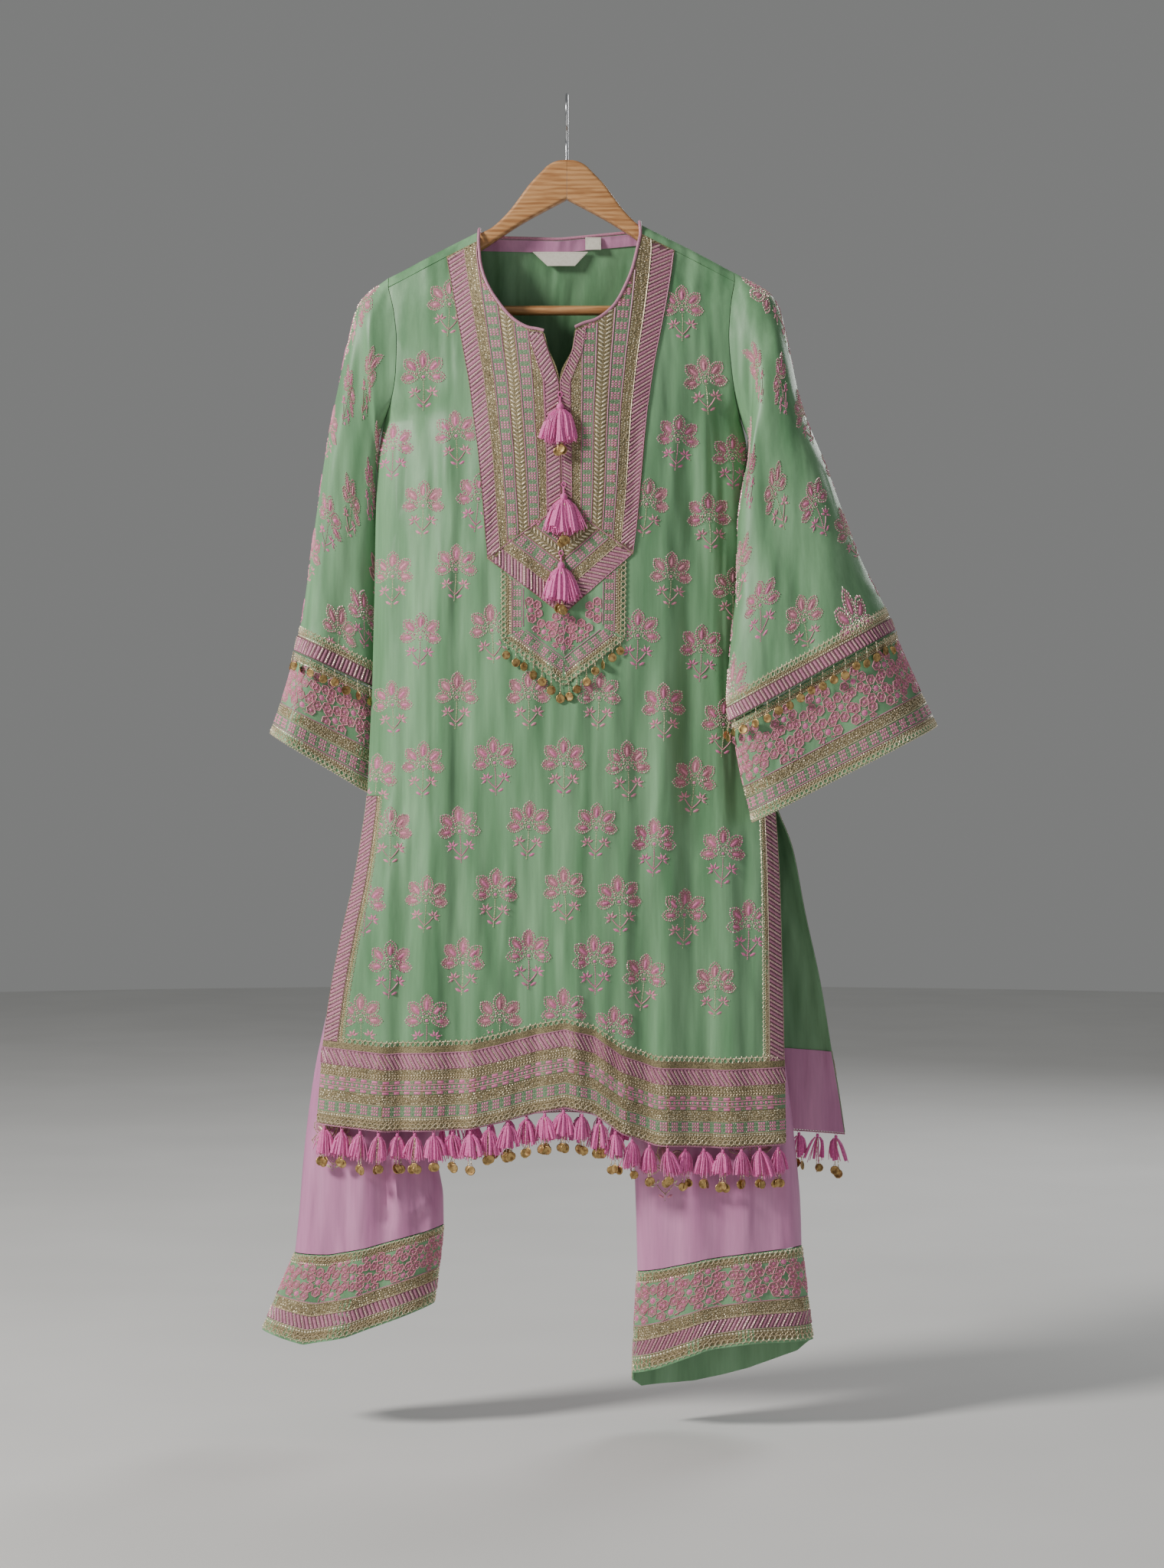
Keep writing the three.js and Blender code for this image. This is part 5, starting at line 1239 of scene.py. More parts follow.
def knots(work, strip, low, high, pitch=2.9, pale=0.6, **options):
    """Metal braid: curls of gold thread close together over a dark ground."""
    slab(work, strip, low, high, DARK_GOLD, 0.1, **options)
    u, v = spread(strip, low, high, pitch)
    kind = np.minimum(chance.integers(0, 6, len(u)), 3)
    light = chance.uniform(0, 1, len(u)) < pale
    turn = chance.uniform(0, 2 * np.pi, len(u))
    for look, chosen in ((PALE, light), (GOLD, ~light)):
        for i in range(4):
            some = chosen & (kind == i)
            work.stamp(KNOTS[look][i], strip, u[some], v[some], turn[some], pitch / 2.9, **options)


def tiles(work, strip, low, high, pitch=13.2, tall=8.6, **options):
    """Satin-stitched squares of three by three with pearl beads, and green between them."""
    slab(work, strip, low, high, LEAF, 0.12, **options)
    wide = high - low - 1.6
    middle = (low + high) / 2

    def square(motif):
        for i in (-1, 0, 1):
            for j in (-1, 0, 1):
                at = (i * tall / 3, middle + j * wide / 3)
                motif.pillow(PINK if (i + j) % 2 else ROSE, oblong(0.29 * tall, 0.28 * wide, at), 0.9, ROOTED, 0.6)
        for i in (-0.5, 0.5):
            for j in (-0.5, 0.5):
                motif.bead(PEARL, i * tall / 3, middle + j * wide / 3, 0.7, 1.15, 4)
        for i in (-1, 1):
            for j in (-1, 0, 1):
                motif.bead(PEARL, i * (tall / 2 + 1.0), middle + j * wide / 2.2, 0.75, 0.95, 4)

    def between(motif):
        for j in (-0.5, 0.5):
            motif.pillow(LEAF, oblong(0.45 * (pitch - tall), 0.36 * wide, (0, middle + j * wide / 2)), 0.6, ROOTED)
    s = np.arange(pitch / 2, strip.length, pitch)
    lay(work, strip, square, s, **options)
    lay(work, strip, between, s + pitch / 2, **options)


def leaves(work, strip, low, high, way=1, pitch=4.8, look=PALE, **options):
    """A plait of two rows of pale gold leaves that meet in points."""
    slab(work, strip, low, high, DARK_GOLD, 0.1, **options)
    middle, half = (low + high) / 2, (high - low) / 2

    def pair(motif):
        for side in (-1, 1):
            turn = math.atan2(side, -way * 0.8)
            at = (-way * 0.4, middle + side * half * 0.47)
            motif.pillow(look, oval(half * 1.3, 0.54 * pitch, 5, at, turn, 0.35), 1.3, ROOTED, 0.5)
        motif.bead(GOLD, way * 1.2, middle, 0.6, 1.2, 4)
        for side in (-1, 1):
            motif.bead(GOLD, 0, middle + side * half * 0.93, 0.55, 0.8, 4)
    lay(work, strip, pair, np.arange(pitch / 2, strip.length, pitch), **options)


def lace(work, strip, foot, tip, pitch, cover=0.45, **options):
    """Scalloped gold lace: knots at its foot, a row of rings and a picot edge of loops towards its tip."""
    way = 1 if tip > foot else -1
    tall = abs(tip - foot)
    slab(work, strip, *sorted((foot, foot + way * tall * cover)), DARK_GOLD, 0.05, **options)
    scale = tall / 12

    def foot_row(motif):
        motif.bead(PALE, 0, foot + way * 1.6 * scale, 1.3 * scale, 1.1, 5, ROOTED)

    def ring_row(motif):
        motif.cord(GOLD, loop_of(1.75 * scale, 6, (0, foot + way * 5.0 * scale)), 1.0, 0.95, ROOTED, True)

    def scallop(motif):
        motif.cord(PALE, loop_of(2.45 * scale, 8, (0, foot + way * 8.6 * scale)), 1.25, 1.15, ROOTED, True)
        for a in (0.2, 0.5, 0.8):
            x, y = 3.1 * scale * math.cos(a * math.pi), 3.1 * scale * math.sin(a * math.pi)
            motif.bead(PALE, x, foot + way * (8.6 * scale + y), 0.9, 1.0, 4)
    lay(work, strip, foot_row, np.arange(1.4, strip.length, 2.9 * scale), **options)
    lay(work, strip, ring_row, np.arange(pitch / 4, strip.length, 4.3 * scale), **options)
    count = max(1, round(strip.length / pitch))
    lay(work, strip, scallop, (np.arange(count) + 0.5) / count * strip.length, **options)


def petal_flower(size):
    """A round flower of ringed petals with a beaded heart."""
    motif = Motif()
    ring, radius = size * 0.62, size * 0.30
    for i in range(6):
        a = 2 * np.pi * i / 6
        at = (ring * math.cos(a), ring * math.sin(a))
        motif.pillow(DUSKY, oval(2 * radius, 2 * radius, 5, at), 0.4, ROOTED, 0.7)
        motif.cord(PINK, loop_of(radius, 6, at), 1.6, 1.25, ROOTED, True)
        for b in (a + 0.8, a + 2.4, a - 0.8, a - 2.4):
            motif.bead(PEARL, at[0] + 0.6 * radius * math.cos(b), at[1] + 0.6 * radius * math.sin(b), 0.8, 1.1, 4)
        motif.pillow(ROSE, oval(0.9 * radius, 0.8 * radius, 4, at, a), 1.2, ROOTED, 0.5)
    motif.pillow(ROSE, oval(0.42 * size, 0.42 * size, 6), 1.1, ROOTED, 0.6)
    motif.beads_along(PEARL, loop_of(0.25 * size, 8), 1.9, 0.75, 1.3, 4)
    return motif.done()


def sprig_motif(petal, bead, line, stem=PALE, fine=True):
    """A flowering sprig: five beaded petals round a ringed heart, over a stem with two leafy branches."""
    motif = Motif()
    t = np.linspace(0, 1, 8)
    for turn, tip, wide in ((90, 29, 13.5), (43, 28, 13.5), (137, 28, 13.5), (-3, 24.5, 12), (183, 24.5, 12)):
        a = math.radians(turn)
        ahead, aside = np.array([math.cos(a), math.sin(a)]), np.array([-math.sin(a), math.cos(a)])

        def outline(scale, low, high):
            r = (low + (high - low) * t)[:, None] * ahead
            w = (scale * wide / 2 * np.sin(np.pi * t ** 1.35) ** 0.62)[:, None] * aside
            return np.vstack([r + w, (r - w)[::-1]])
        motif.pillow(DUSKY, outline(0.92, 5, tip)[1:-1:2], 0.35, ROOTED, 0.7)
        if not fine:
            motif.cord(line, outline(1, 5, tip)[::2], 1.7, 1.1, ROOTED, True)
        else:
            for k, (x, y) in enumerate(along_path(outline(1, 5, tip), 2.25)):
                motif.bead(line if k % 2 else bead, x, y, 1.12, 1.2, 4)
            motif.beads_along(bead, outline(0.62, 8, tip - 3), 2.8, 0.7, 0.95, 4)
        motif.pillow(petal, oval(tip - 15, 4.3, 6, 0.5 * (tip + 5) * ahead, a, 0.3), 1.3, ROOTED, 0.5)
    motif.beads_along(bead, loop_of(3.7, 9), 2.0, 0.85, 1.3, 4)
    motif.pillow(petal, oval(4.6, 4.6, 5), 1.2, ROOTED, 0.5)
    motif.beads_along(stem, [(0, -5), (0.3, -14), (-0.3, -25), (-1, -37)], 1.9 if fine else 3.0, 0.95, 1.1, 4, ROOTED)
    for side in (-1, 1):
        motif.cord(line, [(0, -29), (side * 5, -24), (side * 9, -18.5)], 1.3, 0.9, ROOTED)
        for turn in (-35, 15, 60, 105, 150) if fine else (-20, 50, 120):
            a = math.radians(turn)
            way = np.array([side * math.cos(a), math.sin(a)])
            at = np.array([side * 9.5, -18]) + 4.0 * way
            motif.pillow(line, oval(6.8, 3.1, 5, at, math.atan2(way[1], way[0]), 0.3), 1.1, ROOTED, 0.5)
            if fine:
                motif.bead(bead, side * 9.5 + 7.6 * way[0], -18 + 7.6 * way[1], 0.8, 1.0, 4)
        motif.pillow(petal, oval(8.5, 3.6, 5, (side * 4.8, -31), math.atan2(3.2, side * 6), 0.3), 1.1, ROOTED, 0.5)
    return motif.done()


def inside_polygon(polygon, x, z):
    """Whether points lie in a closed outline."""
    inside = np.zeros(np.shape(x), bool)
    for (ax, az), (bx, bz) in zip(polygon, np.roll(polygon, -1, axis=0)):
        if az == bz:
            continue
        crosses = (az > z) != (bz > z)
        inside ^= crosses & (x < (bx - ax) * (z - az) / (bz - az) + ax)
    return inside


# Yoke: bands that run down each side, turn at the corner and meet in a point

LIFT = ON_TRIM + 0.05
CORNERS = {LEFT: np.array([-88.0, -524.5]), RIGHT: np.array([74.0, -519.0])}
TIP = np.array([-4.3, -588.0])
YOKE_TOTAL = 100.5  # mm from the outer edge to the centre at the notch, the scale of the offsets below
CENTRE_LINE = np.array([(-100, -21), (-200, -16), (-323, -8.5), (-450, -5.3), (-640, -4.3)])
MITRES = {LEFT: np.array([44.0, 31.5]), RIGHT: np.array([-44.0, 31.5])}  # from each corner, where its bands meet
OFFSET_SCALE = {LEFT: 1.0, RIGHT: 1.06}
V_SCALE = 1.05
YOKE_OUTLINE = np.array([tuple(row[2:4]) for row in FRONT_LEFT[:YOKE_ROW + 1]] + [tuple(TIP)]
                        + [tuple(row[2:4]) for row in FRONT_RIGHT[:YOKE_ROW + 1][::-1]]
                        + [tuple(row[4:6]) for row in FRONT_RIGHT[:NOTCH_ROW + 1]]
                        + [tuple(row[4:6]) for row in FRONT_LEFT[:NOTCH_ROW][::-1]])


def yoke_sides(side, low, high):
    """The strip between two offsets down one side of the yoke, and the one along the point below it."""
    table = FRONTS[side]
    z = np.linspace(-142, -640, 167)
    outer = np.interp(-z, -table[:YOKE_ROW + 1, 3], table[:YOKE_ROW + 1, 2])
    slope = (table[YOKE_ROW, 2] - table[YOKE_ROW - 2, 2]) / (table[YOKE_ROW, 3] - table[YOKE_ROW - 2, 3])
    outer = np.where(z < table[YOKE_ROW, 3], table[YOKE_ROW, 2] + slope * (z - table[YOKE_ROW, 3]), outer)
    centre = np.interp(-z, -CENTRE_LINE[:, 0], CENTRE_LINE[:, 1])
    share = lambda d: d * OFFSET_SCALE[side] / YOKE_TOTAL
    first, second = [np.column_stack([lerp(outer, centre, share(d)), z]) for d in (low, high)]
    corner = CORNERS[side]
    way = (TIP - corner) / np.linalg.norm(TIP - corner)
    inward = np.array([-way[1], way[0]]) * (1 if side == LEFT else -1)
    t = np.linspace(-130, 170, 121)[:, None]
    v_first, v_second = [corner + way * t + inward * d * V_SCALE for d in (low, high)]
    if side == RIGHT:
        first, second, v_first, v_second = first[::-1], second[::-1], v_first[::-1], v_second[::-1]
    mitre = MITRES[side]

    def above(x, z):
        turn = (x - corner[0]) * mitre[1] - (z - corner[1]) * mitre[0]
        return turn < 0 if side == LEFT else turn > 0
    side_strip, point_strip = Strip(FRONT_FIELD, first, second), Strip(FRONT_FIELD, v_first, v_second)
    inner = (lambda x: x <= TIP[0]) if side == LEFT else (lambda x: x > TIP[0])
    full = lambda x, z: inside_polygon(YOKE_OUTLINE, x, z)

    def keeper(strip, test):
        def keep(s, w):
            spot = strip.spot(s, w)
            return test(spot[..., 0], spot[..., 1])
        return keep
    return [(side_strip, keeper(side_strip, lambda x, z: full(x, z) & above(x, z))),
            (point_strip, keeper(point_strip, lambda x, z: full(x, z) & ~above(x, z) & inner(x)))]


YOKE_BANDS = [(gota, 1.2, 17.4), (knots, 18.8, 28.8), (tiles, 30.2, 42.2), (leaves, 44, 57.2), (tiles, 58.8, 70.4),
              (knots, 71.8, 82.6)]
YOKE_CORDS = [(0.7, PIPING), (18.1, GOLD)] + [(offset, PIPING) for offset in (29.5, 43.1, 58.0, 71.1, 83.3)]
yoke_work = Work()
for side in (LEFT, RIGHT):
    for fill, low, high in YOKE_BANDS:
        for strip, keep in yoke_sides(side, low, high):
            options = {"keep": keep, "lift": LIFT}
            if fill is leaves:
                options["way"] = 1 if side == LEFT else -1
            fill(yoke_work, strip, 0, strip.width, **options)
    for offset, look in YOKE_CORDS:
        for strip, keep in yoke_sides(side, offset, offset + 1):
            lines(yoke_work, strip, [0], look, 1.5, 1.0, keep=keep, lift=LIFT)
    path = CORNERS[side] + MITRES[side] * np.linspace(0.02, 1.62, 30)[:, None]
    lay(yoke_work, FRONT_FIELD, lambda m: m.cord(PIPING, path, 1.3, 1.0, ROOTED), lift=LIFT)

# Ribbon down both edges of the notch and the centre below it
for side, wide in ((LEFT, 15.5), (RIGHT, 10.5)):
    edge = np.array([tuple(row[4:6]) for row in FRONTS[side][6:NOTCH_ROW + 1]] + [(-6.2, -400), (-5.3, -478)])
    z = np.linspace(edge[0, 1] + 6, -482 if side == LEFT else -474, 90)
    x = np.interp(-z, -edge[:, 1], edge[:, 0])
    outward = -1 if side == LEFT else 1
    way = np.gradient(np.column_stack([x, z]), axis=0)
    way /= np.linalg.norm(way, axis=1, keepdims=True)
    normal = np.column_stack([-way[:, 1], way[:, 0]]) * (-outward)
    normal *= np.sign(normal[:, :1] * outward)
    first = np.column_stack([x, z]) + normal * 0.9
    second = first + normal * wide
    if side == LEFT:
        first, second = second, first
    else:
        first, second = first[::-1], second[::-1]
    strip = Strip(FRONT_FIELD, first, second)
    keep = lambda s, w, strip=strip: inside_polygon(YOKE_OUTLINE, *np.moveaxis(strip.spot(s, w), -1, 0))
    gota(yoke_work, strip, 0.8, strip.width - 0.8, 3.6 if side == RIGHT else 4.4, 0.6, keep=keep, lift=LIFT + 0.35)
    lines(yoke_work, strip, [0.3, strip.width - 0.3], PIPING, 1.2, 1.3, keep=keep, lift=LIFT)
yoke_work.piece("yoke_embroidery", slot="embroidered_border")


# Sprigs scattered over the cloth, on a lattice where every second column is shifted by half

class Around:
    """The cloth round one place, in mm, with the way up its rows as up."""

    def __init__(self, cloth, row, column):
        self.cloth, self.row, self.column = cloth, row, column
        spot = lambda r, c, lift=0.0: cloth.at(*[np.array([v], float) for v in (r, c, lift)])[0]
        across = spot(row, column + 0.5) - spot(row, column - 0.5)
        up = spot(row - 0.5, column) - spot(row + 0.5, column)
        out = spot(row, column, 1.0) - spot(row, column)
        self.per_row, self.per_column = 1 / np.linalg.norm(up), 1 / np.linalg.norm(across)
        if np.dot(np.cross(across, up), out) < 0:
            self.per_column = -self.per_column

    def row_of(self, v):
        return self.row - v * self.per_row

    def at(self, u, v, lift):
        return self.cloth.at(self.row_of(v), self.column + u * self.per_column, lift)


SPRIGS = [sprig_motif(PINK, PEARL, PINK), sprig_motif(ROSE, PEARL, ROSE, ROSE), sprig_motif(ROSE, PEARL, PINK)]
LIGHT_SPRIGS = [sprig_motif(PINK, PEARL, PINK, fine=False), sprig_motif(ROSE, PINK, ROSE, ROSE, fine=False)]
FRONT_SPRIGS = [
    (-229, -1037), (-225, -909), (-214, -769), (-197, -829), (-196, -977), (-195, -686), (-195, -542), (-163, -611),
    (-160, -755), (-156, -904), (-155, -1037), (-123, -536), (-122, -678), (-119, -827), (-115, -973), (-83, -604),
    (-80, -751), (-79, -897), (-74, -1036), (-42, -965), (-42, -822), (-42, -678), (-3, -1030), (-3, -752),
    (-2, -894), (31, -971), (33, -823), (36, -679), (52, -1048), (58, -905), (68, -756), (79, -610), (86, -991),
    (89, -464), (97, -841), (108, -691), (116, -544), (124, -391), (131, -920), (142, -773), (150, -625),
    (159, -479), (165, -1000), (174, -852), (175, -708), (186, -560), (203, -933), (-160, -320), (-160, -464),
    (-195, -398), (-123, -387), (-131, -238), (-98, -458), (129, -245), (155, -325), (186, -410)]
BIB_OUTLINE = np.array([(-73, -500), (-73, -616), (-3, -668), (66, -615), (67, -500)])
BORDER_TALL = 98.0  # mm of embroidery, over the 92 mm of its ground, which is two rows of the tables
BORDER_ROWS = BORDER_TALL / 92 * 2 * DENSE


def hem_line(cloth, rows_up):
    """Rows and columns of a line that runs a number of rows above the hem."""
    last = cloth.ids.shape[0] - 1
    columns = np.arange(cloth.ids.shape[1]) * 1.0
    return np.column_stack([np.full(len(columns), last - rows_up), columns])


def inset(cloth, rows, distance, from_end=False):
    """Columns that lie a distance in mm from the first (or last) column, for each row."""
    columns = np.arange(0, 14) * 1.0
    if from_end:
        columns = cloth.ids.shape[1] - 1 - columns
    found = []
    for row in rows:
        line = cloth.at(np.full(len(columns), row), columns, np.zeros(len(columns)))
        found.append(np.interp(distance, arc_lengths(line), columns))
    return np.array(found)


def line_on(cloth, rows, columns):
    return cloth.at(np.asarray(rows, float), np.asarray(columns, float), np.zeros(len(rows)))


front_top = line_on(front, *hem_line(front, BORDER_ROWS).T)
back_top = line_on(back, *hem_line(back, BORDER_ROWS).T)
SLIT_WIDE = 27.0
slit_rows = np.arange(SLIT_ROW * DENSE, len(front_v) - 1.0)
slit_in = {LEFT: line_on(front, slit_rows, inset(front, slit_rows, SLIT_WIDE)),
           RIGHT: line_on(front, slit_rows, inset(front, slit_rows, SLIT_WIDE, True))}


def on_front(x, z):
    """Where a sprig shows on the front panel: clear of yoke, bib and borders."""
    free = ~inside_polygon(YOKE_OUTLINE, x, z) & ~inside_polygon(BIB_OUTLINE, x, z)
    free &= z > np.interp(x, front_top[:, 0], front_top[:, 2])
    free &= FRONT_FIELD.inside(x, z)
    in_slit = z < slit_in[LEFT][0, 2]
    free &= ~in_slit | (x > np.interp(-z, -slit_in[LEFT][:, 2], slit_in[LEFT][:, 0]))
    in_slit = z < slit_in[RIGHT][0, 2]
    return free & (~in_slit | (x < np.interp(-z, -slit_in[RIGHT][:, 2], slit_in[RIGHT][:, 0])))


def scatter(name, surface, centres, keep, slot="kurta_cloth", motifs=SPRIGS):
    """Sprigs at given places, in turn of each kind, each a little turned and sized."""
    work = Work()
    centres = np.asarray(centres, float)
    kind = np.arange(len(centres)) * 7 % len(motifs)
    for i, motif in enumerate(motifs):
        some = centres[kind == i]
        work.stamp(motif, surface, some[:, 0], some[:, 1], chance.normal(0, 0.04, len(some)),
                   chance.uniform(0.94, 1.02, len(some)), keep=keep)
    return work.piece(name, slot=slot)


scatter("front_sprigs", FRONT_FIELD, FRONT_SPRIGS, on_front)
back_centres = [(x, z) for i, x in enumerate(np.arange(-221, 300, 38.0))
                for z in np.arange(-236 - 74.5 * (i % 2), -1080, -149)]
on_back = lambda x, z: BACK_FIELD.inside(x, z) & (z > np.interp(x, back_top[:, 0], back_top[:, 2]) + 4) & (z < -185)
BACK_SEEN = [(x, z) for x, z in back_centres if BACK_FIELD.inside(np.array([x]), np.array([z]))[0]]
scatter("back_sprigs", BACK_FIELD, BACK_SEEN, on_back, motifs=LIGHT_SPRIGS)


# Trims that several borders share

def picots(work, cloth, drop):
    """Small beads that stand out below a cloth's last row."""
    line = cloth.points[cloth.ids[-1]]
    lengths = arc_lengths(line)
    spots = points_at(line, lengths, np.arange(PICOT_PITCH / 2, lengths[-1], PICOT_PITCH))
    place(work, [(PALE, *SEED)], spots - [0, 0, drop], 0.4, size=1.55)


def ring_strip(cloth, upper=0.0):
    """A strip all round a tube, from its last row up to the upper rows."""
    columns = np.arange(cloth.ids.shape[1]) * 1.0
    last, upper = [np.broadcast_to(np.asarray(row, float), len(columns)) for row in (cloth.ids.shape[0] - 1, upper)]
    return Strip(cloth, np.column_stack([last, columns]), np.column_stack([upper, columns]), closed=True)


def rows_of(work, strip, trims, **options):
    """Several trims on one strip, each given as its function and what that takes."""
    for trim, *numbers in trims:
        trim(work, strip, *numbers, **options)


def flower_rows(work, strip, size, pitch, single, pair, low, high):
    """Flowers round a strip, in turn one in the middle and two beside it, cut off below low and above high."""
    flower = petal_flower(size)
    count = 2 * (int(strip.length / pitch) & ~1)
    for k in range(count):
        for w in pair if k % 2 else (single,):
            work.stamp(flower, strip, (k + 0.5) / count * strip.length, w, chance.uniform(0, 6), 1.0,
                       keep=lambda s, w: (w > low) & (w < high))


PICOT_PITCH = 3.1

# Sleeves: ten columns round each, ribbon and lace at the end, and coins that hang over the cuff
GOTA_TALL = 30.0
for side in (LEFT, RIGHT):
    cloth = sleeves[side]
    work = Work()
    rows = cloth.ids.shape[0] - 1
    for k in range(10):
        column = (k + 0.5) * ROUND / 10
        line = line_on(cloth, np.arange(4, rows - 5), np.full(rows - 9, column))
        lengths = arc_lengths(line)
        for d in np.arange(24 + 72 * (k % 2), lengths[-1] + 20, 144):
            row = 4 + np.interp(d, lengths, np.arange(len(lengths)))
            near = Around(cloth, row, column)
            keep = lambda u, v, near=near: (near.row_of(v) > 1.8) & (near.row_of(v) < rows - 4.5)
            outer = cloth.at(np.array([row]), np.array([column]), np.array([0.0]))[0][1] < 5
            motif = (SPRIGS if outer else LIGHT_SPRIGS)[(k + int(d)) % 2]
            work.stamp(motif, near, 0, 0, chance.normal(0, 0.05), chance.uniform(0.92, 1.0), keep=keep)
    work.piece(f"sleeve_sprigs_{side}", slot="kurta_cloth")

    up = []
    for column in np.arange(ROUND + 1.0):
        line = line_on(cloth, np.arange(rows, rows - 16, -1), np.full(16, column))
        up.append(rows - np.interp(GOTA_TALL, arc_lengths(line), np.arange(16)))
    strip = ring_strip(cloth, up)
    work = Work()
    slab(work, strip, 0.5, 19, SHADE, 0.9)
    gota(work, strip, 2, 17.5, 4.4, 0.25, lift=0.8)
    rows_of(work, strip, ((lines, [0.8], LEAF, 1.8, 1.6), (lines, [18.6], GOLD, 1.4, 1.4), (lace, 18.5, 29.5, 6.0)))
    work.piece(f"sleeve_ribbon_{side}", [f"sleeve_gota_band_{side}"], "gota_ribbon")
    work = Work()
    count = int(strip.length / 13.5)
    at = (np.arange(count) + 0.5) / count * strip.length
    edge = strip.at(at, np.full(count, 0.5), np.full(count, 1.2))
    beyond = strip.at(at, np.full(count, 0.5), np.full(count, 3.2))
    for k in range(count):
        out = beyond[k] - edge[k]
        out[2] = 0
        out /= max(np.linalg.norm(out), 1e-6)
        drop = chance.uniform(8.5, 13)
        top = edge[k] + out * 0.5
        low = top + out * 2.6 + [0, 0, -drop]
        bead_thread(work, top, low)
        place(work, COIN, low, math.atan2(out[1], out[0]) + math.pi / 2 + chance.normal(0, 0.4),
              chance.normal(0, 0.1), chance.uniform(0.92, 1.04))
    work.piece(f"sleeve_coins_{side}", slot="gota_ribbon")

    strip = ring_strip(cuffs[side])
    tall = strip.width
    work = Work()
    rows_of(work, strip, (
        (lace, 12, 0.5, 5.6), (lines, [12.4], PIPING, 1.4, 1.0), (tiles, 13, 26, 12.4), (lines, [26.6], GOLD, 1.4, 1.0),
        (knots, 27.5, 38), (lines, [38.6], PIPING, 1.4, 1.0), (lace, tall - 10.5, tall - 1, 5.6)))
    flower_rows(work, strip, 18.5, 39, 67, (49, 86), 39.5, tall - 9)
    picots(work, cuffs[side], 0.3)
    work.piece(f"cuff_embroidery_{side}", slot="embroidered_border")

# Trouser hems, drawn 108 mm tall and sized to each band
for side in (LEFT, RIGHT):
    strip = ring_strip(bands[side])
    tall = strip.width
    size = tall / 108
    at = lambda w: w * size
    work = Work()
    rows_of(work, strip, (
        (lace, at(17), at(1.5), 6.6, 0.8), (lines, [at(17.6)], PALE, 1.3, 1.0), (gota, at(18.5), at(33.5), 4.4, 0.55),
        (lines, [at(34.3)], GOLD, 1.4, 1.0), (knots, at(35), at(48.5)), (lines, [at(35), at(49)], PALE, 1.2, 1.2),
        (lines, [at(50)], PIPING, 1.2, 1.0), (lace, tall - at(13.5), tall - 0.3, 6.2, 0.8)))
    flower_rows(work, strip, 19.0 * size, 40, at(75), (at(58), at(94)), at(50.5), tall - at(9))
    work.piece(f"hem_band_embroidery_{side}", slot="embroidered_border")


def checker(work, strip, low, high, **options):
    """Pink satin blocks along both edges, gold between them, and a row of small squares in the middle."""
    slab(work, strip, low, high, LEAF, 0.1, **options)
    middle, tall = (low + high) / 2, high - low

    def square(motif):
        motif.pillow(ROSE, oblong(3.4, 0.22 * tall, (0, middle)), 0.95, ROOTED, 0.6)
        motif.bead(PALE, 2.8, middle, 1.0, 1.1, 4)

    def blocks(motif):
        for side in (-1, 1):
            at = middle + side * 0.37 * tall
            motif.pillow(ROSE, oblong(7.6, 0.2 * tall, (0, at)), 1.05, ROOTED, 0.7)
            for shift in (-0.06, 0.06):
                motif.cord(GOLD, [(4.2, at + shift * tall), (8.4, at + shift * tall)], 1.0, 0.9, ROOTED)
    lay(work, strip, square, np.arange(2, strip.length, 5.6), **options)
    lines(work, strip, [middle - 0.2 * tall, middle + 0.2 * tall], PINK, 1.5, 1.0, **options)
    lay(work, strip, blocks, np.arange(4, strip.length - 8, 12.6), **options)


def hem_border(name, cloth, reverse, knot, scallop):
    """The border of the tunic's front or back hem, from its lace up."""
    first, second = hem_line(cloth, 0), hem_line(cloth, BORDER_ROWS)
    if reverse:
        first, second = first[::-1], second[::-1]
    strip = Strip(cloth, first, second)
    work = Work()
    rows_of(work, strip, (
        (lace, 13, 0.2, scallop, 0.85), (lines, [13.4], GOLD, 1.3, 0.9), (tiles, 14, 26.5, 12.6, 8.2),
        (lines, [27.1], GOLD, 1.3, 0.9), (knots, 28, 38.5, knot), (checker, 39, 55), (lines, [55.5], GOLD, 1.2, 0.9),
        (leaves, 56, 62.5, 1, 3.4, GOLD), (knots, 62.8, 67.6, knot, 0.5), (lines, [68.3], PIPING, 1.4, 0.9),
        (gota, 69, 85, 4.4, 0.6), (lines, [85.7], PIPING, 1.4, 0.9)), lift=LIFT)
    lace(work, strip, 86, 98.5, scallop, lift=0.3)
    picots(work, cloth, 0.2)
    work.piece(name, slot="embroidered_border")


hem_border("front_hem_embroidery", front, False, 2.9, 6.2)
hem_border("back_hem_embroidery", back, True, 4.4, 8.8)


def slit_border(face, side, cloth, first_row):
    """Ribbon with lace on its inner side, along the edge of a side slit."""
    rows = np.arange(first_row * DENSE, cloth.ids.shape[0] - BORDER_ROWS, 1.0)
    edge = cloth.ids.shape[1] - 1.0 if side == RIGHT else 0.0
    first = np.column_stack([rows, np.full(len(rows), edge)])
    second = np.column_stack([rows, inset(cloth, rows, SLIT_WIDE, side == RIGHT)])
    strip = Strip(cloth, first, second)
    work = Work()
    slab(work, strip, 0.3, 19.6, SHADE, 1.0)
    gota(work, strip, 1.4, 18.4, 4.4, 0.55, lift=0.9)
    lines(work, strip, [0.7, 19.2], PALE, 1.3, 1.7)
    lace(work, strip, 19.5, 27.5, 5.2)
    work.piece(f"{face}_slit_ribbon_{side}", [f"{face}_slit_border_{side}"], "gota_ribbon")


for face, cloth, first_row in (("front", front, SLIT_ROW), ("back", back, BACK_SLIT + len(WRAP))):
    for side in (LEFT, RIGHT):
        slit_border(face, side, cloth, first_row)


# Bib: lace round its edge, a band of tiles, flowers, and coins along its point

def left_of(a, way, x, z):
    """Above 0 where a place lies to the left of a line through a."""
    return way[0] * (z - a[1]) - way[1] * (x - a[0])


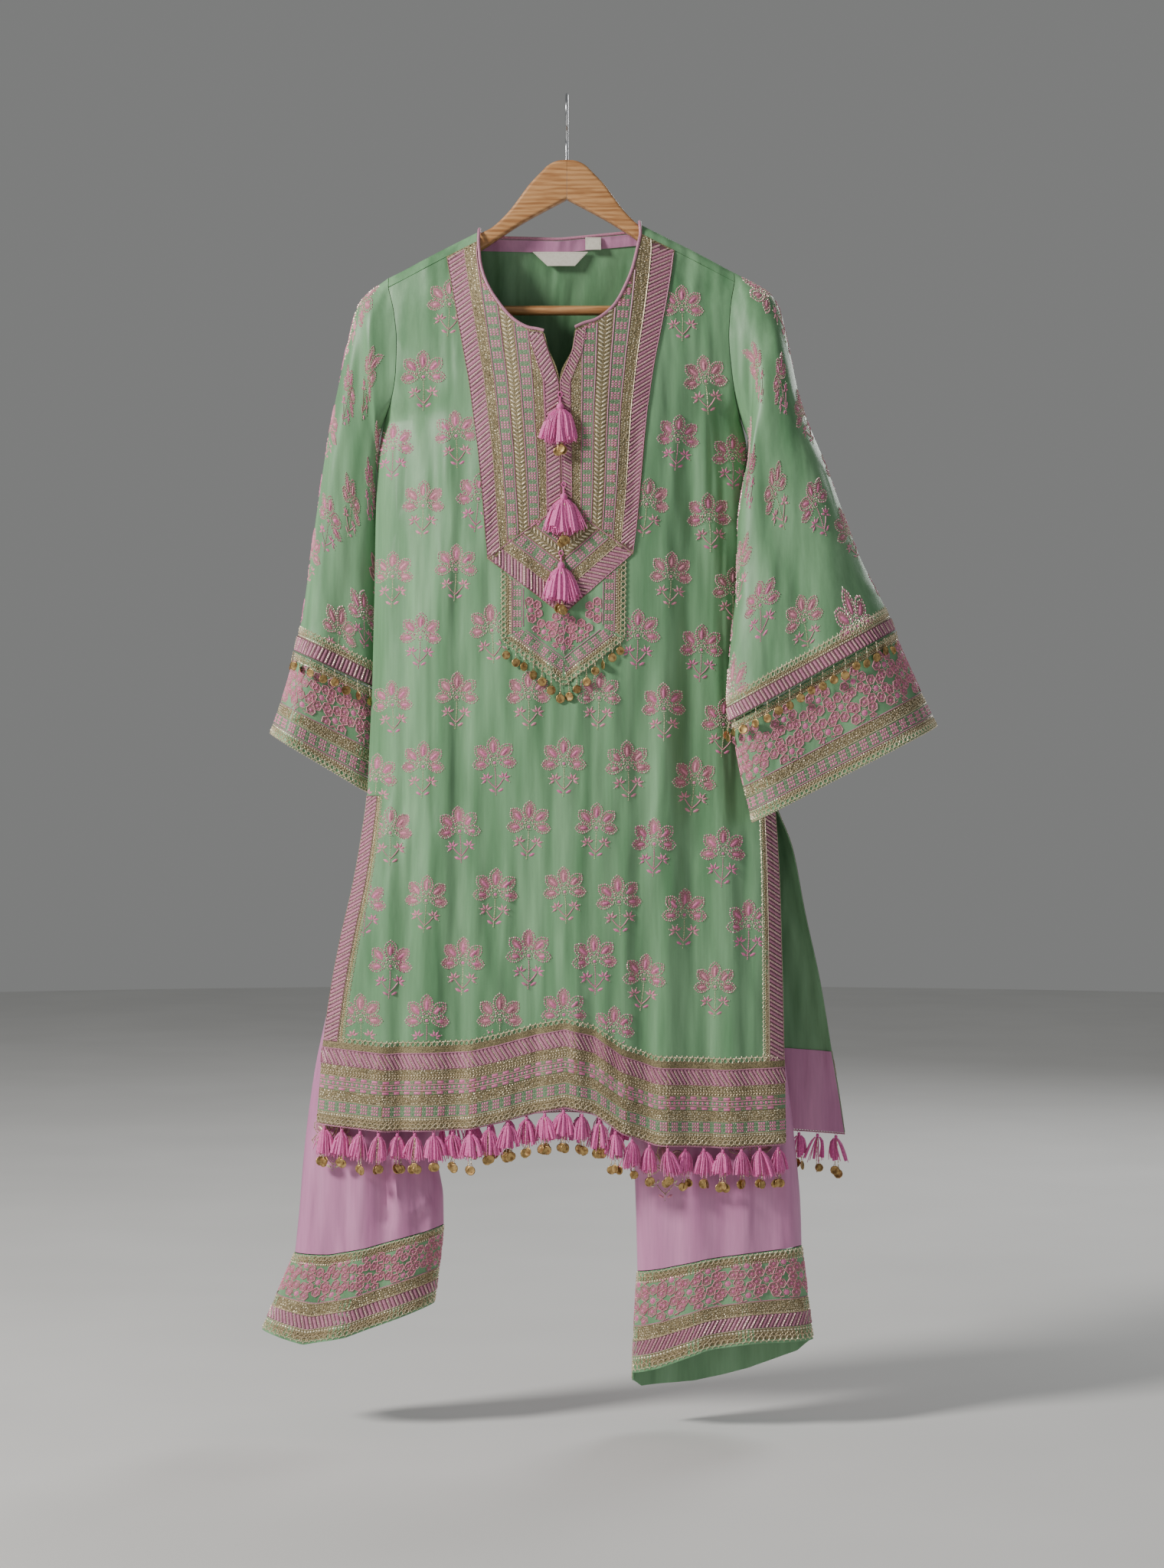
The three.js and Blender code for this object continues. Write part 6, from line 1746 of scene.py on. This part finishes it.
def turned_bands(path, low, high):
    """Straight strips inside each side of an open outline, with tests that mitre them at its corners."""
    path = np.asarray(path, float)
    ways = np.diff(path, axis=0)
    ways /= np.linalg.norm(ways, axis=1, keepdims=True)
    made = []
    for i, way in enumerate(ways):
        a, b = path[i], path[i + 1]
        inward = np.array([-way[1], way[0]])
        span = np.linalg.norm(b - a)
        t = np.linspace(-OVERRUN, span + OVERRUN, int(span + 2 * OVERRUN) // 2)[:, None]
        first, second = a + way * t + inward * low, a + way * t + inward * high
        strip = Strip(FRONT_FIELD, first, second)
        bisectors = []
        if i > 0:
            bisectors.append((a, (ways[i] - ways[i - 1]), 1))
        if i < len(ways) - 1:
            bisectors.append((b, (ways[i + 1] - ways[i]), -1))

        def keep(s, w, strip=strip, bisectors=bisectors):
            spot = strip.spot(s, w)
            fine = np.ones(spot.shape[:-1], bool)
            for corner, bisector, side in bisectors:
                fine &= side * left_of(corner, bisector, spot[..., 0], spot[..., 1]) < 0
            return fine & ~inside_polygon(YOKE_OUTLINE, spot[..., 0], spot[..., 1])
        made.append((strip, keep))
    return made


OVERRUN = 40.0  # mm that each band runs on past its corners, before it is mitred
BIB_PATH = [(-71.5, -505), (-71.5, -614.5), (-3, -665.5), (64, -613.5), (65.5, -505)]
work = Work()
for fill, low, high, options in ((lace, 11, -1.5, {"pitch": 6.0}), (tiles, 11.5, 23, {"pitch": 11.5, "tall": 7.6})):
    for strip, keep in turned_bands(BIB_PATH, min(low, high), max(low, high)):
        span = strip.width
        a, b = (0, span) if low < high else (span, 0)
        fill(work, strip, a, b, keep=keep, lift=LIFT, **options)
for offset in (11.4, 24):
    for strip, keep in turned_bands(BIB_PATH, offset, offset + 1):
        lines(work, strip, [0], PIPING, 1.3, 1.0, keep=keep, lift=LIFT)
BIB_INNER = np.array([(-46, -500), (-46, -600), (-3, -632.5), (39, -600.5), (40, -500)])
in_bib_middle = lambda x, z: inside_polygon(BIB_INNER, x, z) & ~inside_polygon(YOKE_OUTLINE, x, z)
bib_flower = petal_flower(15.5)
for x, z in ((-40, -582), (-25, -606), (16, -606), (34, -582), (-4, -596), (-4, -624), (-58, -560), (50, -560)):
    work.stamp(bib_flower, FRONT_FIELD, x, z, chance.uniform(0, 6), 1.0, LIFT,
               in_bib_middle if abs(x) < 48 else lambda a, b: np.zeros(a.shape, bool))
motif = Motif()
motif.cord(PIPING, [(-3.6, z) for z in np.arange(-590, -634, -4.0)], 1.3, 1.0, ROOTED)
work.stamp(motif.done(), FRONT_FIELD, 0, 0, lift=LIFT)
work.piece("bib_embroidery", slot="embroidered_border")
work = Work()
edge = np.array(BIB_PATH[1:4])
for x, z in along_path(np.vstack([edge[0] + [0, 4], edge[1], edge[2] + [0, 8]]), 12.4):
    top = FRONT_FIELD.at(np.array([x]), np.array([z - 1.0]), np.array([2.0]))[0]
    low = top + [chance.normal(0, 0.4), -1.2, -chance.uniform(7, 11)]
    low[1] = min(low[1], FRONT_FIELD.at(np.array([low[0]]), np.array([low[2] - 6]), np.array([2.0]))[0][1])
    bead_thread(work, top, low)
    place(work, COIN, low, chance.normal(0, 0.45), 0.05, chance.uniform(0.9, 1.05))
work.piece("bib_coins", slot="embroidered_border")

# Gold outline sprigs on the trousers
LEG_FIELD = Field([legs[LEFT, "front"], legs[RIGHT, "front"]], -1)
gold_sprigs = [sprig_motif(GOLD, PALE, GOLD, fine=False), sprig_motif(PINK, PALE, GOLD, fine=False)]
LEG_SPRIGS = [(-262, -1172), (-238, -1058), (-190, -1118), (109, -1205), (150, -1120), (205, -1180), (215, -1050),
              (90, -1100)]
scatter("trouser_sprigs", LEG_FIELD, LEG_SPRIGS, LEG_FIELD.inside, "pink_satin", gold_sprigs)


# Hanger, neck piping, labels, waistband and loops

def tube(path, radii, sides):
    """Points and faces of one round closed tube along a path, without twist."""
    path = np.asarray(path, float)
    way = np.gradient(path, axis=0)
    way /= np.linalg.norm(way, axis=1, keepdims=True)
    across = np.cross(way[0], [1.0, 0, 0] if abs(way[0, 0]) < 0.7 else [0, 1.0, 0])
    turn = np.arange(sides) / sides * 2 * np.pi
    rings = []
    for at, ahead, radius in zip(path, way, np.broadcast_to(radii, len(path))):
        across = across - ahead * np.dot(across, ahead)
        across /= np.linalg.norm(across)
        up = np.cross(ahead, across)
        rings.append(at + radius * (np.cos(turn)[:, None] * across + np.sin(turn)[:, None] * up))
    ids = np.arange(len(path) * sides).reshape(-1, sides)
    after = np.roll(ids, -1, axis=1)
    walls = np.stack([ids[:-1], after[:-1], after[1:], ids[1:]], axis=-1).reshape(-1, 4)
    return np.concatenate(rings), [list(map(int, f)) for f in walls] + [ids[0, ::-1].tolist(), ids[-1].tolist()]


def flowing(points, step):
    """A smooth curve through points, with a place about every step mm."""
    points = np.asarray(points, float)
    at = arc_lengths(points)
    slope = np.gradient(points, at, axis=0)
    s = np.linspace(0, at[-1], int(at[-1] / step) + 1)
    i = np.clip(np.searchsorted(at, s, side="right") - 1, 0, len(at) - 2)
    span = (at[i + 1] - at[i])[:, None]
    t = (s - at[i])[:, None] / span
    return (points[i] * (1 + 2 * t) * (1 - t) ** 2 + span * slope[i] * t * (1 - t) ** 2
            + points[i + 1] * t * t * (3 - 2 * t) + span * slope[i + 1] * t * t * (t - 1))


def ridge(x):
    return np.interp(abs(x), *RIDGE.T)


WOOD_TOP = [(0.15, -71.7), (10, -72.6), (20, -77), (30, -86.5), (41, -98), (54.5, -116), (62, -126), (72, -137),
            (84, -147.7)]
WOOD_LOW = [(211, -215.5), (217, -221.5), (221.3, -228), (222, -235), (220, -247), (214, -253), (202, -253),
            (194, -240), (182, -226), (150, -204), (100, -175.5), (50, -143), (0.15, -116)]
for side, sign in ((LEFT, -1), (RIGHT, 1)):
    top = WOOD_TOP + [(x, ridge(x) - 2.2) for x in (101, 120, 140, 160, 182, 201)]
    outline = flowing([(x, 0, z) for x, z in top + WOOD_LOW], 3.2) * [sign, 1, 1] - [0, 7, 0]
    shape = bmesh.new()
    face = shape.faces.new([shape.verts.new(p) for p in outline])
    grown = bmesh.ops.extrude_face_region(shape, geom=[face])["geom"]
    bmesh.ops.translate(shape, vec=(0, 14, 0), verts=[v for v in grown if isinstance(v, bmesh.types.BMVert)])
    bmesh.ops.recalc_face_normals(shape, faces=shape.faces)
    rims = [e for e in shape.edges if abs(e.verts[0].co.y - e.verts[1].co.y) < 0.1]
    joint = [e for e in rims if max(abs(v.co.x) for v in e.verts) < 1]
    bmesh.ops.bevel(shape, geom=[e for e in rims if e not in joint], offset=3.6, segments=5, profile=0.5,
                    affect="EDGES")
    bmesh.ops.triangulate(shape, faces=[f for f in shape.faces if len(f.verts) > 4])
    shape.verts.index_update()
    half = make_piece(f"hanger_arm_{side}", [v.co[:] for v in shape.verts],
                      [[v.index for v in f.verts] for f in shape.faces], [OAK], sharp=40)
    shape.free()
    dressed(half, [f"hanger_wood_{side}"])

along_bar = np.concatenate([[-208, -207.6, -206.5], np.linspace(-204, 204, 60), [206.5, 207.6, 208]])
thick = 5.5 - np.interp(np.abs(along_bar), [206.4, 207.6, 208], [0, 0.4, 1.2]) + 0.06 * np.sin(along_bar / 31)
dressed(make_piece("hanger_dowel", *tube(np.column_stack([along_bar, 0 * along_bar, 0 * along_bar - 241]), thick, 28),
                   [OAK]), ["hanger_bar"])

bend = np.radians(np.linspace(200, -30, 56))
hook_path = np.concatenate([
    flowing([(0, 0, -84), (0, 0, -62), (0, -0.5, -50), (0, -7, -40), (0, -15, -32.5), (0, -18.79, -25.04)], 1.5)[:-1],
    np.column_stack([0 * bend, 20 * np.cos(bend), -18.2 + 20 * np.sin(bend)])])
left_over = np.linalg.norm(hook_path - hook_path[-1], axis=1)
wire = 1.8 * np.sqrt(np.clip(left_over * (3.6 - left_over), 0.1, 3.24) / 3.24)
wire[left_over > 1.8] = 1.8
dressed(make_piece("hanger_hook_wire", *tube(hook_path, wire, 16), [STEEL]), ["hanger_hook"])

# Neck piping: a satin cord outside the whole neckline
PIPING_R, PIPING_OUT = 1.8, 1.9


def neck_edge(side, row):
    p = front.points[front.ids[int(row * DENSE), MIDDLE + (side == RIGHT)]]
    towards = 1 if side == LEFT else -1
    steep = min(1, max(0, (5.5 - row) / 4))
    return p + [PIPING_OUT * towards * lerp(0.35, 1, steep), -0.6, PIPING_OUT * lerp(1, 0.35, steep)]


def over_ridge(side):
    x, inward = FRONTS[side][0][4], 1 if side == LEFT else -1
    return [(x + inward * a, y, ridge(x) + up) for a, y, up in ((2.3, -9.5, 0), (2.6, -0.5, 4.8), (2.6, 8, 2.4))]


first_row = back.ids[len(WRAP) * DENSE]
back_neck = [back.points[i] + [0, 0, PIPING_OUT] for i in first_row[19:54:2]]
neck_rows = np.arange(0, 6.1, 0.5)
neck_path = ([neck_edge(LEFT, r) for r in neck_rows[::-1]] + over_ridge(LEFT) + back_neck + over_ridge(RIGHT)[::-1]
             + [neck_edge(RIGHT, r) for r in neck_rows])
dressed(make_piece("neck_piping_cord", *tube(flowing(neck_path, 2.2), PIPING_R, 12), [PIPING]), ["neck_piping"])


def blank_label(name, node, corners, y, bulge):
    """A blank woven label with stitches along its top. corners: upper left and right, lower left and right."""
    (ax, az), (bx, bz), (cx, cz), (dx, dz) = corners
    t, s = np.linspace(0, 1, 9)[:, None], np.linspace(0, 1, 23)[None]
    x, z = lerp(lerp(ax, bx, s), lerp(cx, dx, s), t), lerp(lerp(az, bz, s), lerp(cz, dz, s), t)
    cloth = Cloth(np.stack([x, y - bulge * np.sin(np.pi * s) * t, z], axis=-1))
    dressed(make_piece(name, *cloth.shell(0.35, 0.7), [LABEL]), [node])
    strip = Strip(cloth, [(0.5, c) for c in range(23)], [(1.4, c) for c in range(23)])
    work = Work()
    for stitch, at in (([(0, 0.4), (1.5, 0.4)], np.arange(1.2, strip.length - 2.4, 2.4)),
                       ([(0, 0), (0, strip.width * 5)], [1.2, strip.length - 1.2])):
        lay(work, strip, lambda m: m.cord(PALE_THREAD, stitch, 0.45, 0.35, 0.2), at)
    work.piece(f"{name}_stitches", slot="label_tape")


PALE_THREAD = thread_look("label_stitch", (0.42, 0.39, 0.33), (0.58, 0.55, 0.47), sheen=0.1)
blank_label("neck_label_tape", "neck_label", [(-39, -172.2), (24, -172.2), (-22, -188.2), (9, -188.2)], 13.25, 0.3)
blank_label("neck_tag_tape", "neck_tag", [(21, -156.5), (38.5, -156.5), (21, -170.5), (38.5, -170.5)], 9.75, 0.2)

# Waistband: gathered on two lines of elastic stitching, and the loops that hang it from the dowel
WAIST_EDGE = {LEFT: -150.0, RIGHT: 133.0}


def waist_y(x, half, sign):
    """Depth of the waistband's front (sign -1) or back (1) at x, and how far in from its edge that is."""
    u = (x - CENTRE_X) / (np.where(x < CENTRE_X, WAIST_EDGE[LEFT], WAIST_EDGE[RIGHT]) - CENTRE_X)
    return LEG_MID_Y + sign * (SEAM / 2 + half * np.sin(np.pi / 2 * (1 - u)) ** 0.55), 1 - u


swing = np.cos(np.pi * np.arange(84) / 84)
share = np.concatenate([-swing, swing])
x = CENTRE_X + share * np.where(share < 0, CENTRE_X - WAIST_EDGE[LEFT], WAIST_EDGE[RIGHT] - CENTRE_X)
sign = np.concatenate([-np.ones(84), np.ones(84)])
waist_rows = []
for z in np.linspace(-400, -439.7, 9):
    y, inner = waist_y(x, lerp(19, 20, (-400 - z) / 40), sign)
    pull = np.exp(-((z + 413) / 2.2) ** 2) + np.exp(-((z + 427) / 2.2) ** 2)
    ripple = 0.75 * np.sin(x * 2 * np.pi / 9.5 + 0.6 * np.sin(z / 7)) - 0.5 * pull
    gather = ripple * np.sin(np.pi * np.clip(inner, 0, 1))
    waist_rows.append(np.column_stack([x, y + sign * gather, np.full(len(x), z)]))
waist = Cloth(np.array(waist_rows), closed=True)
if waist.normals[60, 1] > 0:
    waist = Cloth(np.array(waist_rows), closed=True, flip=True)
cloth_piece("waistband_satin", waist, PINK_SATIN, ["waistband"], 0, 1.8)

for side, x in ((LEFT, -112.0), (RIGHT, 96.0)):
    a = np.radians(np.linspace(180, 0, 13))
    low = [waist_y(np.array([x]), 19, s)[0][0] - s * 0.4 for s in (-1, 1)]
    line = ([(low[0], -399.5), (low[0] * 0.62 - 2.6, -330), (-6.8, -258)]
            + [(6.2 * math.cos(b), -241 + 6.2 * math.sin(b)) for b in a]
            + [(6.8, -258), (low[1] * 0.62 + 2.6, -330), (low[1], -399.5)])
    line = flowing([(0, y, z) for y, z in line], 3.5)
    u = np.linspace(-4, 4, 7)
    grid = np.array([[(x + c, y, z) for c in u] for _, y, z in line])
    tape = Cloth(grid)
    if tape.normals[len(line) // 2 * len(u) + 3, 2] < 0:
        tape = Cloth(grid, flip=True)
    cloth_piece(f"loop_tape_{side}", tape, PINK_SATIN, [f"hanger_loop_{side}"], 1.0, 1.0)


# Cloth: the width, length and area of each sheet, measured on the modelled cloth and then left unused

def declare(cloth):
    grid = cloth.points[cloth.ids]
    width = np.linalg.norm(np.diff(grid, axis=1), axis=2).sum(1).max() * MM
    length = np.linalg.norm(np.diff(grid, axis=0), axis=2).sum(0).max() * MM
    area = min(cloth.area(), width * length)


declare(front)
declare(back)
for side in (LEFT, RIGHT):
    declare(sleeves[side])
    declare(cuffs[side])
    for face in ("front", "back"):
        declare(legs[side, face])
    declare(bands[side])
declare(waist)


# Stage, light and surroundings

def disc(name, radius, z, material, sides=96):
    """A flat round floor, in m."""
    mesh = bpy.data.meshes.new(name)
    a = np.arange(sides) / sides * 2 * np.pi
    points = np.column_stack([radius * np.cos(a), radius * np.sin(a), np.full(sides, z)])
    mesh.from_pydata(points.tolist(), [], [list(range(sides))])
    mesh.materials.append(material)
    made = bpy.data.objects.new(name, mesh)
    bpy.context.scene.collection.objects.link(made)
    return made


floor_look = Look("floor", Roughness=0.9)
floor_shade = floor_look.ramp(floor_look.noise(3, 2), (0.3, (0.66, 0.66, 0.65)), (0.7, (0.70, 0.70, 0.69)))
floor_look.feed("Base Color", floor_shade)
floor = disc("floor", 7.0, -1.5, floor_look.material)

world = bpy.data.worlds.new("studio")
world.use_nodes = True
world.node_tree.nodes["Background"].inputs["Color"].default_value = (0.86, 0.87, 0.86, 1)
world.node_tree.nodes["Background"].inputs["Strength"].default_value = 0.24
bpy.context.scene.world = world


def soft_light(name, place, target, size, power, colour=(1, 1, 1)):
    """A round area light that shines from one place, in m, to another."""
    data = bpy.data.lights.new(name, "AREA")
    data.shape = "DISK"
    data.size, data.energy, data.color = size, power, colour
    lamp = bpy.data.objects.new(name, data)
    lamp.location = place
    lamp.rotation_euler = (Vector(target) - Vector(place)).to_track_quat("-Z", "Y").to_euler()
    bpy.context.scene.collection.objects.link(lamp)


soft_light("key", (-2.9, -1.7, 1.2), (0, 0, -0.7), 0.8, 175, (1.0, 0.97, 0.93))
soft_light("fill", (2.6, -2.6, -0.3), (0, 0, -0.8), 2.2, 9, (0.94, 0.97, 1.0))
soft_light("rim", (1.6, 2.6, 0.8), (0, 0, -0.7), 1.4, 40)
